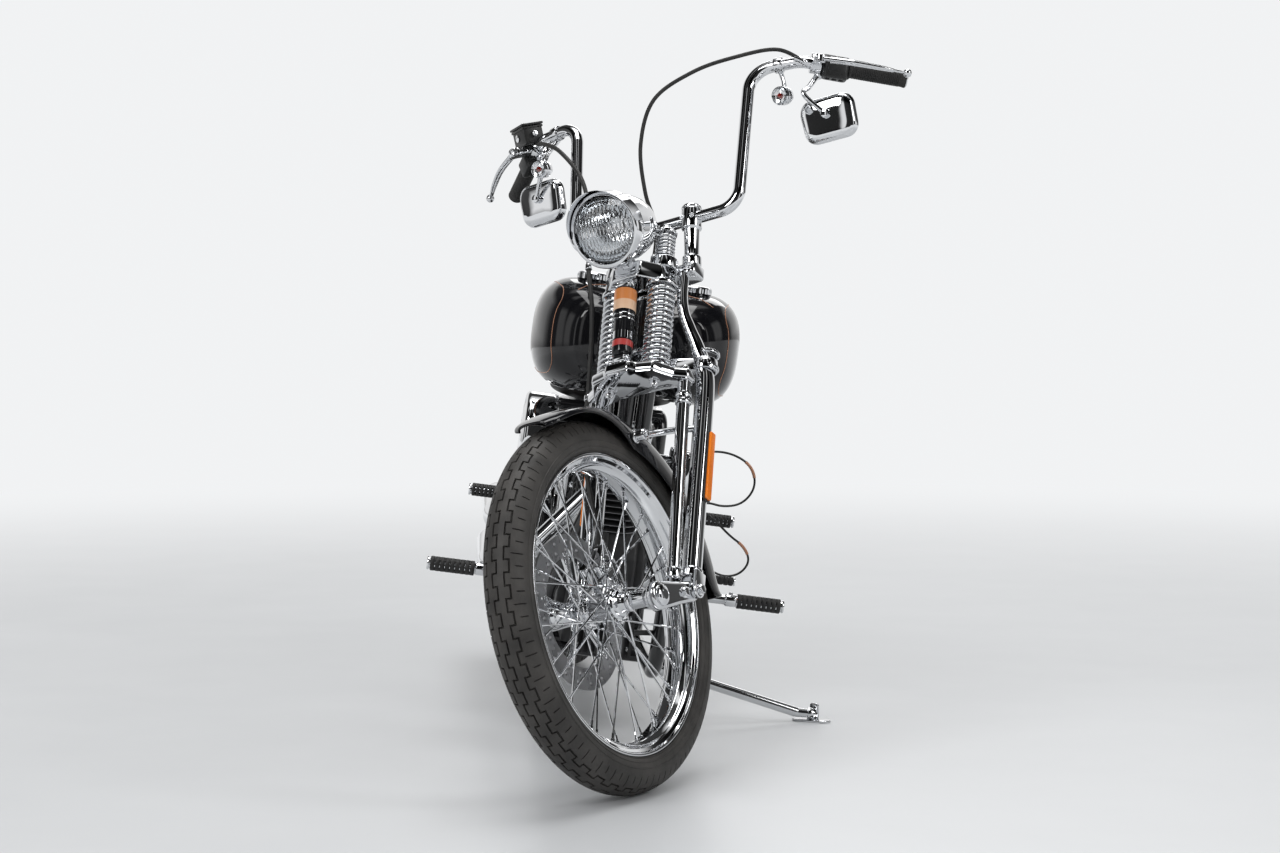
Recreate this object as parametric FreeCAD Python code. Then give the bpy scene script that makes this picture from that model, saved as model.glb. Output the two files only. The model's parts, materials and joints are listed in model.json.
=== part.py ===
import FreeCAD, Part
import math
import os

# A chopper motorcycle with a springer fork, parked on its side stand.
# Lengths are in millimetres and angles in degrees.
# The upright frame of the motorcycle has +X to its left, +Y to its rear and +Z up,
# with the point on the floor under the front axle as its origin.

# Chassis layout
wheelbase = 1636.0
rake = 32.0
trail = 137.0
lean = 7.62
steer_rest = 39.6
sin_rake = math.sin(math.radians(rake))
cos_rake = math.cos(math.radians(rake))
press_gap = 0.3
run_gap = 0.05

# Front wheel
front_tyre_radius = 346.0
front_tyre_width = 88.0
front_flange_radius = 281.0
front_rim_width = 76.0
front_bead_radius = 268.0
rim_wall = 8.0
rim_well_depth = 16.0
spoke_count = 40
spoke_radius = 2.0
spoke_lead = 54.0
spoke_seat_gap = 0.8
front_hub_flange_radius = 38.0
front_hub_flange_half = 32.0
front_hub_barrel_radius = 24.0
hub_flange_wall = 5.0
front_axle_radius = 9.5
disc_radius = 146.0
disc_wall = 5.0
disc_inner_radius = 104.0
disc_hole_radius = 4.5
disc_hole_count = 20
disc_arm_count = 5
disc_arm_width = 22.0
disc_boss_radius = 34.0
front_caliper_turn = 66.0
front_caliper_depth = 60.0
front_caliper_length = 92.0
front_caliper_width = 52.0
front_disc_place = 57.0
front_hub_half = front_disc_place - disc_wall / 2 - press_gap

# Rear wheel
rear_tyre_radius = 325.0
rear_tyre_width = 132.0
rear_flange_radius = 220.0
rear_rim_width = 96.0
rear_bead_radius = 203.0
rear_hub_flange_radius = 46.0
rear_hub_flange_half = 36.0
rear_hub_barrel_radius = 30.0
rear_axle_radius = 10.0
rear_disc_place = 79.0
rear_caliper_turn = -75.0
rear_hub_half = rear_disc_place - disc_wall / 2 - press_gap
pulley_radius = 130.0
pulley_inner_radius = 104.0
pulley_width = 20.0
pulley_place = 82.0
pulley_arm_count = 5
pulley_arm_width = 30.0
belt_wall = 6.0
belt_gap = 1.0
front_pulley_radius = 60.0

# Springer fork: rockers, rigid legs, spring legs
rocker_length = 122.0
rocker_drop = 9.0
rocker_place = 116.0
rocker_wall = 20.0
rocker_axle_radius = 27.0
rocker_pivot_radius = 19.0
rocker_spring_share = 0.69
pivot_bolt_radius = 7.0
pivot_head_radius = 11.0
pivot_head_length = 9.0
leg_eye_wall = 12.0
leg_eye_radius = 16.0
rigid_leg_place = 116.0
rigid_leg_set = -42.0
rigid_leg_radius = 19.0
rigid_leg_top_radius = 11.0
rigid_leg_top_place = 80.0
rigid_leg_top_set = 8.0
rigid_leg_foot = 452.0
upper_tree_height = 1098.0
tree_span = 206.0
lower_tree_height = upper_tree_height - tree_span
leg_bend_drop = 50.0
rigid_leg_bend_low = lower_tree_height - leg_bend_drop
tree_wall = 26.0
tree_clamp_radius = 23.0
tree_clamp_place = 112.0
tree_clamp_set = -36.0
tree_rear = -27.0
neck_low_gap = 14.0
neck_high_gap = 42.0
neck_low = lower_tree_height + tree_wall + neck_low_gap
neck_high = upper_tree_height - neck_high_gap
neck_radius = 30.0
stem_radius = 14.0
stem_gap = 0.6
tower_height = 37.0
tower_low = upper_tree_height - tower_height
tower_front = 95.0
tower_half = 66.0
spring_leg_place = 100.0
spring_leg_radius = 12.5
spring_leg_collar_radius = 16.0
spring_leg_collar_length = 24.0
bridge_drop = 44.0
bridge_wall = 26.0
bridge_low = lower_tree_height - bridge_drop
bridge_high = bridge_low + bridge_wall
bridge_front = 96.0
main_spring_place = 51.0
spring_set = 38.0
main_spring_radius = 28.5
main_spring_wire = 4.2
main_spring_turns = 14
rebound_spring_radius = 20.0
rebound_spring_wire = 2.6
rebound_spring_turns = 8
rebound_spring_length = 82.0
spring_rod_radius = 8.0
spring_cap_radius = 19.0
spring_cap_height = 16.0
stud_nut_radius = 9.0
stud_nut_length = 22.0
shock_set = 80.0
shock_radius = 20.0
shock_rod_radius = 7.0
shock_eye_radius = 11.0
shock_eye_width = 24.0

# Handlebar and what it carries
bar_radius = 12.7
bar_set_back = 66.65
bar_set_up = 113.84
bar_rise = 274.0
bar_pull = 152.5
bar_outer_pull = 20.0
bar_outer_drop = 8.0
bar_end_pull = 116.0
bar_end_drop = 79.0
bar_low_half = 192.0
bar_top_half = 208.0
bar_outer_half = 312.0
bar_end_half = 475.0
bar_middle_y = upper_tree_height * sin_rake - trail + bar_set_back
bar_middle_z = upper_tree_height * cos_rake + bar_set_up
bar_top_y = bar_middle_y + bar_pull
bar_top_z = bar_middle_z + bar_rise
bar_outer_y = bar_top_y + bar_outer_pull
bar_outer_z = bar_top_z - bar_outer_drop
bar_end_y = bar_outer_y + bar_end_pull
bar_end_z = bar_outer_z - bar_end_drop
bar_low_bend = 42.0
bar_top_bend = 52.0
riser_place = 85.0
riser_radius = 15.0
riser_base_radius = 20.0
riser_base_length = 22.0
riser_clamp_radius = 21.0
riser_clamp_length = 44.0
riser_over = 24.0
riser_foot_set = -10.0
grip_radius = 17.0
grip_length = 118.0
grip_flange_radius = 20.0
grip_flange_wall = 5.0
control_length = 52.0
control_radius = 23.0
perch_length = 24.0
lever_reach = 62.0
lever_length = 175.0
lever_wall = 9.0
lever_width = 16.0
lever_ball_radius = 9.0
reservoir_length = 62.0
reservoir_width = 44.0
reservoir_height = 40.0
mirror_width = 118.0
mirror_height = 92.0
mirror_wall = 24.0
mirror_reach = 33.0
mirror_drop = 127.0
mirror_set = 2.0
mirror_x = bar_outer_half + mirror_reach
mirror_y = bar_outer_y - mirror_set
mirror_z = bar_outer_z - mirror_drop
mirror_rod_radius = 5.0
lamp_inset = 23.0
lamp_set = 37.0
lamp_drop = 75.0
lamp_x = bar_outer_half - lamp_inset
lamp_y = bar_top_y - lamp_set
lamp_z = bar_top_z - lamp_drop
lamp_radius = 19.0
lamp_length = 46.0
lamp_stem_radius = 5.0
cable_radius = 4.0
hose_radius = 4.5
hose_route = [
    (-322, 1532, 6), (-284, 1508, 34), (-226, 1462, 47), (-164, 1372, 42), (-140, 1262, 36),
    (-134, 1160, 33), (-122, 1080, 28), (-120, 1010, 20), (-122, 940, 12), (-124, 868, 6),
    (-118, 790, 18), (-103, 710, 24), (-88, 640, 16), (-77, 575, 2), (-75, 515, -6),
]

# Headlamp
headlamp_set = 196.5
headlamp_up = 3.0
headlamp_y = bar_middle_y - headlamp_set
headlamp_z = bar_middle_z + headlamp_up
headlamp_length = 159.0
headlamp_rise = 7.0
headlamp_radius = 76.0
headlamp_wall = 5.0
headlamp_visor = 30.0
headlamp_foot_radius = 12.0

# Front fender
front_fender_gap = 20.0
front_fender_half = 58.0
front_fender_depth = 62.0
fender_wall = 3.0
front_fender_start = 73.0
front_fender_end = 186.0
front_fender_stay_radius = 7.0
front_fender_stay_y = 145.0
front_fender_stay_z = 640.0
reflector_length = 150.0
reflector_width = 22.0
reflector_wall = 8.0

# Frame
tube_radius = 16.0
backbone_radius = 25.0
down_tube_top_half = 18.0
rail_half = 118.0
rail_z = 150.0
down_tube_top_rise = 68.1
down_tube_top_set = -24.8
down_tube_mid_y = 438.0
down_tube_mid_z = 619.0
down_tube_low_y = 528.0
down_tube_low_z = 300.0
rail_front_y = 556.0
post_reach = 450.0
post_slope = 36.0
rear_rail_reach = 291.0
backbone_reach = 201.0
post_y = wheelbase - post_reach
post_z = 642.0
rail_rear_y = post_y - post_slope
rear_rail_y = wheelbase - rear_rail_reach
rear_rail_half = 98.0
backbone_bend_y = post_y - backbone_reach
backbone_bend_z = 765.0
tube_bend = 70.0

# Engine and gearbox
crank_y = 885.0
crank_z = 330.0
case_half = 88.0
case_radius = 122.0
cylinder_tilt = 22.5
cylinder_base = 108.0
cylinder_length = 130.0
cylinder_radius = 56.0
fin_radius = 74.0
fin_count = 10
fin_wall = 4.0
head_length = 78.0
rocker_box_length = 52.0
rocker_box_width = 128.0
rocker_box_depth = 118.0
rocker_box_round = 14.0
pushrod_radius = 11.0
pushrod_x = 97.0
cam_cover_wall = 46.0
cam_cover_radius = 84.0
primary_wall = 66.0
primary_x = 136.0
primary_front_radius = 92.0
primary_rear_radius = 104.0
gearbox_set = 207.0
gearbox_y = crank_y + gearbox_set
gearbox_length = 176.0
gearbox_height = 190.0
gearbox_half = 62.0
front_pulley_set = 28.0
front_pulley_y = gearbox_y + front_pulley_set
front_pulley_z = 322.0
carb_rise = 270.0
carb_y = crank_y
carb_z = crank_z + carb_rise
carb_radius = 26.0
cleaner_radius = 92.0
cleaner_inner_x = 131.0
cleaner_outer_x = 205.0
cleaner_set = 15.0
cleaner_y = carb_y + cleaner_set
cleaner_z = carb_z - cleaner_set
horn_x = 150.0
horn_set = 20.0
horn_rise = 190.0
horn_y = crank_y + horn_set
horn_z = crank_z + horn_rise
horn_width = 92.0
horn_height = 150.0
horn_depth = 52.0
regulator_y = 492.0
regulator_z = 235.0
regulator_width = 120.0
regulator_height = 96.0
regulator_depth = 14.0
regulator_fin_count = 9
regulator_fin_depth = 26.0

# Exhaust
pipe_radius = 22.0
muffler_radius = 42.0
muffler_x = 208.0
muffler_low_z = 262.0
muffler_high_z = 366.0
muffler_set = 265.0
muffler_low_over = 84.0
muffler_high_over = 154.0
muffler_start_y = crank_y + muffler_set
muffler_low_end_y = wheelbase + muffler_low_over
muffler_high_end_y = wheelbase + muffler_high_over

# Tank, seat and rear body
tank_front_y = 506.0
tank_rear_y = 1015.0
tank_middle_z = 815.0
tank_half_height = 116.0
tank_lobe_x = 113.0
tank_lobe_half = 101.0
tank_section_count = 24
tank_roundness = 2.7
cap_radius = 34.0
cap_height = 16.0
cap_x = 105.0
cap_y = 640.0
console_half = 42.0
console_height = 30.0
console_section_count = 16
console_roundness = 2.4
gauge_radius = 58.0
gauge_height = 34.0
seat_gap = 10.0
seat_front_y = tank_rear_y + seat_gap
seat_rear_y = rear_rail_y - seat_gap
seat_half = 150.0
seat_section_count = 20
seat_roundness = 3.0
seat_low_z = post_z + tube_radius + press_gap
pillion_rise = 96.0
seat_high_z = 816.0
pillion_over = 4.0
pillion_rear_y = wheelbase + pillion_over
pillion_half = 88.0
rear_fender_gap = 26.0
rear_fender_half = 88.0
rear_fender_depth = 88.0
rear_fender_start = 32.0
rear_fender_end = 196.0
strut_wall = 11.0
strut_height = 44.0
strut_over = 199.0
strut_rear_y = wheelbase + strut_over
rack_hole_radius = 4.25
rack_hole_reach = 156.0
rack_hole_y = wheelbase - rack_hole_reach
oil_tank_set = 20.0
oil_tank_y = post_y + oil_tank_set
oil_tank_depth = 112.0
oil_tank_half = 92.0
oil_tank_low = 432.0
oil_tank_high = post_z - tube_radius - press_gap
tail_lamp_radius = 34.0
tail_lamp_length = 44.0
plate_width = 180.0
plate_height = 105.0

# Swing arm
arm_place = 108.0
arm_radius = 13.0
arm_reach = 404.0
arm_top_set = 18.0
pivot_y = wheelbase - arm_reach
pivot_z = 300.0
arm_top_y = pivot_y + arm_top_set
arm_top_z = 452.0
axle_plate_radius = 30.0
axle_plate_wall = 14.0

# Foot controls
peg_z = 315.0
peg_y = 596.0
peg_inner_x = 268.0
peg_length = 100.0
peg_radius = 15.0
peg_rib_count = 7
peg_bracket_x = 136.0
passenger_peg_x = 205.0
passenger_peg_set = 110.0
passenger_peg_y = rail_rear_y - passenger_peg_set
passenger_peg_z = 440.0
pedal_wall = 9.0

# Side stand, in the parked frame
stand_pivot_x = 153.0
stand_pivot_y = 742.0
stand_pivot_z = 138.0
stand_foot_x = 486.0
stand_foot_y = 745.0
stand_radius = 11.0
stand_plate_length = 84.0
stand_plate_width = 34.0
stand_plate_wall = 5.0
stand_tab_height = 34.0

# Loose wires
wire_radius = 2.5
wire_a_route = [
    (74.5, 980, 560), (130, 980, 562), (178, 984, 576), (222, 996, 594), (272, 1008, 592),
    (316, 1010, 570), (330, 1008, 526), (306, 1002, 486), (262, 992, 474), (222, 980, 482),
    (186, 962, 466), (170, 954, 424.5),
]
wire_b_route = [
    (170, 984, 425), (182, 990, 450), (214, 1000, 462), (250, 1004, 442), (286, 1012, 412), (322, 1018, 392),
    (340, 1018, 362), (324, 1014, 332), (290, 1006, 320), (254, 1000, 330), (226, 996, 346),
    (202.5, 990, 350),
]

V = FreeCAD.Vector
axis_x = V(1, 0, 0)
axis_y = V(0, 1, 0)
axis_z = V(0, 0, 1)
steering_axis = V(0, sin_rake, cos_rake)
front_axle = V(0, 0, front_tyre_radius)
rear_axle = V(0, wheelbase, rear_tyre_radius)
both_sides = (1, -1)


# Point at height s along the steering axis, v ahead of it and x to the left
def head(x, s, v):
    return V(x, -trail + s * sin_rake - v * cos_rake, s * cos_rake + v * sin_rake)


def mirrored(shape):
    return shape.mirror(V(0, 0, 0), axis_x)


def pair(shape):
    return [shape, mirrored(shape)]


def rod(start, end, radius):
    run = end - start
    return Part.makeCylinder(radius, run.Length, start, run)


def taper(start, end, start_radius, end_radius):
    run = end - start
    return Part.makeCone(start_radius, end_radius, run.Length, start, run)


def joined(shapes):
    if len(shapes) == 1:
        return shapes[0]
    whole = shapes[0].multiFuse(shapes[1:])
    return whole.removeSplitter()


def group(shapes):
    return Part.makeCompound(shapes)


# Straight runs joined by tangent arcs of the given radii
def bent_path(points, radii):
    edges = []
    last = points[0]
    for i in range(1, len(points) - 1):
        corner = points[i]
        back = (points[i - 1] - corner).normalize()
        ahead = (points[i + 1] - corner).normalize()
        half = back.getAngle(ahead) / 2
        reach = radii[i - 1] / math.tan(half)
        depth = radii[i - 1] / math.sin(half) - radii[i - 1]
        start = corner + back * reach
        middle = corner + (back + ahead).normalize() * depth
        end = corner + ahead * reach
        edges.append(Part.LineSegment(last, start).toShape())
        edges.append(Part.Arc(start, middle, end).toShape())
        last = end
    edges.append(Part.LineSegment(last, points[-1]).toShape())
    return Part.Wire(edges)


def bent_bar(points, radii, radius):
    path = bent_path(points, radii)
    ring = Part.Wire(Part.makeCircle(radius, points[0], points[1] - points[0]))
    return path.makePipeShell([ring], True, False)


# Closed planar outline with rounded corners
def rounded_face(points, radius):
    count = len(points)
    ends = []
    arcs = []
    for i in range(count):
        corner = points[i]
        back = points[i - 1] - corner
        ahead = points[(i + 1) % count] - corner
        room = 0.49 * min(back.Length, ahead.Length)
        back = back.normalize()
        ahead = ahead.normalize()
        half = back.getAngle(ahead) / 2
        reach = min(radius / math.tan(half), room)
        bend = reach * math.tan(half)
        start = corner + back * reach
        end = corner + ahead * reach
        middle = corner + (back + ahead).normalize() * (bend / math.sin(half) - bend)
        arcs.append(Part.Arc(start, middle, end).toShape())
        ends.append((start, end))
    edges = []
    for i in range(count):
        edges.append(arcs[i])
        edges.append(Part.LineSegment(ends[i][1], ends[(i + 1) % count][0]).toShape())
    return Part.Face(Part.Wire(Part.__sortEdges__(edges)))


def sharp_face(points):
    return Part.Face(Part.makePolygon(points + [points[0]]))


# Solid turned about an axis; each point is a distance along it and a radius
def turned(points, origin, axis, sideways, angle=360):
    axis = V(axis).normalize()
    outline = []
    for along, radius in points:
        outline.append(origin + axis * along + sideways * radius)
    return sharp_face(outline).revolve(origin, axis, angle)


# Box with its middle at a point, edges along two given directions and their cross product
def block(middle, along, across, length, width, height):
    along = V(along).normalize()
    across = V(across).normalize()
    up = along.cross(across)
    corner = middle - along * (length / 2) - across * (width / 2) - up * (height / 2)
    face = sharp_face([
        corner,
        corner + along * length,
        corner + along * length + across * width,
        corner + across * width,
    ])
    return face.extrude(up * height)


def soft_block(middle, along, across, length, width, height, radius):
    along = V(along).normalize()
    across = V(across).normalize()
    up = along.cross(across)
    corner = middle - along * (length / 2) - across * (width / 2) - up * (height / 2)
    face = rounded_face([
        corner,
        corner + along * length,
        corner + along * length + across * width,
        corner + across * width,
    ], radius)
    return face.extrude(up * height)


# Outline in a plane across X, extruded in X
def side_plate(outline, x_start, x_end, radius):
    points = []
    for y, z in outline:
        points.append(V(x_start, y, z))
    return rounded_face(points, radius).extrude(V(x_end - x_start, 0, 0))


# Closed smooth outline in the plane across Y
def oval(middle, half_width, half_height, roundness, count):
    points = []
    power = 2 / roundness
    for i in range(count):
        turn = 2 * math.pi * i / count
        c = math.cos(turn)
        s = math.sin(turn)
        x = half_width * math.copysign(abs(c) ** power, c)
        z = half_height * math.copysign(abs(s) ** power, s)
        points.append(middle + V(x, 0, z))
    curve = Part.BSplineCurve()
    curve.interpolate(Points=points, PeriodicFlag=True)
    return Part.Wire(curve.toShape())


# Tyre with a round crown, seated between the rim flanges
def tyre(centre, radius, width, flange_radius, bead_radius, rim_width):
    half = width / 2
    crown = radius - half
    bead = rim_width / 2 - rim_wall
    low = flange_radius + press_gap
    lip = rim_width / 2
    bulge_share = 0.8
    side = V(lip + (half - lip) * bulge_share, 0, low + (crown - low) * (1 - bulge_share) * 2)
    edges = [
        Part.Arc(V(half, 0, crown), V(0, 0, radius), V(-half, 0, crown)).toShape(),
        Part.Arc(V(-half, 0, crown), V(-side.x, 0, side.z), V(-lip, 0, low)).toShape(),
        Part.LineSegment(V(-lip, 0, low), V(-bead, 0, low)).toShape(),
        Part.LineSegment(V(-bead, 0, low), V(-bead, 0, bead_radius)).toShape(),
        Part.LineSegment(V(-bead, 0, bead_radius), V(bead, 0, bead_radius)).toShape(),
        Part.LineSegment(V(bead, 0, bead_radius), V(bead, 0, low)).toShape(),
        Part.LineSegment(V(bead, 0, low), V(lip, 0, low)).toShape(),
        Part.Arc(V(lip, 0, low), V(side.x, 0, side.z), V(half, 0, crown)).toShape(),
    ]
    solid = Part.Face(Part.Wire(edges)).revolve(V(0, 0, 0), axis_x, 360)
    solid.translate(centre)
    return solid


# Rim with a drop centre and rolled flanges
def rim(centre, flange_radius, bead_radius, rim_width):
    half = rim_width / 2
    seat = half - rim_wall
    well = bead_radius - rim_well_depth
    wall = rim_wall / 2
    outline = [
        (half, flange_radius), (seat, flange_radius), (seat, bead_radius),
        (seat - rim_wall, bead_radius), (seat / 2, well + wall), (-seat / 2, well + wall),
        (rim_wall - seat, bead_radius), (-seat, bead_radius), (-seat, flange_radius),
        (-half, flange_radius), (-half, flange_radius - rim_wall), (-seat, bead_radius - rim_wall),
        (rim_wall - seat, bead_radius - rim_wall), (-seat / 2, well), (seat / 2, well),
        (seat - rim_wall, bead_radius - rim_wall), (seat, bead_radius - rim_wall),
        (half, flange_radius - rim_wall),
    ]
    return turned(outline, centre, axis_x, axis_z)


def hub_outline(half, barrel_radius, flange_radius, flange_half, bore_radius):
    lip = flange_half - hub_flange_wall
    inner = bore_radius + run_gap
    boss_share = 0.8
    return [
        (-half, inner), (half, inner), (half, barrel_radius * boss_share),
        (flange_half, barrel_radius * boss_share), (flange_half, flange_radius),
        (lip, flange_radius), (lip - hub_flange_wall, barrel_radius),
        (hub_flange_wall - lip, barrel_radius), (-lip, flange_radius),
        (-flange_half, flange_radius), (-flange_half, barrel_radius * boss_share),
        (-half, barrel_radius * boss_share),
    ]


# Hub with its spokes laced from both flanges to the rim
def laced_hub(centre, outline, flange_radius, flange_half, rim_radius):
    pieces = [turned(outline, centre, axis_x, axis_z)]
    hole_radius = flange_radius - 2 * spoke_radius
    outer_x = flange_half - spoke_radius / 4
    cross_gap = spoke_radius * 2.3
    step = 360.0 / spoke_count
    for i in range(spoke_count):
        side = 1 if i % 2 == 0 else -1
        lead = spoke_lead if i % 4 < 2 else -spoke_lead
        rim_turn = math.radians(i * step)
        hub_turn = math.radians(i * step + lead)
        inset = 0 if lead > 0 else cross_gap
        hole_x = outer_x - inset
        rim_x = spoke_radius * 4.4 - inset
        start = V(side * hole_x, hole_radius * math.sin(hub_turn), hole_radius * math.cos(hub_turn))
        reach = rim_radius - spoke_seat_gap
        end = V(side * rim_x, reach * math.sin(rim_turn), reach * math.cos(rim_turn))
        pieces.append(rod(centre + start, centre + end, spoke_radius))
    return pieces[0].multiFuse(pieces[1:])


# Drilled brake disc on a spider with open arms
def brake_disc(centre, place, axle_radius):
    low = place - disc_wall / 2
    ring = turned([
        (low, disc_inner_radius), (low + disc_wall, disc_inner_radius),
        (low + disc_wall, disc_radius), (low, disc_radius),
    ], centre, axis_x, axis_z)
    drills = []
    swing_share = 0.12
    for i in range(disc_hole_count):
        turn = 2 * math.pi * i / disc_hole_count
        for row_share in (0.3, 0.7):
            reach = disc_inner_radius + (disc_radius - disc_inner_radius) * row_share
            bend = turn + swing_share * row_share
            at = centre + V(low - disc_wall, reach * math.sin(bend), reach * math.cos(bend))
            drills.append(Part.makeCylinder(disc_hole_radius, 3 * disc_wall, at, axis_x))
    ring = ring.cut(drills)
    boss = turned([
        (low, axle_radius), (low + disc_wall, axle_radius),
        (low + disc_wall, disc_boss_radius), (low, disc_boss_radius),
    ], centre, axis_x, axis_z)
    arms = []
    for i in range(disc_arm_count):
        turn = 2 * math.pi * i / disc_arm_count
        out = V(0, math.sin(turn), math.cos(turn))
        reach = (disc_boss_radius + disc_inner_radius) / 2
        length = disc_inner_radius - disc_boss_radius + disc_wall * 2
        middle = centre + V(place, 0, 0) + out * reach
        arms.append(block(middle, out, axis_x, length, disc_wall, disc_arm_width))
    return joined([ring, boss] + arms)


# Rear pulley with open arms
def rear_pulley():
    low = pulley_place - pulley_width / 2
    inner = rear_hub_barrel_radius * 0.8 + press_gap
    ring = turned([
        (low, pulley_inner_radius), (low + pulley_width, pulley_inner_radius),
        (low + pulley_width, pulley_radius), (low, pulley_radius),
    ], rear_axle, axis_x, axis_z)
    boss_radius = rear_hub_flange_radius
    boss = turned([
        (low, inner), (low + pulley_width, inner), (low + pulley_width, boss_radius), (low, boss_radius),
    ], rear_axle, axis_x, axis_z)
    arms = []
    for i in range(pulley_arm_count):
        turn = 2 * math.pi * i / pulley_arm_count
        out = V(0, math.sin(turn), math.cos(turn))
        reach = (boss_radius + pulley_inner_radius) / 2
        length = pulley_inner_radius - boss_radius + pulley_width / 2
        middle = rear_axle + V(pulley_place, 0, 0) + out * reach
        arms.append(block(middle, out, axis_x, length, pulley_width / 2, pulley_arm_width))
    return joined([ring, boss] + arms)


def rim_point(x, centre, radius, turn):
    return V(x, centre.y + radius * math.cos(turn), centre.z + radius * math.sin(turn))


# Plate round two circles and the tangents between them, across X
def stadium(x, rear, rear_radius, front, front_radius, wall):
    run = V(0, rear.y - front.y, rear.z - front.z)
    slope = math.atan2(run.z, run.y)
    spread = math.acos((front_radius - rear_radius) / run.Length)
    top = slope + spread
    bottom = slope - spread
    edges = [
        Part.Arc(rim_point(x, rear, rear_radius, top), rim_point(x, rear, rear_radius, slope),
                 rim_point(x, rear, rear_radius, bottom)).toShape(),
        Part.LineSegment(rim_point(x, rear, rear_radius, bottom),
                         rim_point(x, front, front_radius, bottom)).toShape(),
        Part.Arc(rim_point(x, front, front_radius, bottom),
                 rim_point(x, front, front_radius, slope + math.pi),
                 rim_point(x, front, front_radius, top)).toShape(),
        Part.LineSegment(rim_point(x, front, front_radius, top),
                         rim_point(x, rear, rear_radius, top)).toShape(),
    ]
    return Part.Face(Part.Wire(edges)).extrude(V(wall, 0, 0))


# Belt round both pulleys
def belt_loop(extra):
    front = V(0, front_pulley_y, front_pulley_z)
    big = pulley_radius + extra
    small = front_pulley_radius + extra
    low = pulley_place - pulley_width / 2
    return stadium(low, rear_axle, big, front, small, pulley_width)


def drive_belt():
    return belt_loop(belt_gap + belt_wall).cut(belt_loop(belt_gap))


def rocker_rear():
    return front_axle + V(0, math.sqrt(rocker_length ** 2 - rocker_drop ** 2), -rocker_drop)


# Polished rocker with its pivot bolts, on the left
def rocker():
    rear = rocker_rear()
    middle = front_axle + (rear - front_axle) * rocker_spring_share
    low_x = rocker_place - rocker_wall / 2
    run = (rear - front_axle).normalize()
    up = V(0, -run.z, run.y)
    outline = []
    waist_share = 0.5
    waist = rocker_pivot_radius * (1 - waist_share / 3)
    for along, out in (
        (V(front_axle) - run * rocker_axle_radius, rocker_axle_radius),
        (front_axle + (rear - front_axle) * waist_share, waist),
        (rear + run * rocker_pivot_radius, rocker_pivot_radius),
    ):
        outline.append(along + up * out)
    for along, out in (
        (rear + run * rocker_pivot_radius, rocker_pivot_radius),
        (front_axle + (rear - front_axle) * waist_share, waist),
        (V(front_axle) - run * rocker_axle_radius, rocker_axle_radius),
    ):
        outline.append(along - up * out)
    for point in outline:
        point.x = low_x
    body = rounded_face(outline, rocker_pivot_radius).extrude(V(rocker_wall, 0, 0))
    pieces = [body]
    inner = low_x - leg_eye_wall - 2 * press_gap
    ends = (low_x + rocker_wall, low_x + rocker_wall + leg_eye_wall + 2 * press_gap)
    for pivot, outer in zip((middle, rear), ends):
        pieces.append(rod(V(inner, pivot.y, pivot.z), V(outer, pivot.y, pivot.z), pivot_bolt_radius))
        cap = Part.makeCylinder(pivot_head_radius, pivot_head_length, V(outer, pivot.y, pivot.z), axis_x)
        pieces.append(cap)
    return pieces


# Both rockers on the wheel's axle, with its spacers and nuts
def rockers():
    pieces = []
    for piece in rocker():
        pieces.append(piece)
        pieces.append(mirrored(piece))
    inners = {1: front_hub_half, -1: front_disc_place + disc_wall / 2}
    outer = rocker_place - rocker_wall / 2
    nut = rocker_place + rocker_wall / 2 + pivot_head_length
    pieces.append(rod(front_axle - V(nut, 0, 0), front_axle + V(nut, 0, 0), front_axle_radius))
    for side in both_sides:
        start = front_axle + V(side * (inners[side] + 2 * press_gap), 0, 0)
        pieces.append(rod(start, front_axle + V(side * outer, 0, 0), front_axle_radius * 1.7))
        cap = front_axle + V(side * (nut - pivot_head_length), 0, 0)
        pieces.append(rod(cap, front_axle + V(side * nut, 0, 0), rocker_pivot_radius))
    return joined(pieces)


# Flat eye that holds one face of a rocker; x is its inner face
def leg_eye(x, pivot, top, radius):
    eye = Part.makeCylinder(leg_eye_radius, leg_eye_wall, V(x, pivot.y, pivot.z), axis_x)
    reach = V(x, pivot.y, pivot.z)
    high = V(x, top.y, top.z)
    run = (high - reach).normalize()
    side = V(0, -run.z, run.y)
    tongue = sharp_face([
        reach + side * leg_eye_radius, high + side * radius,
        high - side * radius, reach - side * leg_eye_radius,
    ]).extrude(V(leg_eye_wall, 0, 0))
    hole = Part.makeCylinder(pivot_bolt_radius + press_gap, 3 * leg_eye_wall,
                             V(x - leg_eye_wall, pivot.y, pivot.z), axis_x)
    return eye.fuse(tongue).cut(hole)


def eye_inner_x():
    return rocker_place - rocker_wall / 2 - leg_eye_wall - press_gap


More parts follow.
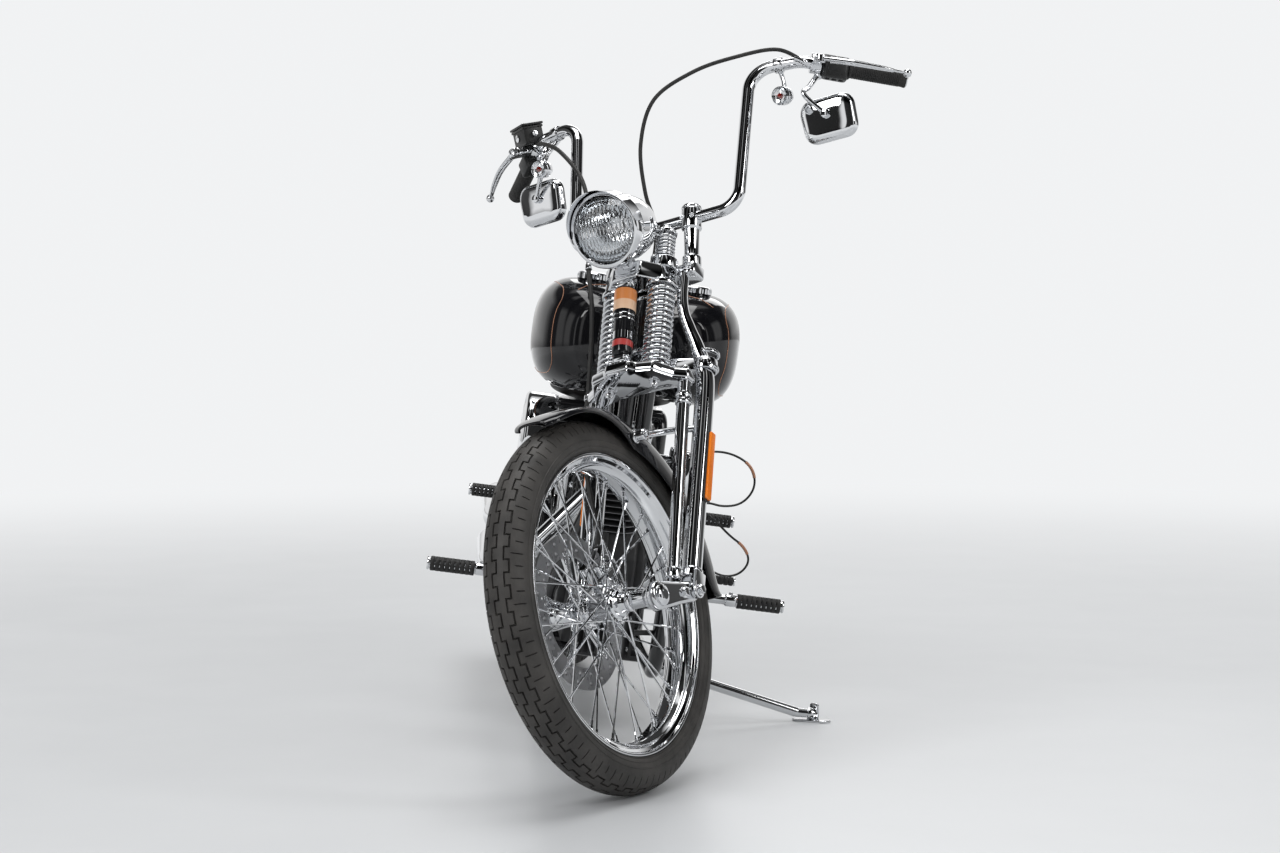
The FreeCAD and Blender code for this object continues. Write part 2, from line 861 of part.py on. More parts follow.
# Rigid leg: thick and tapered below, slim where it bends round the steering head
def rigid_leg():
    bend_shares = (0.0, 0.1, 0.35, 0.68, 0.9, 1.0, 1.0)
    height_shares = (0.0, 0.22, 0.38, 0.54, 0.66, 0.8, 1.0)
    radius_shares = (0.0, 0.22, 0.5, 0.78, 0.94, 1.0, 1.0)
    span = upper_tree_height - rigid_leg_bend_low
    points = []
    radii = []
    for bend, height, thin in zip(bend_shares, height_shares, radius_shares):
        x = rigid_leg_place + (rigid_leg_top_place - rigid_leg_place) * bend
        v = rigid_leg_set + (rigid_leg_top_set - rigid_leg_set) * bend
        points.append(head(x, rigid_leg_bend_low + span * height, v))
        radii.append(rigid_leg_radius + (rigid_leg_top_radius - rigid_leg_radius) * thin)
    rings = []
    for i in range(len(points)):
        before = points[max(i - 1, 0)]
        after = points[min(i + 1, len(points) - 1)]
        along = steering_axis if i in (0, len(points) - 1) else after - before
        rings.append(Part.Wire(Part.makeCircle(radii[i], points[i], along)))
    bend = Part.makeLoft(rings, True, False)
    foot = head(rigid_leg_place, rigid_leg_foot, rigid_leg_set)
    straight = rod(foot, points[0], rigid_leg_radius)
    neck_share = 1.12
    top = foot + steering_axis * leg_eye_radius
    collar = rod(foot, top, rigid_leg_radius * neck_share)
    pivot = rocker_rear()
    pieces = [bend, straight, collar]
    for x in (eye_inner_x(), rocker_place + rocker_wall / 2 + press_gap):
        pieces.append(leg_eye(x, pivot, foot + steering_axis * (leg_eye_radius / 2),
                              rigid_leg_radius * 0.8))
    return joined(pieces)


def spring_leg_foot():
    return front_axle + (rocker_rear() - front_axle) * rocker_spring_share


# Spring leg from the rocker up to the bridge
def spring_leg():
    pivot = spring_leg_foot()
    low = V(spring_leg_place, pivot.y, pivot.z)
    top = head(spring_leg_place, bridge_low, spring_set / 5)
    run = (top - low).normalize()
    start = low + run * (leg_eye_radius * 2)
    leg = rod(start, top, spring_leg_radius)
    collar_low = top - run * (spring_leg_collar_length * 2)
    collar = rod(collar_low, collar_low + run * spring_leg_collar_length, spring_leg_collar_radius)
    foot = rod(start, start + run * leg_eye_radius, spring_leg_collar_radius)
    eye = leg_eye(eye_inner_x(), pivot, start + run * (leg_eye_radius / 2), spring_leg_radius * 0.8)
    return joined([leg, collar, foot, eye])


# Arched bridge that carries the main springs and their rods
def spring_bridge():
    half = spring_leg_place + spring_leg_collar_radius
    outline_shares = (
        (1.0, -0.14), (1.0, 0.24), (0.72, 0.42), (0.66, 0.74), (0.3, 0.86), (0.24, 1.0),
        (-0.24, 1.0), (-0.3, 0.86), (-0.66, 0.74), (-0.72, 0.42), (-1.0, 0.24), (-1.0, -0.14),
        (-0.5, -0.04), (0.5, -0.04),
    )
    points = []
    for across, ahead in outline_shares:
        points.append(head(half * across, bridge_low, bridge_front * ahead))
    wall = steering_axis * (bridge_high - bridge_low)
    plate = rounded_face(points, spring_leg_radius).extrude(wall)
    pieces = [plate]
    for side in both_sides:
        x = side * main_spring_place
        low = head(x, bridge_low - stud_nut_length, spring_set)
        pieces.append(rod(low, head(x, bridge_low, spring_set), stud_nut_radius))
        top = head(x, spring_cap_low() + spring_cap_height, spring_set)
        pieces.append(rod(head(x, bridge_low, spring_set), top, spring_rod_radius))
        pieces.append(spring_cap(x))
    return joined(pieces)


def coil(low, radius, wire, length, turns):
    rise = (length - 2 * wire) / turns
    helix = Part.makeHelix(rise, rise * turns, radius - wire)
    ring = Part.Wire(Part.makeCircle(wire, V(radius - wire, 0, 0), axis_y))
    solid = Part.Wire(helix).makePipeShell([ring], True, True)
    turn = FreeCAD.Rotation(axis_z, steering_axis)
    solid.Placement = FreeCAD.Placement(low + steering_axis * wire, turn)
    return solid


def main_springs():
    low_s = bridge_high + press_gap
    length = tower_low - press_gap - low_s
    springs = []
    for side in both_sides:
        low = head(side * main_spring_place, low_s, spring_set)
        springs.append(coil(low, main_spring_radius, main_spring_wire, length, main_spring_turns))
    return springs


def rebound_springs():
    low_s = upper_tree_height + press_gap
    springs = []
    for side in both_sides:
        low = head(side * main_spring_place, low_s, spring_set)
        springs.append(coil(low, rebound_spring_radius, rebound_spring_wire,
                            rebound_spring_length, rebound_spring_turns))
    return springs


def spring_cap_low():
    return upper_tree_height + rebound_spring_length + 2 * press_gap


def spring_cap(x):
    low = head(x, spring_cap_low(), spring_set)
    return turned([
        (0, 0), (0, spring_cap_radius), (spring_cap_height / 2, spring_cap_radius),
        (spring_cap_height, spring_rod_radius), (spring_cap_height, 0),
    ], low, steering_axis, axis_x)


# Upper tree: the plate over the legs and the tower that the springs press against
def upper_tree():
    top = upper_tree_height + tree_wall
    clear = rigid_leg_top_set + press_gap
    plate_points = [
        head(riser_place + riser_base_radius, upper_tree_height, clear + stem_radius / 2),
        head(riser_place + riser_base_radius, upper_tree_height, riser_foot_set - riser_base_radius),
        head(stem_radius, upper_tree_height, -2 * stem_radius),
        head(-stem_radius, upper_tree_height, -2 * stem_radius),
        head(-riser_place - riser_base_radius, upper_tree_height, riser_foot_set - riser_base_radius),
        head(-riser_place - riser_base_radius, upper_tree_height, clear + stem_radius / 2),
        head(-tower_half, upper_tree_height, clear),
        head(tower_half, upper_tree_height, clear),
    ]
    plate = rounded_face(plate_points, stem_radius / 2).extrude(steering_axis * (top - upper_tree_height))
    tower_points = [
        head(tower_half, tower_low, tower_front / 2 + stem_radius),
        head(tower_half, tower_low, 0),
        head(-tower_half, tower_low, 0),
        head(-tower_half, tower_low, tower_front / 2 + stem_radius),
        head(-shock_eye_width, tower_low, tower_front),
        head(shock_eye_width, tower_low, tower_front),
    ]
    tower = rounded_face(tower_points, stem_radius).extrude(steering_axis * (upper_tree_height - tower_low))
    body = joined([plate, tower])
    for side in both_sides:
        x = side * main_spring_place
        hole = rod(head(x, tower_low - tree_wall, spring_set), head(x, top, spring_set),
                   spring_rod_radius + press_gap)
        well = rod(head(x, upper_tree_height, spring_set), head(x, top + tree_wall, spring_set),
                   rebound_spring_radius + press_gap)
        body = body.cut([hole, well])
    nut = rod(head(0, top, 0), head(0, top + stem_radius, 0), stem_radius * 1.3)
    return joined([body, nut])


# Lower tree with the steering stem
def lower_tree(legs):
    low = lower_tree_height
    front = spring_set - main_spring_radius - press_gap * 4
    points = [
        head(tree_clamp_place, low, tree_clamp_set + tree_clamp_radius / 2),
        head(tree_clamp_place, low, tree_rear),
        head(-tree_clamp_place, low, tree_rear),
        head(-tree_clamp_place, low, tree_clamp_set + tree_clamp_radius / 2),
        head(-neck_radius, low, front),
        head(neck_radius, low, front),
    ]
    plate = sharp_face(points).extrude(steering_axis * tree_wall)
    clamps = []
    for side in both_sides:
        x = side * tree_clamp_place
        clamps.append(rod(head(x, low, tree_clamp_set), head(x, low + tree_wall, tree_clamp_set),
                          tree_clamp_radius))
    stem = rod(head(0, low, 0), head(0, tower_low, 0), stem_radius)
    return joined([plate, stem] + clamps).cut(legs)


def shock():
    low = head(0, bridge_high + shock_eye_radius, shock_set)
    high = head(0, tower_low - shock_eye_radius, shock_set + shock_rod_radius)
    run = (high - low).normalize()
    length = (high - low).Length
    body_share = 0.56
    inset = shock_eye_radius * 0.7
    body = rod(low + run * inset, low + run * (length * body_share), shock_radius)
    shaft = rod(low, high, shock_rod_radius)
    cover = rod(low + run * (length * body_share), high - run * inset, shock_radius * 1.1)
    eyes = []
    for at in (low, high):
        at = at - V(shock_eye_width / 2, 0, 0)
        eyes.append(Part.makeCylinder(shock_eye_radius, shock_eye_width, at, axis_x))
    return joined([body, shaft, cover] + eyes)


# Brake caliper round the edge of a disc; turn is measured from straight up towards the rear
def caliper(centre, place, turn, depth, length, width):
    out = V(0, math.sin(math.radians(turn)), math.cos(math.radians(turn)))
    middle = centre + V(place, 0, 0) + out * (disc_radius - depth / 2 + 3 * disc_wall)
    body = soft_block(middle, out, V(0, -out.z, out.y), depth, length, width, disc_wall * 2)
    slot = turned([
        (place - disc_wall, disc_boss_radius), (place + disc_wall, disc_boss_radius),
        (place + disc_wall, disc_radius + disc_wall), (place - disc_wall, disc_radius + disc_wall),
    ], centre, axis_x, axis_z)
    return body.cut(slot)


# Front caliper with the arm that clamps it to the right leg
def front_caliper(leg):
    body = caliper(front_axle, -front_disc_place, front_caliper_turn, front_caliper_depth,
                   front_caliper_length, front_caliper_width)
    s = rigid_leg_foot + 2 * front_axle_radius
    start = head(-front_disc_place - front_caliper_width / 3, s, rigid_leg_set)
    arm = rod(start, head(-rigid_leg_place, s, rigid_leg_set), front_axle_radius)
    return joined([body, arm]).cut(leg)


def rear_caliper():
    width = 2 * (arm_place - arm_radius - press_gap - rear_disc_place)
    return caliper(rear_axle, -rear_disc_place, rear_caliper_turn, front_caliper_depth,
                   front_caliper_length, width)


# Fender turned about an axle; angles run from straight ahead, up and over to the rear
def fender(centre, inner_radius, half_width, depth, start, end):
    edge = inner_radius - depth
    shoulder_share = 0.55
    shoulder = half_width * shoulder_share
    drop = half_width - shoulder
    points = [
        (-half_width, edge), (-half_width, inner_radius - drop / 2), (-shoulder, inner_radius),
        (shoulder, inner_radius), (half_width, inner_radius - drop / 2), (half_width, edge),
        (half_width + fender_wall, edge),
        (half_width + fender_wall, inner_radius - drop / 2 + fender_wall / 2),
        (shoulder + fender_wall / 2, inner_radius + fender_wall),
        (-shoulder - fender_wall / 2, inner_radius + fender_wall),
        (-half_width - fender_wall, inner_radius - drop / 2 + fender_wall / 2),
        (-half_width - fender_wall, edge),
    ]
    ahead = V(0, -math.cos(math.radians(start)), math.sin(math.radians(start)))
    return turned(points, centre, V(-1, 0, 0), ahead, end - start)


def front_fender():
    inner = front_tyre_radius + front_fender_gap
    return fender(front_axle, inner, front_fender_half, front_fender_depth,
                  front_fender_start, front_fender_end)


# Stay from the front fender back to the rigid leg on the left
def fender_stay():
    start = V(front_fender_half + fender_wall + press_gap, front_fender_stay_y, front_fender_stay_z)
    boss = start + V(front_fender_stay_radius * 2, 0, 0)
    s = boss.z * cos_rake + (boss.y + trail) * sin_rake
    end = head(rigid_leg_place, s + tree_wall * 3, rigid_leg_set)
    corner = V(boss.x, end.y - tree_wall * 1.4, end.z + front_fender_stay_radius)
    return joined([
        rod(start, boss + V(front_fender_stay_radius * 1.4, 0, 0), front_fender_stay_radius * 1.6),
        bent_bar([boss, corner, end], [tree_wall / 2], front_fender_stay_radius),
    ])


def headlamp_axis():
    return V(0, headlamp_length, headlamp_rise).normalize()


def headlamp_shell(tree):
    front = V(0, headlamp_y, headlamp_z)
    outline_shares = (
        (-0.06, 0.9), (-0.06, 0.97), (0.0, 1.0), (0.1, 1.0), (0.14, 0.94), (0.3, 0.93), (0.5, 0.86),
        (0.7, 0.7), (0.86, 0.46), (0.96, 0.22), (1.0, 0.0), (0.94, 0.0), (0.9, 0.3), (0.68, 0.62),
        (0.48, 0.78), (0.3, 0.86), (0.1, 0.86),
    )
    points = []
    for along, out in outline_shares:
        points.append((headlamp_length * along, headlamp_radius * out))
    shell = turned(points, front, headlamp_axis(), axis_x)
    visor_points = [
        (-headlamp_visor, headlamp_radius + headlamp_wall / 2), (headlamp_visor / 2, headlamp_radius),
        (headlamp_visor / 2, headlamp_radius - headlamp_wall / 2),
        (-headlamp_visor, headlamp_radius),
    ]
    visor = turned(visor_points, front, headlamp_axis(), axis_x, -180)
    foot = front + headlamp_axis() * (headlamp_length * 0.34)
    base = head(0, upper_tree_height, tower_front - headlamp_foot_radius)
    foot.z = foot.z - headlamp_radius * 0.86
    post = rod(base, foot, headlamp_foot_radius)
    return joined([shell, visor, post]).cut(tree)


def headlamp_lens():
    front = V(0, headlamp_y, headlamp_z)
    outline_shares = (
        (-0.11, 0.0), (-0.1, 0.3), (-0.075, 0.62), (-0.04, 0.88), (0.08, 0.85), (0.08, 0.0),
    )
    points = []
    for along, out in outline_shares:
        points.append((headlamp_length * along, headlamp_radius * out))
    return turned(points, front, headlamp_axis(), axis_x)


def bar_points():
    left = [
        V(bar_low_half, bar_middle_y, bar_middle_z), V(bar_top_half, bar_top_y, bar_top_z),
        V(bar_outer_half, bar_outer_y, bar_outer_z), V(bar_end_half, bar_end_y, bar_end_z),
    ]
    right = []
    for point in reversed(left):
        right.append(V(-point.x, point.y, point.z))
    return right + left


def handlebar():
    bends = (bar_top_bend, bar_top_bend, bar_low_bend, bar_low_bend, bar_top_bend, bar_top_bend)
    return bent_bar(bar_points(), bends, bar_radius)


def riser_line(side):
    low = head(side * riser_place, upper_tree_height + tree_wall, riser_foot_set)
    bar = V(side * riser_place, bar_middle_y, bar_middle_z)
    run = (bar - low).normalize()
    return low, bar, run


def risers(bar, tree):
    pieces = []
    for side in both_sides:
        low, middle, run = riser_line(side)
        column = rod(low, middle + run * riser_over, riser_radius)
        base = rod(low, low + run * riser_base_length, riser_base_radius)
        clamp = rod(middle - run * (riser_clamp_length / 2), middle + run * (riser_clamp_length / 2),
                    riser_clamp_radius)
        pieces.append(joined([column, base, clamp]).cut(bar).cut(tree))
    return group(pieces)


def bar_along(distance):
    outer = V(bar_outer_half, bar_outer_y, bar_outer_z)
    end = V(bar_end_half, bar_end_y, bar_end_z)
    run = (end - outer).normalize()
    return end - run * distance, run


def grips():
    start, run = bar_along(grip_length)
    end, run = bar_along(0)
    sleeve = rod(start, end + run * grip_flange_wall, grip_radius)
    flange = rod(start, start + run * grip_flange_wall, grip_flange_radius)
    grip = joined([sleeve, flange]).cut(rod(start - run * grip_length, end, bar_radius))
    return group(pair(grip))


def bar_side(run):
    return run.cross(axis_z).normalize()


# Switch housings and perches, the reservoir on the right
def hand_controls(bar):
    start, run = bar_along(grip_length + control_length + press_gap)
    end = start + run * control_length
    inner = start - run * (perch_length + press_gap * 2)
    housing = rod(start, end, control_radius)
    ahead = bar_side(run)
    if ahead.y > 0:
        ahead = ahead * -1
    mid = (start + end) * 0.5
    down = run.cross(ahead).normalize()
    if down.z > 0:
        down = down * -1
    box = soft_block(mid + (ahead + down) * (control_radius / 2), run, ahead, control_length,
                     control_radius * 1.6, control_radius * 1.4, lever_wall)
    perch = rod(inner, inner + run * perch_length, control_radius * 0.9)
    knuckle_middle = inner + run * (perch_length / 2) + ahead * (lever_reach / 2)
    knuckle = soft_block(knuckle_middle, ahead, run, lever_reach * 0.8, perch_length, lever_width,
                         lever_wall)
    left = joined([housing, box, perch, knuckle])
    right = mirrored(left)
    place = inner + run * (perch_length / 2) + ahead * lever_width + axis_z * (reservoir_height * 0.75)
    place.x = -place.x
    back_run = V(-run.x, run.y, 0).normalize()
    cup = soft_block(place, back_run, axis_z, reservoir_length, reservoir_height, reservoir_width,
                     lever_wall)
    lid = soft_block(place + axis_z * (reservoir_height / 2 + lever_wall / 4), back_run, axis_z,
                     reservoir_length + lever_wall, lever_wall / 2, reservoir_width + lever_wall,
                     lever_wall / 5)
    right = joined([right, cup, lid])
    return group([left.cut(bar), right.cut(bar)])


def levers():
    start, run = bar_along(grip_length + control_length + perch_length / 2 + press_gap * 2)
    ahead = bar_side(run)
    if ahead.y > 0:
        ahead = ahead * -1
    knuckle = start + ahead * (lever_reach * 0.9 + press_gap)
    tip = knuckle + run * lever_length + ahead * (lever_width / 2)
    mid = knuckle + run * (lever_length * 0.4) + ahead * lever_width
    up = run.cross(ahead).normalize()
    outline = [
        knuckle - run * lever_width, knuckle + ahead * lever_width, mid + ahead * (lever_width / 3),
        tip + ahead * (lever_width / 4), tip - ahead * (lever_width / 4), mid - ahead * (lever_width / 3),
        knuckle + run * lever_width,
    ]
    base = []
    for point in outline:
        base.append(point - up * (lever_wall / 2))
    blade = rounded_face(base, lever_wall / 2).extrude(up * lever_wall)
    ball = Part.makeSphere(lever_ball_radius, tip)
    return group(pair(joined([blade, ball])))


def control_foot():
    start, run = bar_along(grip_length + control_length + perch_length + press_gap * 3)
    return start, run


# Mirror head hung under the bar on a curved arm
def mirror():
    foot, run = control_foot()
    centre = V(mirror_x, mirror_y, mirror_z)
    ahead = V(0.14, -1, 0.1).normalize()
    across = V(1, 0.14, 0).normalize()
    across = (across - ahead * across.dot(ahead)).normalize()
    up = across.cross(ahead) * -1
    corner = centre - across * (mirror_width / 2) - up * (mirror_height / 2) - ahead * (mirror_wall / 2)
    face = rounded_face([
        corner,
        corner + across * mirror_width,
        corner + across * mirror_width + up * mirror_height,
        corner + up * mirror_height,
    ], mirror_height * 0.28)
    shell = face.extrude(ahead * mirror_wall)
    joint = centre + ahead * (mirror_wall / 2 + mirror_rod_radius) + up * (mirror_height * 0.1)
    top = foot - axis_z * (control_radius * 0.9 + press_gap) + run * (perch_length * 0.5)
    knee = V(top.x - mirror_rod_radius * 4, joint.y - mirror_rod_radius * 2,
             (top.z * 0.55 + joint.z * 0.45))
    arm = bent_bar([top, knee, joint], [mirror_rod_radius * 5], mirror_rod_radius)
    ball = Part.makeSphere(mirror_rod_radius * 2, joint)
    return joined([shell, arm, ball])


def mirrors(controls):
    sides = []
    for side in pair(mirror()):
        sides.append(side.cut(controls))
    return group(sides)


# Bullet lamp hung from the bar
def bar_lamp(bar):
    centre = V(lamp_x, lamp_y, lamp_z)
    ahead = V(0, -1, 0)
    outline_shares = ((0.0, 0.0), (0.0, 0.98), (0.16, 1.0), (0.5, 0.94), (0.8, 0.66), (1.0, 0.0))
    points = []
    for along, out in outline_shares:
        points.append((lamp_length * along, lamp_radius * out))
    front = centre + ahead * (lamp_length / 2)
    shell = turned(points, front, axis_y, axis_x)
    outer = V(bar_outer_half, bar_outer_y, bar_outer_z)
    clamp = outer + (V(bar_top_half, bar_top_y, bar_top_z) - outer) * 0.42
    down = V(clamp.x, clamp.y, clamp.z - bar_radius - press_gap)
    knee = centre + V(-lamp_stem_radius, lamp_radius, lamp_radius * 1.6)
    stem = bent_bar([centre, knee, down], [lamp_stem_radius * 2], lamp_stem_radius)
    return joined([shell, stem]).cut(bar)


def bar_lamp_lens():
    centre = V(lamp_x, lamp_y, lamp_z)
    front = centre - axis_y * (lamp_length / 2 + press_gap)
    outline_shares = ((0.0, 0.0), (0.0, 0.92), (-0.1, 0.8), (-0.2, 0.45), (-0.22, 0.0))
    points = []
    for along, out in outline_shares:
        points.append((lamp_length * along, lamp_radius * out))
    return turned(points, front, axis_y, axis_x)


def clutch_cable():
    foot, run = control_foot()
    start = foot - run * press_gap - V(0, bar_radius + cable_radius * 2, 0)
    high = bar_top_z + control_radius
    shares = (
        (0.88, 0.9, 1.006), (0.66, 0.62, 1.018), (0.42, 0.36, 0.98), (0.17, 0.16, 0.88),
        (0.05, 0.02, 0.66), (0.03, -0.06, 0.4), (0.05, -0.06, 0.2),
    )
    low = bar_middle_z - headlamp_radius
    points = [start]
    for across, back, up in shares:
        points.append(V(start.x * across, bar_middle_y + (start.y - bar_middle_y) * back - cable_radius * 4,
                        low + (high - low) * up))
    points.append(head(stem_radius, upper_tree_height + tree_wall + cable_radius, stem_radius * 1.6))
    return bent_bar(points, even_bends(points), cable_radius)


# Largest arcs that a route's runs allow
def even_bends(points):
    bends = []
    for i in range(1, len(points) - 1):
        back = points[i - 1] - points[i]
        ahead = points[i + 1] - points[i]
        turn = math.pi - back.getAngle(ahead)
        bends.append(0.45 * min(back.Length, ahead.Length) / math.tan(turn / 2))
    return bends


def brake_hose():
    points = []
    for x, s, v in hose_route:
        points.append(head(x, s, v))
    return bent_bar(points, even_bends(points), hose_radius)


def fork_reflectors():
    strips = []
    for side in both_sides:
        low = head(side * (rigid_leg_place + rigid_leg_radius + press_gap + reflector_wall / 2),
                   lower_tree_height - reflector_length * 1.9, rigid_leg_set)
        middle = low + steering_axis * (reflector_length / 2)
        strips.append(soft_block(middle, steering_axis, V(0, -cos_rake, sin_rake), reflector_length,
                                 reflector_width, reflector_wall, reflector_wall))
    return strips


def spine(radius):
    start = head(0, (neck_low + neck_high) / 2, 0)
    bend = V(0, backbone_bend_y, backbone_bend_z)
    return bent_bar([start, bend, V(0, post_y, post_z)], [tube_bend * 2], radius)


# Frame: neck, backbone and the two side loops
def frame():
    neck = rod(head(0, neck_low, 0), head(0, neck_high, 0), neck_radius)
    backbone = spine(backbone_radius)
    cross = rod(V(-rail_half, post_y, post_z), V(rail_half, post_y, post_z), tube_radius)
    loops = []
    for side in both_sides:
        points = [
            head(side * down_tube_top_half, neck_low + down_tube_top_rise, down_tube_top_set),
            V(side * down_tube_top_half, down_tube_mid_y, down_tube_mid_z),
            V(side * rail_half, down_tube_low_y, down_tube_low_z),
            V(side * rail_half, rail_front_y, rail_z),
            V(side * rail_half, rail_rear_y, rail_z),
            V(side * rail_half, post_y, post_z),
            V(side * rear_rail_half, rear_rail_y, post_z),
        ]
        bends = (tube_bend, tube_bend, tube_bend, tube_bend, tube_bend / 2)
        loops.append(bent_bar(points, bends, tube_radius))
    cross_low = []
    for side in both_sides:
        y = crank_y + side * case_radius * 0.66
        cross_low.append(rod(V(-rail_half, y, rail_z), V(rail_half, y, rail_z), tube_radius * 0.8))
    solid = neck.multiFuse([backbone, cross, stand_bracket()] + loops + cross_low)
    bore = rod(head(0, neck_low - tree_wall, 0), head(0, neck_high + tree_wall, 0),
               stem_radius + stem_gap)
    return solid.cut(bore)


# Bottom end of the engine: one heavy case
def engine_case():
    outline_shares = (
        (-1.0, -0.62), (-0.55, -1.0), (0.9, -1.0), (1.14, -0.7), (1.14, 0.42), (0.84, 0.92),
        (0.3, 1.04), (-0.3, 1.04), (-0.86, 0.74), (-1.05, 0.2),
    )
    outline = []
    for ahead, up in outline_shares:
        outline.append((crank_y + case_radius * ahead, crank_z + case_radius * up))
    body = side_plate(outline, -case_half, case_half, tube_radius)
    low = rail_z + tube_radius * 0.8 + press_gap
    high = crank_z - case_radius * 0.9
    foot = block(V(0, crank_y, (low + high) / 2), axis_y, axis_x, case_radius * 1.6, case_half * 1.5,
                 high - low)
    return joined([body, foot] + gearbox())


def cylinder_frame(side):
    turn = math.radians(cylinder_tilt * side)
    up = V(0, math.sin(turn), math.cos(turn))
    return V(0, crank_y, crank_z), up


# Finned barrel and head
def cylinder(side):
    centre, up = cylinder_frame(side)
    low = centre + up * cylinder_base
    pitch = (cylinder_length + head_length) / (fin_count + 4)
    pieces = [rod(low, low + up * (cylinder_length + head_length), cylinder_radius)]
    across = V(0, up.z, -up.y)
    for i in range(fin_count + 4):
        at = low + up * (pitch * (i + 0.5))
        if i < fin_count:
            width = fin_radius * 2
            fin = soft_block(at, axis_x, across, width, width, fin_wall, fin_radius * 0.62)
        else:
            width = fin_radius * 1.95
            fin = soft_block(at, axis_x, across, width * 1.05, width, fin_wall, fin_radius * 0.3)
        pieces.append(fin)
    return joined(pieces)


def cylinders(case):
    front = cylinder(-1)
    rear = cylinder(1)
    half = Part.makeBox(fin_radius * 3, wheelbase, wheelbase)
    half.translate(V(-fin_radius * 1.5, crank_y + press_gap * 2, crank_z))
    other = Part.makeBox(fin_radius * 3, wheelbase, wheelbase)
    other.translate(V(-fin_radius * 1.5, crank_y - press_gap * 2 - wheelbase, crank_z))
    return group([front.cut(half).cut(case), rear.cut(other).cut(case)])


def rocker_boxes():
    boxes = []
    for side in both_sides:
        centre, up = cylinder_frame(side)
        across = V(0, up.z, -up.y)
        start = cylinder_base + cylinder_length + head_length + press_gap
        middle = centre + up * (start + rocker_box_length * 0.3)
        low = soft_block(middle, axis_x, across, rocker_box_width, rocker_box_depth,
                         rocker_box_length * 0.6, rocker_box_round)
        top_middle = centre + up * (start + rocker_box_length * 0.8)
        top = soft_block(top_middle, axis_x, across, rocker_box_width * 0.86, rocker_box_depth * 0.84,
                         rocker_box_length * 0.4, rocker_box_round)
        boxes.append(joined([low, top]))
    return group(boxes)


def pushrod_tubes():
    tubes = []
    spread_share = 0.28
    for side in both_sides:
        centre, up = cylinder_frame(side)
        across = V(0, up.z, -up.y)
        high = cylinder_base + cylinder_length + head_length
        for row in both_sides:
            low = V(-pushrod_x, crank_y + side * case_radius * 0.3 + row * pushrod_radius * 1.3,
                    crank_z + case_radius * 0.72)
            top = centre + up * high + across * (row * fin_radius * spread_share)
            top.x = -pushrod_x
            tubes.append(rod(low, top, pushrod_radius * 0.75))
    return tubes


def cam_cover():
    low_x = -case_half - press_gap
    outline_shares = ((-1.0, 0.1), (-0.5, 0.72), (0.5, 0.72), (1.0, 0.1), (0.6, -0.66), (-0.6, -0.66))
    outline = []
    for ahead, up in outline_shares:
        outline.append((crank_y + cam_cover_radius * ahead, crank_z + cam_cover_radius * up))
    plate = side_plate(outline, low_x, low_x - cam_cover_wall * 0.6, cam_cover_radius * 0.3)
    boss_foot = V(low_x - cam_cover_wall * 0.6, crank_y, crank_z)
    boss_end = V(low_x - cam_cover_wall, crank_y, crank_z)
    boss = taper(boss_foot, boss_end, cam_cover_radius * 0.5, cam_cover_radius * 0.42)
    return joined([plate, boss])


def primary_cover():
    front = V(0, crank_y, crank_z)
    rear = V(0, front_pulley_y, front_pulley_z)
    pieces = [
        rod(V(case_half + press_gap, crank_y, crank_z), V(primary_x, crank_y, crank_z), case_half),
        rod(V(pulley_place + pulley_width / 2 + press_gap, rear.y, rear.z), V(primary_x, rear.y, rear.z),
            front_pulley_radius / 3),
    ]
    for inset_share, wall_share in ((0.0, 0.72), (0.14, 1.0)):
        keep = 1 - inset_share
        pieces.append(stadium(primary_x, rear, primary_rear_radius * keep, front,
                              primary_front_radius * keep, primary_wall * wall_share))
    return joined(pieces)


def gearbox():
    body = soft_block(V(0, gearbox_y, crank_z), axis_y, axis_z, gearbox_length, gearbox_height,
                      gearbox_half * 2, tube_radius)
    shaft = rod(V(gearbox_half - tube_radius, front_pulley_y, front_pulley_z),
                V(pulley_place, front_pulley_y, front_pulley_z), front_pulley_radius / 3)
    pulley = rod(V(pulley_place - pulley_width / 2, front_pulley_y, front_pulley_z),
                 V(pulley_place + pulley_width / 2, front_pulley_y, front_pulley_z), front_pulley_radius)
    return [body, shaft, pulley]


def carburettor():
    x = -cylinder_radius - carb_radius * 1.6
    throat = rod(V(-pipe_radius, carb_y, carb_z), V(-cleaner_inner_x - press_gap, carb_y, carb_z),
                 carb_radius * 0.7)
    bowl = rod(V(x, carb_y, carb_z - carb_radius * 1.7), V(x, carb_y, carb_z), carb_radius * 0.9)
    reach = V(0, fin_radius / 2, 0)
    port = V(-pipe_radius * 1.4, carb_y, carb_z)
    manifold = rod(port - reach, port + reach, carb_radius * 0.6)
    return [throat, bowl, manifold]


# Round air cleaner with a domed cover
def air_cleaner(others):
    centre = V(0, cleaner_y, cleaner_z)
    outline_shares = (
        (0.0, 0.0), (0.0, 0.9), (0.12, 0.98), (0.3, 1.0), (0.82, 1.0), (0.94, 0.94), (1.0, 0.6), (1.0, 0.0),
    )
    points = []
    for along, out in outline_shares:
        points.append((cleaner_inner_x + (cleaner_outer_x - cleaner_inner_x) * along, cleaner_radius * out))
    cover = turned(points, centre, V(-1, 0, 0), axis_z)
    return joined([cover] + carburettor()).cut(others)


def horn_cover(barrels):
    middle = V(horn_x, horn_y, horn_z)
    body = soft_block(middle, axis_y, axis_z, horn_width, horn_height, horn_depth, horn_width * 0.3)
    foot = V(fin_radius * 0.75, horn_y + horn_width / 4, horn_z + horn_height * 0.3)
    stem = rod(foot, V(horn_x, foot.y, foot.z), pushrod_radius)
    return joined([body, stem]).cut(barrels)


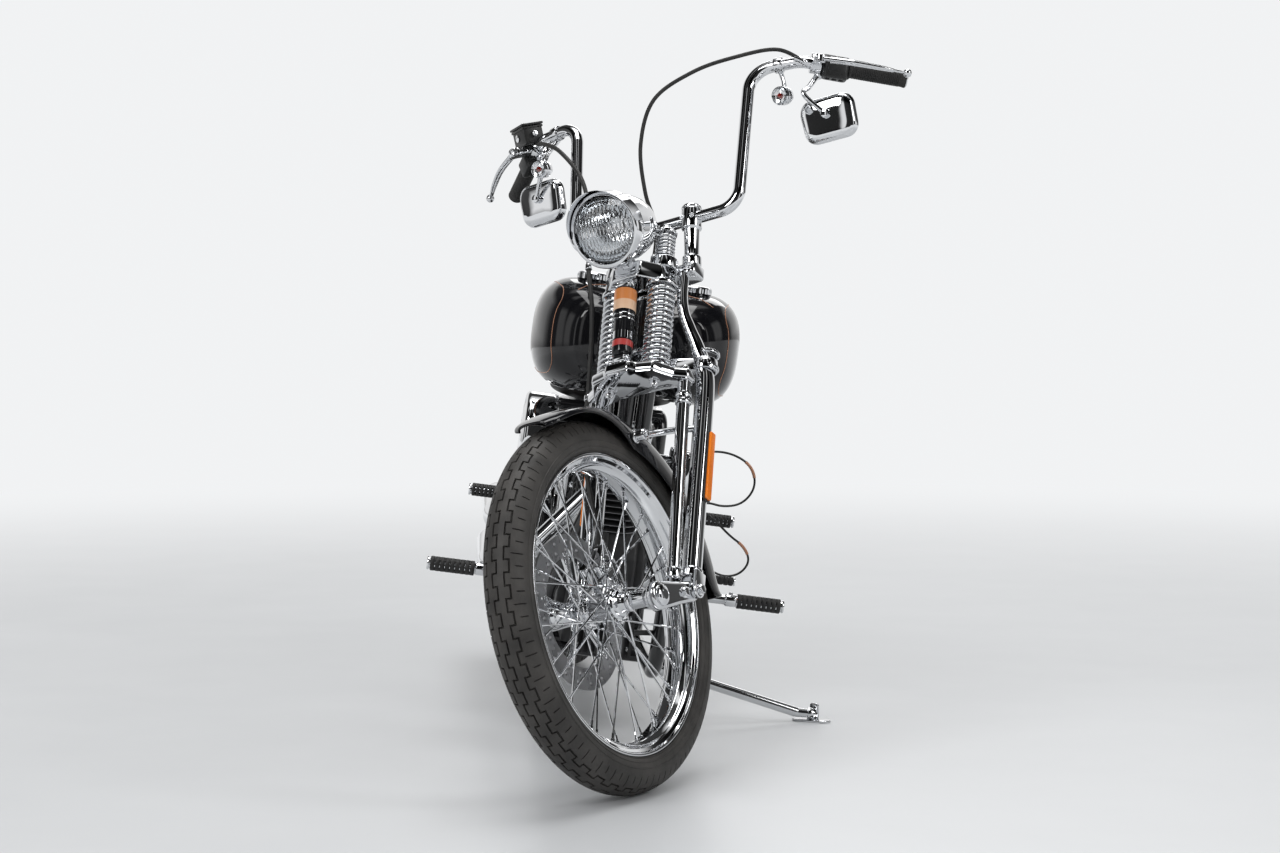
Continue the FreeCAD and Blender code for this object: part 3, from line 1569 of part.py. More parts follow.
def regulator(chassis):
    middle = V(0, regulator_y, regulator_z)
    plate = soft_block(middle, axis_x, axis_z, regulator_width, regulator_height, regulator_depth,
                       regulator_depth / 2)
    pieces = [plate]
    pitch = regulator_width / regulator_fin_count
    for i in range(regulator_fin_count):
        x = -regulator_width / 2 + pitch * (i + 0.5)
        at = V(x, regulator_y - regulator_depth / 2 - regulator_fin_depth / 2, regulator_z)
        pieces.append(block(at, axis_x, axis_y, fin_wall, regulator_fin_depth, regulator_height * 0.94))
    rear_y = down_tube_low_y - tube_radius
    for side in both_sides:
        start = V(side * regulator_width * 0.3, regulator_y, regulator_z)
        end = V(side * (rail_half - tube_radius - press_gap), rear_y + tube_radius * 2.2, regulator_z)
        pieces.append(rod(start, end, fin_wall * 1.4))
    return joined(pieces).cut(chassis)


def exhaust():
    pipes = []
    front_centre, front_up = cylinder_frame(-1)
    port = front_centre + front_up * (cylinder_base + cylinder_length + head_length * 0.45)
    ahead = V(0, -front_up.z, front_up.y)
    start = port + ahead * (fin_radius + press_gap) - V(pipe_radius, 0, 0)
    points = [
        start,
        start + ahead * (pipe_radius * 2.6),
        V(-rail_half - pipe_radius * 2, crank_y - case_radius * 1.7, crank_z + case_radius * 0.2),
        V(-muffler_x, crank_y - case_radius * 0.6, muffler_low_z),
        V(-muffler_x, muffler_start_y, muffler_low_z),
    ]
    pipes.append(bent_bar(points, [pipe_radius * 1.6, pipe_radius * 3.6, pipe_radius * 3], pipe_radius))
    rear_centre, rear_up = cylinder_frame(1)
    port = rear_centre + rear_up * (cylinder_base + cylinder_length + head_length * 0.45)
    back = V(0, rear_up.z, -rear_up.y)
    start = port + back * (fin_radius + press_gap) - V(pipe_radius * 1.4, 0, 0)
    points = [
        start,
        start + back * (pipe_radius * 2.2),
        V(-muffler_x, crank_y + case_radius * 2.1, crank_z + case_radius),
        V(-muffler_x, muffler_start_y + pipe_radius * 2, muffler_high_z),
    ]
    pipes.append(bent_bar(points, [pipe_radius * 1.5, pipe_radius * 2], pipe_radius))
    whole = []
    for pipe, can in zip(pipes, mufflers()):
        whole.append(joined([pipe, can]))
    return group(whole)


def mufflers():
    cans = []
    for start, end, z in (
        (muffler_start_y, muffler_low_end_y, muffler_low_z),
        (muffler_start_y + pipe_radius * 2, muffler_high_end_y, muffler_high_z),
    ):
        length = end - start
        outline_shares = (
            (0.0, 0.0), (0.0, 0.56), (0.06, 0.62), (0.22, 1.0), (0.9, 1.0), (1.0, 0.9), (1.0, 0.7),
            (0.93, 0.7), (0.93, 0.0),
        )
        points = []
        for along, out in outline_shares:
            points.append((length * along, muffler_radius * out))
        cans.append(turned(points, V(-muffler_x, start, z), axis_y, axis_x))
    return cans


def fuel_tanks():
    station_shares = (0.0, 0.03, 0.1, 0.25, 0.45, 0.65, 0.82, 0.94, 1.0)
    width_shares = (0.3, 0.55, 0.8, 0.97, 1.0, 0.92, 0.76, 0.56, 0.36)
    height_shares = (0.34, 0.58, 0.82, 0.98, 1.0, 0.9, 0.7, 0.5, 0.34)
    drop_shares = (0.0, 0.0, 0.0, 0.0, 0.0, 0.04, 0.1, 0.16, 0.2)
    length = tank_rear_y - tank_front_y
    inner = tank_lobe_x - tank_lobe_half
    rings = []
    for along, wide, high, drop in zip(station_shares, width_shares, height_shares, drop_shares):
        half = tank_lobe_half * wide
        lean_in_share = 0.35
        x = inner + half + (tank_lobe_half - half) * lean_in_share
        middle = V(x, tank_front_y + length * along, tank_middle_z - tank_half_height * drop)
        rings.append(oval(middle, half, tank_half_height * high, tank_roundness, tank_section_count))
    lobe = Part.makeLoft(rings, True, False)
    return group(pair(lobe.cut(spine(backbone_radius + press_gap))))


def filler_caps():
    caps = []
    for side in both_sides:
        base = V(side * cap_x, cap_y, tank_middle_z + tank_half_height - cap_height / 2)
        outline_shares = ((0.0, 0.0), (0.0, 0.86), (0.3, 1.0), (0.8, 0.97), (1.0, 0.7), (1.0, 0.0))
        points = []
        for along, out in outline_shares:
            points.append((cap_height * 1.4 * along, cap_radius * out))
        caps.append(turned(points, base, axis_z, axis_x))
    return caps


# Console between the tank halves, its gauge, and the filler caps
def tank_console(tanks):
    top = tank_middle_z + tank_half_height
    station_shares = (0.0, 0.1, 0.5, 0.9, 1.0)
    width_shares = (0.5, 0.9, 1.0, 0.8, 0.4)
    start = tank_front_y + tank_lobe_half
    length = tank_rear_y - start - tank_lobe_half / 2
    rings = []
    for along, wide in zip(station_shares, width_shares):
        middle = V(0, start + length * along, top - console_height * 0.2 - console_height * along)
        rings.append(oval(middle, console_half * wide, console_height * wide * 0.8,
                          console_roundness, console_section_count))
    body = Part.makeLoft(rings, True, False)
    base = V(0, start + length * 0.34, top - console_height * 0.4)
    gauge = turned([
        (0, 0), (0, gauge_radius * 0.94), (gauge_height * 0.6, gauge_radius),
        (gauge_height, gauge_radius * 0.96), (gauge_height, 0),
    ], base, V(0, 0.16, 1), axis_x)
    pieces = [joined([body, gauge]).cut(tanks)]
    for cap in filler_caps():
        pieces.append(cap.cut(tanks))
    return group(pieces)


def seat(chassis):
    station_shares = (0.0, 0.05, 0.2, 0.38, 0.56, 0.76, 0.94, 1.0)
    width_shares = (0.22, 0.34, 0.54, 0.8, 1.0, 0.98, 0.74, 0.62)
    low_shares = (0.74, 0.72, 0.56, 0.3, 0.0, 0.0, 0.0, 0.04)
    top_shares = (0.86, 0.96, 0.86, 0.6, 0.42, 0.46, 0.86, 0.92)
    length = seat_rear_y - seat_front_y
    span = seat_high_z - seat_low_z
    rings = []
    for along, wide, low, top in zip(station_shares, width_shares, low_shares, top_shares):
        bottom = seat_low_z + span * low
        height = seat_low_z + span * top - bottom
        middle = V(0, seat_front_y + length * along, bottom + height / 2)
        rings.append(oval(middle, seat_half * wide, height / 2, seat_roundness, seat_section_count))
    return Part.makeLoft(rings, True, False).cut(chassis)


def pillion(cover):
    station_shares = (0.0, 0.06, 0.3, 0.7, 0.94, 1.0)
    width_shares = (0.9, 1.0, 1.0, 0.94, 0.8, 0.5)
    low_shares = (0.2, 0.2, 0.25, 0.38, 0.5, 0.54)
    top_shares = (1.0, 1.06, 1.12, 1.16, 1.1, 0.98)
    start = seat_rear_y + press_gap
    length = pillion_rear_y - start
    rings = []
    for along, wide, low, top in zip(station_shares, width_shares, low_shares, top_shares):
        bottom = seat_low_z + pillion_rise * low * 0.4
        height = seat_low_z + pillion_rise * top - bottom
        middle = V(0, start + length * along, bottom + height / 2)
        rings.append(oval(middle, pillion_half * wide, height / 2, seat_roundness, seat_section_count))
    return Part.makeLoft(rings, True, False).cut(cover)


def rear_fender():
    inner = rear_tyre_radius + rear_fender_gap
    return fender(rear_axle, inner, rear_fender_half, rear_fender_depth, rear_fender_start, rear_fender_end)


def fender_struts(chassis):
    struts = []
    inner = rear_rail_half + tube_radius + press_gap
    half = strut_height / 2
    outline = [
        (rear_rail_y - tube_bend / 2, post_z - half * 0.8), (rear_rail_y + tube_bend, post_z - half * 1.1),
        (strut_rear_y - half, post_z - half * 4.4), (strut_rear_y, post_z - half * 4.0),
        (strut_rear_y - half, post_z - half * 2.6), (rack_hole_y, post_z + half * 0.5),
        (rear_rail_y + tube_bend, post_z + half * 0.8), (rear_rail_y - tube_bend / 2, post_z + half * 0.8),
    ]
    for side in both_sides:
        pieces = [side_plate(outline, side * inner, side * (inner + strut_wall), half / 2)]
        for along_share in (0.3, 0.72):
            y = rear_rail_y + (strut_rear_y - rear_rail_y) * along_share
            z = post_z - half * (1 + 2.6 * along_share ** 2)
            start = V(side * (rear_fender_half + fender_wall + press_gap), y, z)
            pieces.append(rod(start, V(side * (inner + strut_wall / 2), y, z), pushrod_radius))
        low = V(side * rear_fender_half, rack_hole_y, post_z - half / 2)
        hole = Part.makeCylinder(rack_hole_radius, strut_wall * 8, low, V(side, 0, 0))
        struts.append(joined(pieces).cut(hole).cut(chassis))
    return struts


def oil_tank(chassis):
    middle = V(0, oil_tank_y, (oil_tank_low + oil_tank_high) / 2)
    body = soft_block(middle, axis_x, axis_y, oil_tank_half * 2, oil_tank_depth,
                      oil_tank_high - oil_tank_low, oil_tank_depth * 0.4)
    return body.cut(chassis)


def tail_lamp():
    turn = math.radians(rear_fender_end - 40.0)
    inner = rear_tyre_radius + rear_fender_gap + fender_wall + press_gap
    out = V(0, -math.cos(turn), math.sin(turn))
    base = rear_axle + out * inner
    lamp = turned([
        (0, 0), (0, tail_lamp_radius), (tail_lamp_length * 0.7, tail_lamp_radius),
        (tail_lamp_length, tail_lamp_radius * 0.7), (tail_lamp_length, 0),
    ], base, out, axis_x)
    return lamp


def number_plate():
    turn = math.radians(rear_fender_end - 12.0)
    inner = rear_tyre_radius + rear_fender_gap + fender_wall + press_gap
    out = V(0, -math.cos(turn), math.sin(turn))
    along = V(0, -out.z, out.y)
    middle = rear_axle + out * (inner + belt_wall)
    plate = soft_block(middle, axis_x, along, plate_width, plate_height, fender_wall, plate_height * 0.08)
    stem = rod(rear_axle + out * inner, middle, pushrod_radius)
    return joined([plate, stem])


def swing_arm():
    cross = rod(V(-arm_place, pivot_y, pivot_z), V(arm_place, pivot_y, pivot_z), arm_radius * 1.5)
    pieces = [cross]
    for side in both_sides:
        x = side * arm_place
        low = V(x, pivot_y, pivot_z)
        high = V(x, arm_top_y, arm_top_z)
        end = V(x, rear_axle.y, rear_axle.z)
        pieces.append(rod(low, end, arm_radius))
        pieces.append(rod(high, end, arm_radius * 0.9))
        pieces.append(rod(low, high, arm_radius * 0.9))
        boss = V(x - axle_plate_wall / 2, end.y, end.z)
        pieces.append(Part.makeCylinder(axle_plate_radius, axle_plate_wall, boss, axis_x))
    return cross.multiFuse(pieces[1:] + rear_axle_bar())


def rear_axle_bar():
    reach = arm_place + arm_radius * 2
    pieces = [rod(rear_axle - V(reach, 0, 0), rear_axle + V(reach, 0, 0), rear_axle_radius)]
    starts = {1: rear_hub_half + 2 * press_gap, -1: rear_disc_place + disc_wall / 2 + 2 * press_gap}
    for side in both_sides:
        start = rear_axle + V(side * starts[side], 0, 0)
        pieces.append(rod(start, rear_axle + V(side * arm_place, 0, 0), rear_axle_radius * 1.6))
        nut = rear_axle + V(side * arm_place, 0, 0)
        pieces.append(rod(nut, rear_axle + V(side * reach, 0, 0), rear_axle_radius * 1.7))
    return pieces


def peg(inner, length, radius):
    rib = radius * 0.3
    pieces = [rod(inner, inner + V(length, 0, 0), radius - rib / 2)]
    pitch = length / peg_rib_count
    for i in range(peg_rib_count):
        start = inner + V(pitch * (i + 0.2), 0, 0)
        pieces.append(rod(start, start + V(pitch * 0.6, 0, 0), radius))
    return joined(pieces)


# Brackets, pedal and shift lever of the forward controls
def foot_controls(chassis):
    pieces = []
    for side in both_sides:
        mount = V(side * (rail_half + tube_radius + press_gap), peg_y, peg_z)
        inner = V(side * (peg_inner_x - press_gap), peg_y, peg_z)
        foot = V(side * (rail_half + tube_radius + press_gap), down_tube_low_y, down_tube_low_z)
        bracket = soft_block((mount + foot) * 0.5 + V(side * pedal_wall / 2, 0, 0), axis_y, axis_z,
                             peg_y - down_tube_low_y + tube_radius * 3, tube_radius * 3, pedal_wall, pedal_wall)
        arm = rod(mount, inner, peg_radius * 0.7)
        pivot = mount + V(side * pedal_wall * 3, 0, 0)
        ahead = pivot + V(side * tube_radius, -peg_length * 1.1, peg_length * 0.5)
        lever = rod(pivot, ahead, pedal_wall * 0.8)
        toe = rod(ahead, ahead + V(side * peg_length * 0.7, 0, 0), pedal_wall)
        pieces.append(joined([bracket, arm, lever, toe]).cut(chassis))
    return pieces


def foot_pegs():
    front = peg(V(peg_inner_x, peg_y, peg_z), peg_length, peg_radius)
    rear = peg(V(passenger_peg_x, passenger_peg_y, passenger_peg_z), peg_length * 0.9, peg_radius * 0.95)
    return group(pair(front) + pair(rear))


def passenger_mounts(chassis):
    posts = []
    for side in both_sides:
        start = V(side * rail_half, rail_rear_y + tube_radius, passenger_peg_z)
        end = V(side * (passenger_peg_x - press_gap), passenger_peg_y, passenger_peg_z)
        knee = end - V(side * peg_radius * 2, 0, 0)
        posts.append(bent_bar([start, knee, end], [peg_radius], peg_radius * 0.6).cut(chassis))
    return posts


# How the upright motorcycle is turned and moved to stand parked
def lowest(rotation, centre, axle, radius, width):
    middle = rotation.multVec(centre)
    line = rotation.multVec(axle)
    crown = width / 2
    return middle.z - (radius - crown) * math.sqrt(1 - line.z ** 2) - crown


def steer_placement(angle):
    turn = FreeCAD.Rotation(steering_axis, angle)
    pivot = head(0, 0, 0)
    return FreeCAD.Placement(pivot - turn.multVec(pivot), turn)


def park_rotation():
    steer = steer_placement(-steer_rest)
    centre = steer.multVec(front_axle)
    axle = steer.Rotation.multVec(axis_x)
    pitch = 0.0
    for step in range(6):
        rotation = FreeCAD.Rotation(axis_x, pitch).multiply(FreeCAD.Rotation(axis_y, lean))
        front = lowest(rotation, centre, axle, front_tyre_radius, front_tyre_width)
        rear = lowest(rotation, rear_axle, axis_x, rear_tyre_radius, rear_tyre_width)
        pitch = pitch + math.degrees(math.atan((front - rear) / wheelbase))
    return rotation, front


def park_placement():
    rotation, low = park_rotation()
    return FreeCAD.Placement(V(0, 0, -low), rotation)


def stand_pivot():
    return park_placement().multVec(V(stand_pivot_x, stand_pivot_y, stand_pivot_z))


# Side stand, built as it stands on the floor
def side_stand():
    pivot = stand_pivot()
    floor = V(stand_foot_x, stand_foot_y, stand_plate_wall + stand_radius)
    knee = pivot + (floor - pivot) * 0.9
    knee.z = stand_plate_wall + stand_radius * 1.3
    leg = bent_bar([pivot, knee, floor], [stand_radius * 3], stand_radius)
    eye = Part.makeSphere(stand_radius * 1.5, pivot)
    toe = V(0.82, -0.57, 0)
    across = V(0.57, 0.82, 0)
    middle = V(stand_foot_x, stand_foot_y, stand_plate_wall / 2)
    plate = soft_block(middle, toe, across, stand_plate_length, stand_plate_width, stand_plate_wall,
                       stand_plate_wall * 2)
    tab_middle = middle + across * (stand_plate_width * 0.4) + V(0, 0, stand_tab_height / 2)
    tab = block(tab_middle, toe, V(0, 0, 1), stand_plate_wall * 4, stand_tab_height, stand_plate_wall)
    return joined([leg, eye, plate, tab])


def stand_bracket():
    pivot = V(stand_pivot_x, stand_pivot_y, stand_pivot_z)
    reach = stand_radius * 1.5 + press_gap * 3
    top = soft_block(pivot + V(-reach / 2, 0, reach + stand_plate_wall / 2), axis_x, axis_y, reach * 3,
                     stand_plate_width, stand_plate_wall, stand_plate_wall)
    return top


def wire_points(route):
    points = []
    for x, y, z in route:
        points.append(V(x, y, z))
    return points


def loose_wire(route):
    points = wire_points(route)
    return bent_bar(points, even_bends(points), wire_radius)


def fork_nodes():
    bar = handlebar()
    controls = hand_controls(bar)
    tree = upper_tree()
    leg = rigid_leg()
    legs = pair(leg)
    stay = fender_stay()
    spring_fork = joined([spring_leg(), mirrored(spring_leg()), spring_bridge()])
    return {
        "fork_rear_legs": group(pair(joined([leg, stay]))),
        "fork_upper_tree": tree,
        "fork_lower_tree": lower_tree(legs),
        "spring_fork": spring_fork,
        "fork_springs": group(main_springs() + rebound_springs()),
        "fork_shock": shock(),
        "rockers": rockers(),
        "front_caliper": front_caliper(legs[1]),
        "front_fender": front_fender(),
        "fork_reflectors": group(fork_reflectors()),
        "headlamp_shell": headlamp_shell(tree),
        "headlamp_lens": headlamp_lens(),
        "handlebar": bar,
        "risers": risers(bar, tree),
        "grips": grips(),
        "hand_controls": controls,
        "hand_levers": levers(),
        "mirrors": mirrors(controls),
        "bar_lamps": group(pair(bar_lamp(bar))),
        "bar_lamp_lenses": group(pair(bar_lamp_lens())),
        "control_cables": group([clutch_cable(), brake_hose()]),
    }


def front_wheel_nodes():
    front_hub = hub_outline(front_hub_half, front_hub_barrel_radius, front_hub_flange_radius,
                            front_hub_flange_half, front_axle_radius)
    return {
        "front_tyre": tyre(front_axle, front_tyre_radius, front_tyre_width, front_flange_radius,
                           front_bead_radius, front_rim_width),
        "front_rim": rim(front_axle, front_flange_radius, front_bead_radius, front_rim_width),
        "front_hub": laced_hub(front_axle, front_hub, front_hub_flange_radius, front_hub_flange_half,
                               front_bead_radius - rim_well_depth),
        "front_disc": brake_disc(front_axle, -front_disc_place, front_axle_radius + 2 * press_gap),
    }


def rear_wheel_nodes():
    rear_hub = hub_outline(rear_hub_half, rear_hub_barrel_radius, rear_hub_flange_radius,
                           rear_hub_flange_half, rear_axle_radius)
    return {
        "rear_tyre": tyre(rear_axle, rear_tyre_radius, rear_tyre_width, rear_flange_radius,
                          rear_bead_radius, rear_rim_width),
        "rear_rim": rim(rear_axle, rear_flange_radius, rear_bead_radius, rear_rim_width),
        "rear_hub": laced_hub(rear_axle, rear_hub, rear_hub_flange_radius, rear_hub_flange_half,
                              rear_bead_radius - rim_well_depth),
        "rear_disc": brake_disc(rear_axle, -rear_disc_place, rear_axle_radius + 2 * press_gap),
        "rear_pulley": rear_pulley(),
    }


def chassis_nodes():
    chassis = frame()
    cover = rear_fender()
    case = engine_case()
    barrels = cylinders(case)
    tanks = fuel_tanks()
    return {
        "frame": chassis,
        "engine_case": case,
        "cylinders": barrels,
        "rocker_boxes": rocker_boxes(),
        "cam_cover": group([cam_cover()] + pushrod_tubes()),
        "primary_cover": primary_cover(),
        "air_cleaner": air_cleaner(barrels),
        "horn_cover": horn_cover(barrels),
        "regulator": regulator(chassis),
        "exhaust": exhaust(),
        "fuel_tanks": tanks,
        "tank_console": tank_console(tanks),
        "seat": seat(chassis),
        "pillion": pillion(cover),
        "rear_fender": cover,
        "fender_struts": group(fender_struts(chassis)),
        "oil_tank": oil_tank(chassis),
        "tail_lamp": tail_lamp(),
        "number_plate": number_plate(),
        "swing_arm": swing_arm(),
        "rear_caliper": rear_caliper(),
        "drive_belt": drive_belt(),
        "foot_controls": group(foot_controls(chassis) + passenger_mounts(chassis)),
        "foot_pegs": foot_pegs(),
        "loose_wire_upper": loose_wire(wire_a_route),
        "loose_wire_lower": loose_wire(wire_b_route),
    }


def build_parts():
    park = park_placement()
    steered = park.multiply(steer_placement(-steer_rest))
    shapes = {}
    for nodes, placement in (
        (fork_nodes(), steered), (front_wheel_nodes(), steered),
        (rear_wheel_nodes(), park), (chassis_nodes(), park),
    ):
        for name, shape in nodes.items():
            shapes[name] = placed(shape, placement)
    shapes["side_stand"] = side_stand()
    return shapes


def placed(shape, placement):
    moved = shape.copy()
    moved.Placement = placement.multiply(moved.Placement)
    return moved


def base_shift(shapes):
    whole = Part.makeCompound(list(shapes.values()))
    box = whole.optimalBoundingBox(False, False)
    return V(-(box.XMin + box.XMax) / 2, -(box.YMin + box.YMax) / 2, -box.ZMin)


def main():
    os.makedirs("parts", exist_ok=True)
    shapes = build_parts()
    shift = base_shift(shapes)
    for name, shape in shapes.items():
        shape.translate(shift)
        shape.exportStep("parts/" + name + ".step")
    return shapes, shift


if __name__ == "__main__":
    main()
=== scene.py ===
import bmesh
import bpy
import json
from math import asin, atan2, copysign, cos, degrees, exp, floor, hypot, pi, radians, sin, sqrt, tan, tau
from mathutils import Matrix, Vector


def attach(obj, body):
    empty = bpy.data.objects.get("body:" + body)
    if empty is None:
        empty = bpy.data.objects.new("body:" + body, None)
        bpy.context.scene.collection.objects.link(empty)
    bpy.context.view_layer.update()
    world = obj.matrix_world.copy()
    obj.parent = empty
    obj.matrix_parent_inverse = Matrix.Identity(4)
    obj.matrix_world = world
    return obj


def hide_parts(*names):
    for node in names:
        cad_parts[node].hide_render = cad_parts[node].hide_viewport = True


# Lengths are in millimetres until a piece is placed, when they become metres.
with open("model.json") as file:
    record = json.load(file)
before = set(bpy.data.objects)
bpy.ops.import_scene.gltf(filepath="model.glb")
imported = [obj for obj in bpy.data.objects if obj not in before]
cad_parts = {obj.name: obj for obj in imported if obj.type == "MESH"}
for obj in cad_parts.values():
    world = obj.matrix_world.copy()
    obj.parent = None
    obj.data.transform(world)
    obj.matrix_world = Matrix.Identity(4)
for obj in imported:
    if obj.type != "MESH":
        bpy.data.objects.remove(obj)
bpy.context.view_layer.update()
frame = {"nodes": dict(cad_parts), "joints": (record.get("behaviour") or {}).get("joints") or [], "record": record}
scene = bpy.context.scene

joints = {joint["name"]: joint for joint in frame["joints"]}
rakeSin = sin(radians(32))
rakeCos = cos(radians(32))


def vec(*values):
    return Vector(values)


xAxis, yAxis, zAxis = vec(1, 0, 0), vec(0, 1, 0), vec(0, 0, 1)


# Places of the upright motorcycle and of its turned fork, from the joints
def placesOfBike():
    steer = joints["steering"]
    across = Vector(joints["rear_wheel_spin"]["axis"]).normalized()
    up = Vector(steer["axis"]).normalized()
    ahead = across.cross(up)
    back = up * rakeSin - ahead * rakeCos
    high = up * rakeCos + ahead * rakeSin
    pivot = Vector(steer["pos_m"])
    bike = Matrix((across, back, high)).transposed().to_4x4()
    bike.translation = pivot + back * 0.137
    angle = across.angle(Vector(joints["front_wheel_spin"]["axis"]))
    spin = Matrix.Translation(pivot) @ Matrix.Rotation(-angle, 4, up) @ Matrix.Translation(-pivot)
    shrink = Matrix.Scale(0.001, 4)
    return bike @ shrink, spin @ bike @ shrink


bikePlace, forkPlace = placesOfBike()
placeOfBody = {"fork": forkPlace, "front_wheel": forkPlace, "stand": Matrix.Scale(0.001, 4)}
bodyOfNode = {node: body for body, nodes in frame["record"]["behaviour"]["bodies"].items() for node in nodes}
slotOfNode = {part["node"]: part["material_slot"] for part in frame["record"]["subparts"]}


# Point by its side, its height along the steering axis and its reach ahead of that axis
def head(x, s, v):
    return vec(x, -137 + s * rakeSin - v * rakeCos, s * rakeCos + v * rakeSin)


# Materials: each has colour variation, roughness variation and fine relief
def addNode(tree, kind, **values):
    node = tree.nodes.new("ShaderNode" + kind)
    for name, value in values.items():
        if name in node.inputs:
            node.inputs[name].default_value = value
        else:
            setattr(node, name, value)
    return node


def joinNodes(tree, *links):
    for source, output, target, socket in links:
        tree.links.new(source.outputs[output], target.inputs[socket])


def makeMaterial(name, color, other, rough, metallic=0, grain=60, relief=0.05, stretch=(1, 1, 1), coat=0,
        **sockets):
    material = bpy.data.materials.new(name)
    material.use_nodes = True
    tree = material.node_tree
    shader = tree.nodes["Principled BSDF"]
    place = addNode(tree, "TexCoord")
    mapping = addNode(tree, "Mapping", Scale=stretch)
    fine = addNode(tree, "TexNoise", Scale=grain, Detail=6)
    broad = addNode(tree, "TexNoise", Scale=grain / 12, Detail=3)
    ramp = addNode(tree, "ValToRGB")
    for element, tone, position in zip(ramp.color_ramp.elements, (color, other), (0.35, 0.7)):
        element.color = (*tone, 1)
        element.position = position
    spread = addNode(tree, "MapRange", **{"To Min": rough[0], "To Max": rough[1]})
    bump = addNode(tree, "Bump", Strength=relief, Distance=0.0004)
    joinNodes(tree, (place, "Object", mapping, "Vector"), (mapping, "Vector", fine, "Vector"),
        (mapping, "Vector", broad, "Vector"), (broad, "Fac", ramp, "Fac"), (fine, "Fac", spread, "Value"),
        (fine, "Fac", bump, "Height"), (ramp, "Color", shader, "Base Color"),
        (spread, "Result", shader, "Roughness"), (bump, "Normal", shader, "Normal"))
    shader.inputs["Metallic"].default_value = metallic
    shader.inputs["Coat Weight"].default_value = coat
    shader.inputs["Coat Roughness"].default_value = 0.03
    for socket, value in sockets.items():
        shader.inputs[socket.replace("_", " ")].default_value = value
    return material


chrome = makeMaterial("chrome", (0.70, 0.71, 0.73), (0.78, 0.79, 0.80), (0.02, 0.06), 1, 40, 0.01)
steel = makeMaterial("steel", (0.34, 0.34, 0.35), (0.46, 0.46, 0.47), (0.2, 0.4), 1, 220, 0.06, (1, 1, 0.06))
alloy = makeMaterial("alloy", (0.4, 0.4, 0.41), (0.5, 0.5, 0.52), (0.25, 0.45), 1, 160, 0.1)
gloss = makeMaterial("glossBlack", (0.004, 0.004, 0.005), (0.007, 0.007, 0.008), (0.06, 0.12), 0, 30, 0.01,
    coat=0.65, Specular_IOR_Level=0.08)
framePaint = makeMaterial("framePaint", (0.006, 0.006, 0.007), (0.012, 0.012, 0.013), (0.12, 0.22), 0, 60,
    0.03, coat=0.6)
engineBlack = makeMaterial("engineBlack", (0.01, 0.01, 0.011), (0.022, 0.022, 0.023), (0.35, 0.55), 0, 200,
    0.2)
plastic = makeMaterial("blackPlastic", (0.008, 0.008, 0.008), (0.016, 0.016, 0.016), (0.35, 0.5), 0, 400,
    0.15)
rubber = makeMaterial("rubber", (0.010, 0.010, 0.010), (0.022, 0.021, 0.020), (0.5, 0.7), 0, 300, 0.2)
tyreRubber = makeMaterial("tyreRubber", (0.026, 0.024, 0.022), (0.052, 0.048, 0.044), (0.5, 0.72), 0, 240,
    0.3)
leather = makeMaterial("leather", (0.010, 0.009, 0.009), (0.020, 0.018, 0.017), (0.35, 0.55), 0, 500, 0.5)
amber = makeMaterial("amberLens", (0.75, 0.16, 0.01), (0.9, 0.25, 0.02), (0.08, 0.16), 0, 80, 0.03, coat=0.6)
redLens = makeMaterial("redLens", (0.35, 0.01, 0.008), (0.5, 0.03, 0.01), (0.08, 0.16), 0, 80, 0.03, coat=0.6)
labelOrange = makeMaterial("labelOrange", (0.50, 0.15, 0.03), (0.64, 0.24, 0.06), (0.3, 0.4), 0, 90, 0.02,
    coat=0.5)
labelCream = makeMaterial("labelCream", (0.60, 0.34, 0.20), (0.70, 0.48, 0.32), (0.3, 0.4), 0, 90, 0.02,
    coat=0.5)
labelRed = makeMaterial("labelRed", (0.34, 0.02, 0.02), (0.44, 0.05, 0.04), (0.3, 0.4), 0, 90, 0.02, coat=0.5)
glass = makeMaterial("lampGlass", (0.92, 0.92, 0.92), (0.96, 0.96, 0.96), (0.02, 0.05), 0, 90, 0.02,
    Transmission_Weight=1, IOR=1.45)
silvered = makeMaterial("mirrorGlass", (0.80, 0.82, 0.84), (0.84, 0.86, 0.88), (0.01, 0.03), 1, 20, 0.004)
wire = makeMaterial("wire", (0.006, 0.006, 0.006), (0.014, 0.014, 0.013), (0.3, 0.45), 0, 300, 0.1)
copper = makeMaterial("copperStripe", (0.42, 0.20, 0.12), (0.52, 0.27, 0.17), (0.2, 0.3), 0.2, 200, 0.02)
dial = makeMaterial("dialFace", (0.008, 0.008, 0.009), (0.014, 0.014, 0.015), (0.3, 0.4), 0, 300, 0.03)
paleMark = makeMaterial("dialMarks", (0.70, 0.70, 0.66), (0.78, 0.78, 0.74), (0.4, 0.5), 0, 300, 0.02)

slotMaterials = {"black_paint": gloss, "frame_paint": framePaint, "chrome": chrome, "steel": steel,
    "engine_black": engineBlack, "alloy": alloy, "black_plastic": plastic, "rubber": rubber,
    "tyre": tyreRubber, "seat_leather": leather, "clear_glass": glass, "amber_lens": amber}
for nodeName, node in frame["nodes"].items():
    node.data.materials.clear()
    node.data.materials.append(slotMaterials[slotOfNode[nodeName]])
print("materials done")


# Mesh helpers: forms are drawn in millimetres and placed by a matrix.
# A piece takes its body from the node that it stands for.
def finishPiece(form, name, materials, node=None, sharp=35, place=None, slotName="chrome"):
    mesh = bpy.data.meshes.new(name)
    turnOut(form)
    form.to_mesh(mesh)
    form.free()
    body = bodyOfNode.get(node, "chassis")
    mesh.transform(place or placeOfBody.get(body, bikePlace))
    mesh.polygons.foreach_set("use_smooth", [True] * len(mesh.polygons))
    mesh.set_sharp_from_angle(angle=radians(sharp))
    for material in materials if isinstance(materials, list) else [materials]:
        mesh.materials.append(material)
    piece = linkObject(name, mesh)
    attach(piece, body)
    if node:
        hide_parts(node)
    return piece


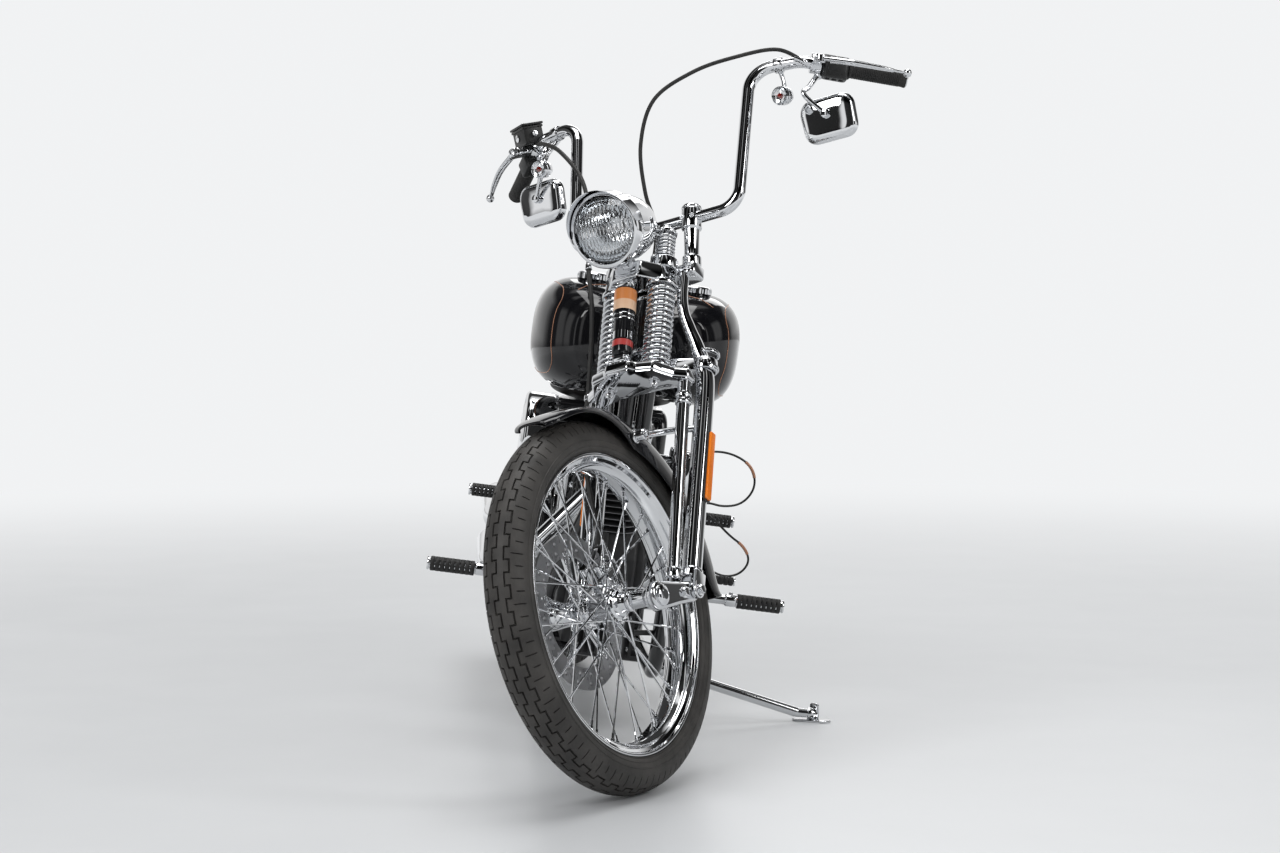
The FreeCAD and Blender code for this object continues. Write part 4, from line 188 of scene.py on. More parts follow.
# Each piece is given by the function that fills its form and by what finishPiece needs
def makePieces(*pieces):
    for make, *look in pieces:
        form = bmesh.new()
        make(form)
        finishPiece(form, *look)


def linkObject(name, data):
    item = bpy.data.objects.new(name, data)
    scene.collection.objects.link(item)
    return item


def pour(part, form, place=None, index=0):
    if index:
        for face in part.faces:
            face.material_index = index
    mesh = bpy.data.meshes.new("pour")
    part.to_mesh(mesh)
    part.free()
    if place is not None:
        mesh.transform(place)
        if place.determinant() < 0:
            mesh.flip_normals()
    form.from_mesh(mesh)
    bpy.data.meshes.remove(mesh)


def turnOut(part):
    bmesh.ops.recalc_face_normals(part, faces=part.faces)


def sharpEdges(part, angle=30):
    part.normal_update()
    limit = radians(angle)
    return [edge for edge in part.edges if len(edge.link_faces) == 2 and edge.calc_face_angle(0) > limit]


def softenEdges(part, edges, width, segments=2):
    bmesh.ops.bevel(part, geom=list(edges), offset=width, offset_type="OFFSET", segments=segments,
        profile=0.5, affect="EDGES", clamp_overlap=True, material=-1)


# Chain of points spun about an axis; a closed chain returns to its first point
def spinChain(part, points, centre, axis, angle, steps, closed=False, merge=0.01, whole=False):
    verts = [part.verts.new(point) for point in points]
    edges = [part.edges.new(ends) for ends in zip(verts, verts[1:])]
    if closed:
        edges.append(part.edges.new((verts[-1], verts[0])))
    bmesh.ops.spin(part, geom=verts + edges, cent=centre, axis=axis, angle=angle, steps=steps,
        use_merge=whole)
    bmesh.ops.remove_doubles(part, verts=part.verts, dist=merge)


def pushFaces(part, faces, push):
    made = bmesh.ops.extrude_face_region(part, geom=faces)["geom"]
    moved = [item for item in made if isinstance(item, bmesh.types.BMVert)]
    bmesh.ops.translate(part, vec=push, verts=moved)
    turnOut(part)
    return moved


# Form turned about an axis; the outline holds distances along it and radii
def turn(form, outline, origin, axis, steps=48, soft=0, index=0):
    axis = Vector(axis).normalized()
    side = axis.orthogonal().normalized()
    part = bmesh.new()
    points = [Vector(origin) + axis * along + side * radius for along, radius in outline]
    closed = outline[0][1] > 0.01 and outline[-1][1] > 0.01
    spinChain(part, points, Vector(origin), axis, tau, steps, closed, 0.005, True)
    turnOut(part)
    if soft:
        softenEdges(part, sharpEdges(part), soft)
    pour(part, form, None, index)


# Outlines for turn: solid drums, plain or narrower at the end, and hollow bands, plain or crowned
def drum(start, end, radius):
    return [(start, 0), (start, radius), (end, radius), (end, 0)]


def band(start, end, inner, outer):
    return [(start, inner), (start, outer), (end, outer), (end, inner)]


def plug(start, shoulder, end, radius, top):
    return [(start, 0), (start, radius), (shoulder, radius), (end, top), (end, 0)]


def collar(half, inner, outer, crown, top):
    return [(-half, inner), (-half, outer), (-crown, top), (crown, top), (half, outer), (half, inner)]


# Unit places round a circle
def around(count, phase=0):
    swings = [tau * (k + phase) / count for k in range(count)]
    return [(cos(swing), sin(swing)) for swing in swings]


# Unit places along part of a circle
def alongArc(start, reach, steps):
    swings = [start + reach * k / steps for k in range(steps + 1)]
    return [(cos(swing), sin(swing)) for swing in swings]


# Direction out of an axle, from dead ahead over the top
def outAt(angle):
    swing = radians(angle)
    return vec(0, -cos(swing), sin(swing))


# Straight runs joined by arcs
def arcPath(points, bends, step=0.14):
    path = [Vector(points[0])]
    for i in range(1, len(points) - 1):
        corner = Vector(points[i])
        back = (Vector(points[i - 1]) - corner).normalized()
        ahead = (Vector(points[i + 1]) - corner).normalized()
        half = back.angle(ahead) / 2
        bend = bends[i - 1] if isinstance(bends, (list, tuple)) else bends
        reach = bend / tan(half)
        centre = corner + (back + ahead).normalized() * (bend / sin(half))
        start = corner + back * reach - centre
        normal = start.cross(corner + ahead * reach - centre).normalized()
        swing = pi - 2 * half
        count = max(2, int(swing / step))
        for k in range(count + 1):
            path.append(centre + Matrix.Rotation(swing * k / count, 3, normal) @ start)
    path.append(Vector(points[-1]))
    return path


# Smooth curve through points, with values carried along
def smoothPath(points, steps, values=None):
    count = len(points)
    path = []
    carried = []
    for i in range(count - 1):
        before, low = Vector(points[max(i - 1, 0)]), Vector(points[i])
        high, after = Vector(points[i + 1]), Vector(points[min(i + 2, count - 1)])
        for k in range(steps):
            t = k / steps
            path.append(0.5 * (2 * low + (high - before) * t + (2 * before - 5 * low + 4 * high
                - after) * t * t + (3 * low - before - 3 * high + after) * t ** 3))
            if values:
                ease = t * t * (3 - 2 * t)
                carried.append(values[i] + (values[i + 1] - values[i]) * ease)
    path.append(Vector(points[-1]))
    if values:
        return path, carried + [values[-1]]
    return path


# Bar along a path; radii is one number or one for each point, ring a unit outline
def sweep(form, path, radii, sides=20, ring=None, closed=False, index=0, side=None):
    part = bmesh.new()
    count = len(path)
    outline = ring or around(sides)
    rings = []
    for i, point in enumerate(path):
        before = path[i - 1] if i or closed else path[0]
        after = path[(i + 1) % count] if i < count - 1 or closed else path[-1]
        along = (Vector(after) - Vector(before)).normalized()
        if side is None:
            side = along.orthogonal()
        side = (side - along * side.dot(along)).normalized()
        other = along.cross(side)
        radius = radii[i] if isinstance(radii, list) else radii
        rings.append([part.verts.new(Vector(point) + side * (x * radius) + other * (y * radius))
            for x, y in outline])
    pairs = list(zip(rings, rings[1:])) + ([(rings[-1], rings[0])] if closed else [])
    for low, high in pairs:
        for k in range(sides):
            m = (k + 1) % sides
            part.faces.new((low[k], low[m], high[m], high[k]))
    if not closed:
        part.faces.new(list(reversed(rings[0])))
        part.faces.new(rings[-1])
    turnOut(part)
    pour(part, form, None, index)


# Straight bar from one point to another
def bar(form, start, push, radius, sides, index=0):
    sweep(form, [start, start + push], radius, sides, index=index)


# Skin over rings of points, closed at both ends
def loftRings(form, rings):
    part = bmesh.new()
    loops = []
    for ring in rings:
        verts = [part.verts.new(point) for point in ring]
        loops.append([part.edges.new((verts[k - 1], verts[k])) for k in range(len(verts))])
    for low, high in zip(loops, loops[1:]):
        bmesh.ops.bridge_loops(part, edges=low + high)
    for loop in (loops[0], loops[-1]):
        bmesh.ops.edgeloop_fill(part, edges=loop)
    turnOut(part)
    pour(part, form)


# Flat outline pushed out along a direction, with softened edges
def slab(form, outline, push, soft=1, segments=2, index=0):
    part = bmesh.new()
    face = part.faces.new([part.verts.new(Vector(point)) for point in outline])
    pushFaces(part, [face], Vector(push))
    if soft:
        softenEdges(part, sharpEdges(part, 40), soft, segments)
    pour(part, form, None, index)


def roundedOutline(points, radius, count=5):
    outline = []
    total = len(points)
    for i in range(total):
        corner = Vector(points[i])
        back = Vector(points[i - 1]) - corner
        ahead = Vector(points[(i + 1) % total]) - corner
        half = back.angle(ahead) / 2
        if half > 1.55:
            outline.append(corner)
            continue
        reach = min(radius / tan(half), 0.49 * min(back.length, ahead.length))
        bend = reach * tan(half)
        centre = corner + (back.normalized() + ahead.normalized()).normalized() * (bend / sin(half))
        start = (corner + back.normalized() * reach - centre).normalized()
        end = (corner + ahead.normalized() * reach - centre).normalized()
        outline += [centre + start.slerp(end, k / count).normalized() * bend for k in range(count + 1)]
    return outline


# Box round a middle, with rounded corners in its plane and softened edges
def softBox(form, middle, along, across, size, radius, soft=1, index=0, segments=2):
    along = Vector(along).normalized()
    across = Vector(across).normalized()
    up = along.cross(across)
    corner = Vector(middle) - along * size[0] / 2 - across * size[1] / 2 - up * size[2] / 2
    points = [corner, corner + along * size[0], corner + along * size[0] + across * size[1],
        corner + across * size[1]]
    slab(form, roundedOutline(points, radius), up * size[2], soft, segments, index)


# The same form again on the other side
def addMirrored(form):
    pour(form.copy(), form, Matrix.Scale(-1, 4, xAxis))


def addBolt(form, base, axis, radius, length, index=0):
    low, high = length * 0.16, length * 0.9
    turn(form, drum(0, low, radius * 1.25), base, axis, 24, 0.2, index)
    turn(form, [(low, 0), (low, radius), (high, radius), (length, radius * 0.84), (length, 0)], base, axis, 6,
        0.25, index)


def addAcorn(form, base, axis, radius, index=0):
    low, high, top = radius * 0.16, radius * 0.95, radius * 1.05
    turn(form, drum(0, low, radius * 1.3), base, axis, 28, 0.2, index)
    turn(form, [(low, 0), (low, radius), (high, radius), (top, radius * 0.8), (top, 0)], base, axis, 6, 0.3,
        index)
    dome = [(radius * 0.9, 0), (radius * 0.9, radius * 0.82)]
    for k in range(1, 7):
        swing = pi / 2 * k / 6
        dome.append((radius * (0.95 + 0.75 * sin(swing)), radius * 0.82 * cos(swing)))
    turn(form, dome, base, axis, 24, 0, index)


def coilPath(low, axis, radius, length, turns, perTurn=30):
    side = axis.orthogonal().normalized()
    other = axis.cross(side)
    path = []
    total = int(turns * perTurn)
    for i in range(total + 1):
        swing = tau * i / perTurn
        path.append(low + axis * (length * i / total) + side * (radius * cos(swing))
            + other * (radius * sin(swing)))
    return path


# Tyre with stepped circumferential grooves, one pitch repeated round the wheel
def grooveDepth(size, arc, share, pitch):
    for middle in size["grooves"]:
        level = size["step"] if 0.25 < share < 0.75 else -size["step"]
        if abs(arc - middle - level) < size["cutHalf"]:
            return size["depth"]
        near = min(abs(share - 0.25), abs(share - 0.75)) * pitch
        if near < size["cutHalf"] and abs(arc - middle) < size["step"] + size["cutHalf"]:
            return size["depth"]
    for number, cut in enumerate(size["cuts"]):
        start = size["cutFrom"] + 9 * number
        if start < abs(arc) and abs((share - cut + 0.5) % 1 - 0.5) * pitch < 0.9:
            return size["depth"] * 0.7
    return 0


signs = (-1, 1)


def grooveRows(size, limit):
    rows = [middle + side * size["step"] + lip * size["cutHalf"] + flank * 0.45 for middle in size["grooves"]
        for side in signs for lip in signs for flank in signs]
    count = int(limit / 2.5)
    spread = [limit * i / count for i in range(-count, count + 1)]
    return sorted(rows + [arc for arc in spread if all(abs(arc - row) > 1.7 for row in rows)])


def pitchLines(size, pitch):
    lines = {switch + (lip * size["cutHalf"] + flank * 0.45) / pitch for switch in (0.25,
        0.75) for lip in signs for flank in signs}
    lines |= {(cut + flank / pitch) % 1 for cut in size["cuts"] for flank in (-1.35, -0.45, 0.45, 1.35)}
    return sorted(lines | {0, 0.5})


def sidewallRows(size):
    half = size["width"] / 2
    crown = size["radius"] - half
    bend = radians(size["treadDegrees"])
    rows = []
    for i in range(1, 10):
        swing = bend + (pi * 0.62 - bend) * i / 9
        rows.append((sin(swing) * half, crown + cos(swing) * half))
    lastX, lastR = rows[-1]
    for i in range(1, 7):
        share = i / 6
        rows.append((lastX + (size["lip"] - lastX) * share ** 0.8,
            lastR + (size["flange"] + 0.8 - lastR) * share))
    ribbed = []
    for number, (x, radius) in enumerate(rows):
        ribbed.append((x, radius))
        if number in (3, 6, 11):
            nextX, nextR = rows[number + 1]
            for share, lift in ((0.3, 0), (0.4, 0.9), (0.6, 0.9), (0.7, 0)):
                ribbed.append((x + (nextX - x) * share + lift, radius + (nextR - radius) * share))
    return ribbed + [(size["bead"], size["flange"] + 0.6), (size["bead"], size["beadRadius"])]


def mirrored(outline):
    return [(-x, radius) for x, radius in reversed(outline)]


def treadTyre(name, centre, size, node):
    half = size["width"] / 2
    crown = size["radius"] - half
    pitch = tau * size["radius"] / size["pitches"]
    rows = grooveRows(size, half * radians(size["treadDegrees"]))
    walls = sidewallRows(size)
    form = bmesh.new()
    columns = []
    for number in range(size["pitches"]):
        for share in pitchLines(size, pitch):
            swing = tau * (number + share) / size["pitches"]
            sinks = [(arc, half - grooveDepth(size, arc, share, pitch)) for arc in rows]
            tread = [(sin(arc / half) * sink, crown + cos(arc / half) * sink) for arc, sink in sinks]
            columns.append([form.verts.new((x, radius * cos(swing),
                radius * sin(swing))) for x, radius in mirrored(walls) + tread + walls])
    for column, after in zip(columns, columns[1:] + columns[:1]):
        for k in range(len(column)):
            m = (k + 1) % len(column)
            form.faces.new((column[k], column[m], after[m], after[k]))
    bmesh.ops.translate(form, vec=centre, verts=form.verts)
    finishPiece(form, name, tyreRubber, node, 30)


# Rim with rolled edges, bead seats and a drop centre
def wheelRim(name, centre, size, node):
    half = size["rimWidth"] / 2
    seat = half - 8
    bead = size["beadRadius"]
    well = bead - 16
    flange = size["flange"]
    outer = [(seat, bead), (seat, flange - 3), (seat + 1, flange - 0.5), (half - 3, flange + 0.3),
        (half - 0.6, flange - 1.2), (half, flange - 4), (half - 0.8, flange - 7), (seat + 2.5, flange - 9),
        (seat - 0.5, bead - 2.5), (seat - 5, bead - 5.5), (seat / 2 + 6, bead - 7.5),
        (seat / 2 + 1.5, well + 2), (seat / 2 - 3, well)]
    inner = [(seat / 2 - 2, well + 3.4), (seat / 2 + 4, bead - 3), (seat - 5, bead - 2)]
    form = bmesh.new()
    turn(form, outer + mirrored(outer) + mirrored(inner) + inner, centre, xAxis, 180, 0.5)
    finishPiece(form, name, chrome, node, 40)


# Hub with stepped flanges, bent spokes and their nipples
def lacedHub(name, centre, size, node):
    form = bmesh.new()
    edge, barrel, flange, half = size["hubHalf"], size["barrel"], size["hubFlange"], size["flangeHalf"]
    side = [(edge, size["bore"]), (edge, barrel * 0.62), (edge - 5, barrel * 0.72), (half + 10, barrel * 0.8),
        (half + 8, barrel * 1.02), (half + 3, barrel * 1.06), (half + 1, barrel * 1.2), (half, barrel * 1.22),
        (half, flange - 1), (half - 1, flange), (half - 4.5, flange), (half - 5.5, flange - 1),
        (half - 6, barrel * 1.2), (half - 11, barrel)]
    turn(form, side + mirrored(side), centre, xAxis, 72, 0.4)
    reach = size["beadRadius"] - 16.8
    hole = flange - 4
    for i, (up, ahead) in enumerate(around(40)):
        out = 1 if i % 2 == 0 else -1
        face = 1 if i % 4 < 2 else -1
        inset = 0 if face > 0 else 4.6
        lead = tau * i / 40 + face * radians(54)
        hub = centre + vec(out * (half - 0.5 - inset), hole * sin(lead), hole * cos(lead))
        tip = centre + vec(out * (8.8 - inset), reach * ahead, reach * up)
        bar(form, hub, tip - hub, 1.9, 10)
        bar(form, hub - xAxis * 4.2, xAxis * 8.4, 1.9, 10)
        turn(form, [(3.4, 0), (3.4, 3.2), (4.6, 3), (5.4, 1.6), (5.6, 0)], hub, xAxis * (-out * face), 14)
        turn(form, [(-18, 1.9), (-17, 3), (-7, 3.2), (-6, 4.3), (-1.4, 4.5), (-0.4, 3.6), (-0.4, 1.9)], tip,
            tip - hub, 10)
    finishPiece(form, name, chrome, node)


# Ring of the brake disc, with rows of round holes; it is filled between its edges
def discRing(form, place, inner, outer, holes, wall):
    part = bmesh.new()
    edges = []

    def addCircle(middle, radius, count):
        ring = [part.verts.new(middle + vec(0, radius * y, radius * z)) for z, y in around(count)]
        edges.extend(part.edges.new((ring[k], ring[(k + 1) % count])) for k in range(count))

    for radius in (inner, outer):
        addCircle(xAxis * (place - wall / 2), radius, holes * 12)
    for i in range(holes):
        for share, twist in ((0.3, 0.036), (0.7, 0.084)):
            radius = inner + (outer - inner) * share
            bend = tau * i / holes + twist
            addCircle(vec(place - wall / 2, radius * sin(bend), radius * cos(bend)), 4.5, 16)
    bmesh.ops.triangle_fill(part, use_beauty=True, use_dissolve=False, edges=edges)
    pushFaces(part, list(part.faces), xAxis * wall)
    pour(part, form)


def brakeDisc(name, centre, node, discX, axleRadius):
    form = bmesh.new()
    middle = xAxis * discX
    discRing(form, discX, 104, 146, 20, 5)
    for z, y in around(5):
        out, across = vec(0, y, z), vec(0, z, -y)
        points = [(26, -15), (44, -8), (84, -8), (106, -13), (106, 13), (84, 8), (44, 8), (26, 15)]
        outline = [middle + out * a + across * b - xAxis * 2.4 for a, b in points]
        slab(form, roundedOutline(outline, 6), xAxis * 4.8, 0.8, 2, 1)
        for spread in (-7, 7):
            turn(form, drum(-4.2, 4.2, 5), middle + out * 109 + across * spread, xAxis, 18, 0.5, 1)
    turn(form, band(-3, 3, axleRadius, 33), middle, xAxis, 60, 0.6, 1)
    outward = 1 if discX > 0 else -1
    for z, y in around(5, 0.5):
        addBolt(form, vec(discX + outward * 3, 23 * y, 23 * z), xAxis * outward, 4.6, 5, 1)
    bmesh.ops.translate(form, vec=centre, verts=form.verts)
    finishPiece(form, name, [steel, chrome], node)


frontWheel = {"radius": 346, "width": 88, "flange": 281, "lip": 38, "bead": 30, "beadRadius": 268,
    "rimWidth": 76, "pitches": 46, "grooves": (-23, 0, 23), "step": 4.6, "cutHalf": 1.4, "depth": 4.2,
    "cuts": (0, 0.5), "cutFrom": 31, "treadDegrees": 66, "hubHalf": 54.2, "barrel": 24, "hubFlange": 38,
    "flangeHalf": 32, "bore": 9.55, "discX": -57, "discBore": 10.1}
rearWheel = {"radius": 325, "width": 132, "flange": 220, "lip": 48, "bead": 40, "beadRadius": 203,
    "rimWidth": 96, "pitches": 42, "grooves": (-41, -14, 14, 41), "step": 4.8, "cutHalf": 1.6, "depth": 4.6,
    "cuts": (0, 0.5), "cutFrom": 50, "treadDegrees": 60, "hubHalf": 76.2, "barrel": 30, "hubFlange": 46,
    "flangeHalf": 36, "bore": 10.05, "discX": -79, "discBore": 10.6}
frontAxle = vec(0, 0, 346)
rearAxle = vec(0, 1636, 325)
for end, centre, size in (("front", frontAxle, frontWheel), ("rear", rearAxle, rearWheel)):
    treadTyre(end + "_tyre_tread", centre, size, end + "_tyre")
    wheelRim(end + "_rim_band", centre, size, end + "_rim")
    lacedHub(end + "_hub_laced", centre, size, end + "_hub")
    brakeDisc(end + "_disc_drilled", centre, end + "_disc", size["discX"], size["discBore"])
print("wheels done")


# Springer fork; heights run along the steering axis
fork = {"rockerLength": 122, "rockerDrop": 9, "rockerX": 116, "rockerWall": 20, "axle": 27, "pivot": 19,
    "springShare": 0.69, "eye": 16, "eyeWall": 12, "legX": 116, "legSet": -42, "legRadius": 19, "legTopX": 80,
    "legTopSet": 8, "legTopRadius": 11, "foot": 452, "bendLow": 842, "top": 1098, "lowTree": 892,
    "towerLow": 1061, "springLegX": 100, "springLeg": 12.5, "bridgeLow": 848, "bridgeHigh": 874,
    "bridgeFront": 96, "bridgeHalf": 116, "springX": 51, "springSet": 38}
legX, legSet, legRadius = fork["legX"], fork["legSet"], fork["legRadius"]
springX, springSet = fork["springX"], fork["springSet"]
bridgeLow, bridgeHigh = fork["bridgeLow"], fork["bridgeHigh"]
steerAxis, aheadAxis = vec(0, rakeSin, rakeCos), vec(0, -rakeCos, rakeSin)
rockerRear = frontAxle + vec(0, sqrt(fork["rockerLength"] ** 2 - fork["rockerDrop"] ** 2),
    -fork["rockerDrop"])
springFoot = frontAxle.lerp(rockerRear, fork["springShare"])
rockerLow = fork["rockerX"] - fork["rockerWall"] / 2
rockerHigh = rockerLow + fork["rockerWall"]


def eyeAndTongue(form, x, pivot, top, radius):
    low, high = vec(x, pivot.y, pivot.z), vec(x, top.y, top.z)
    run = (high - low).normalized()
    side = vec(0, -run.z, run.y)
    eye = fork["eye"]
    outline = [low + side * (eye * c) - run * (eye * s) for c, s in alongArc(0, pi, 12)]
    outline += [low - side * eye + run * 4, high - side * radius, high + side * radius,
        low + side * eye + run * 4]
    slab(form, outline, xAxis * fork["eyeWall"], 2.2, 3)


def makeRigidLegs(form):
    foot = head(legX, fork["foot"], legSet)
    points = [foot, foot + steerAxis * 150]
    radii = [legRadius, legRadius]
    for bend, height, thin in ((0, 0, 0), (0.1, 0.22, 0.22), (0.35, 0.38, 0.5), (0.68, 0.54, 0.78),
            (0.9, 0.66, 0.94), (1, 0.8, 1), (1, 1, 1)):
        points.append(head(legX + (fork["legTopX"] - legX) * bend,
            fork["bendLow"] + (fork["top"] - fork["bendLow"]) * height,
            legSet + (fork["legTopSet"] - legSet) * bend))
        radii.append(legRadius + (fork["legTopRadius"] - legRadius) * thin)
    path, radii = smoothPath(points, 8, radii)
    sweep(form, path, radii, 40)
    turn(form, [(-3, 0), (-3, 17), (-0.5, 20), (9, 21.3), (13, 21.3), (16, 19), (16, 0)], foot, steerAxis, 48,
        0.4)
    for rise in (14.4, 46.08):
        turn(form, collar(3, legRadius - 2, 23.5, 2, 24.4), head(legX, fork["lowTree"] - 6 + rise, legSet),
            steerAxis, 56, 0.3)
    for x in (rockerLow - fork["eyeWall"] - 0.3, rockerHigh + 0.3):
        eyeAndTongue(form, x, rockerRear, foot + steerAxis * 8, 16)
    addMirrored(form)
    for side in (1, -1):
        addFenderStay(form, side)


# Stay from the front fender back to the rigid leg, with its round boss and nut
def addFenderStay(form, side):
    part = bmesh.new()
    start = vec(61.3, 145, 640)
    boss = start + xAxis * 14
    end = head(legX, boss.z * rakeCos + (boss.y + 137) * rakeSin + 78, legSet)
    sweep(part, arcPath([boss, vec(boss.x, end.y - 36.4, end.z + 7), end], 13), 6.6, 20)
    turn(part, [(0, 0), (0, 13), (2, 14), (4, 11.2), (12, 10.6), (20, 11), (23, 9), (24, 0)], start, xAxis,
        36, 0.3)
    addBolt(part, start + xAxis * 24, xAxis, 6, 5)
    pour(part, form, Matrix.Scale(side, 4, xAxis))


def rockerOutline(x):
    run = (rockerRear - frontAxle).normalized()
    up = vec(0, -run.z, run.y)
    big, small = fork["axle"], fork["pivot"]
    waist = up * ((big + small) / 2 - 1.5)
    middle = frontAxle.lerp(rockerRear, 0.5)
    outline = [frontAxle + run * (big * c) + up * (big * s)
        for c, s in alongArc(radians(98), radians(164), 16)]
    outline.append(middle - waist)
    outline += [rockerRear + run * (small * c) + up * (small * s) for c, s in alongArc(radians(-86),
        radians(172), 12)]
    return [vec(x, point.y, point.z) for point in outline + [middle + waist]]


def makeRockers(form):
    slab(form, rockerOutline(rockerLow), xAxis * fork["rockerWall"], 6, 4)
    turn(form, [(-2, 0), (-2, 20), (3, 20), (6, 17.5), (8.5, 12), (9, 0)], frontAxle + xAxis * rockerHigh,
        xAxis, 48)
    inner = rockerLow - fork["eyeWall"] - 0.6
    for pivot, reach in ((springFoot, rockerHigh), (rockerRear, rockerHigh + fork["eyeWall"] + 0.6)):
        bar(form, pivot + xAxis * inner, xAxis * (reach + 1 - inner), 7, 24)
        addBolt(form, pivot + xAxis * reach, xAxis, 9, 8)
        addBolt(form, pivot + xAxis * inner, -xAxis, 8, 6)
    addMirrored(form)
    nut = rockerHigh + 9
    bar(form, frontAxle - xAxis * nut, xAxis * (2 * nut), 9.5, 28)
    for side, start in ((1, 54.8), (-1, 60.1)):
        outline = [(start, 9.5), (start, 18), (start + 3, 19), (start + 7, 19), (start + 9, 16),
            (rockerLow - 12, 16), (rockerLow - 10, 18.5), (rockerLow - 2, 20), (rockerLow, 20),
            (rockerLow, 9.5)]
        turn(form, outline, frontAxle, xAxis * side, 48, 0.4)


def makeSpringFork(form):
    low = springFoot + xAxis * fork["springLegX"]
    top = head(fork["springLegX"], bridgeLow, springSet / 5)
    run = (top - low).normalized()
    start = low + run * 32
    bar(form, start, top - start, fork["springLeg"], 32)
    turn(form, [(-4, 0), (-4, 13), (0, 16), (16, 16), (19, 13), (19, 0)], start, run, 36, 0.4)
    turn(form, [(0, 0), (0, 14), (2, 15.8), (7, 15.8), (9, 14.4), (16, 14.4), (18, 15.8), (23, 15.8),
        (25, 13), (25, 0)], top - run * 48, run, 36, 0.3)
    eyeAndTongue(form, fork["rockerX"] - 22.3, springFoot, start + run * 8, 12)
    addMirrored(form)
    addBridge(form)


# Arched bridge with a raised edge, studs below and rods up through the springs
def addBridge(form):
    half, front = fork["bridgeHalf"], fork["bridgeFront"]
    shares = [(1, -0.14), (1, 0.2), (0.8, 0.36), (0.68, 0.6), (0.6, 0.78), (0.3, 0.88), (0.22, 1)]
    shares += mirrored(shares) + [(-0.45, 0), (0.45, 0)]
    outline = [head(half * across, bridgeLow + 3, front * ahead) for across, ahead in shares]
    slab(form, roundedOutline(outline, 10, 4), steerAxis * 20, 4.5, 3)
    lip = [head(half * across * 0.97, bridgeLow, front * (ahead * 0.96 + 0.01)) for across, ahead in shares]
    slab(form, roundedOutline(lip, 9, 4), steerAxis * 8, 2, 2)
    cap = [(-1, 0), (-1, 21), (1, 22), (5, 22), (7, 19), (9, 18), (11, 12), (16, 11), (17, 9), (17, 0)]
    for side in signs:
        x = side * springX
        base = head(x, bridgeLow, springSet)
        addAcorn(form, base, -steerAxis, 9)
        turn(form, [(-20, 0), (-20, 5), (0, 5.5), (0, 0)], base, -steerAxis, 20)
        turn(form, [(0, 0), (0, 31), (3, 33), (6, 33), (8, 29), (8, 0)], head(x, bridgeHigh - 5, springSet),
            steerAxis, 56, 0.5)
        bar(form, base, steerAxis * (1190 - bridgeLow), 8, 24)
        turn(form, cap, head(x, 1180.9, springSet), steerAxis, 48, 0.3)
        addAcorn(form, head(side * fork["springLegX"], bridgeHigh - 2, springSet / 5), steerAxis, 9)
    turn(form, [(0, 0), (0, 9), (10, 8), (12, 0)], head(0, bridgeHigh - 4, 80), steerAxis, 24, 0.4)


def makeSprings(form):
    for side in signs:
        for rise, radius, length, turns, thick, sides in ((bridgeHigh + 4.8, 24.2, 177.4, 14.5, 4.2, 12),
                (fork["top"] + 3, 17.3, 76.8, 9.5, 2.7, 10)):
            low = head(side * springX, rise, springSet)
            sweep(form, coilPath(low, steerAxis, radius, length, turns), thick, sides)


def makeShock(form):
    low = head(0, bridgeHigh + 11, 80)
    high = head(0, fork["towerLow"] - 11, 87)
    run = (high - low).normalized()
    long = (high - low).length
    middle = long * 0.54
    turn(form, [(8, 0), (8, 15), (11, 19.5), (14, 20), (long * 0.5, 20), (long * 0.5 + 2, 18), (middle, 18),
        (middle, 0)], low, run, 48, 0.4, 1)
    turn(form, [(long * 0.52, 0), (long * 0.52, 21.6), (middle, 22), (long - 14, 22), (long - 9, 17),
        (long - 8, 0)], low, run, 48, 0.4, 1)
    for share in (0.5, 0.56):
        turn(form, band(-1.6, 1.6, 19, 22.4), low + run * (long * share), run, 48, 0.2)
    for first, last, radius, index in ((0.62, 0.75, 22, 2), (0.75, 0.9, 22, 3), (0.14, 0.22, 20, 4),
            (0.24, 0.34, 20, 0)):
        turn(form, band(long * first, long * last, radius - 1, radius + 0.25), low, run, 48, 0, index)
    for at in (low, high):
        turn(form, collar(12, 5, 10, 11, 11), at, xAxis, 32, 0.3)
        bar(form, at - xAxis * 14, xAxis * 28, 5, 20)
        for side in (1, -1):
            addBolt(form, at + xAxis * (13 * side), xAxis * side, 7.5, 5)


# Flat plate across the fork, from the corners of its left half
def addTree(form, height, corners, rounding, count, wall, soft):
    outline = [head(x, height, v) for x, v in corners + mirrored(corners)]
    slab(form, roundedOutline(outline, rounding, count), steerAxis * wall, soft, 3)


# Upper tree: the plate over the legs and the tower above the springs
def makeUpperTree(form):
    s = fork["top"]
    addTree(form, s, [(66, 9), (105, 15.3), (105, -30), (60, -34), (14, -28)], 8, 4, 26, 4)
    addTree(form, fork["towerLow"], [(30, 95), (66, 58), (66, 0)], 16, 5, 37, 4)
    for side in signs:
        x = side * springX
        turn(form, [(0, 21), (0, 27), (3, 28), (22, 28), (25, 26), (25, 21)], head(x, s - 2, springSet),
            steerAxis, 48, 0.4)
        turn(form, [(-8, 20), (-8, 31), (-6, 32), (0, 32), (2, 30), (2, 20)], head(x, 1063, springSet),
            steerAxis, 56, 0.4)
        addAcorn(form, head(side * 88, s + 26, 2), steerAxis, 6)
    turn(form, [(0, 0), (0, 19), (3, 20), (9, 20), (11, 16), (14, 15), (15, 12), (15, 0)], head(0, s + 26, 0),
        steerAxis, 40, 0.4)


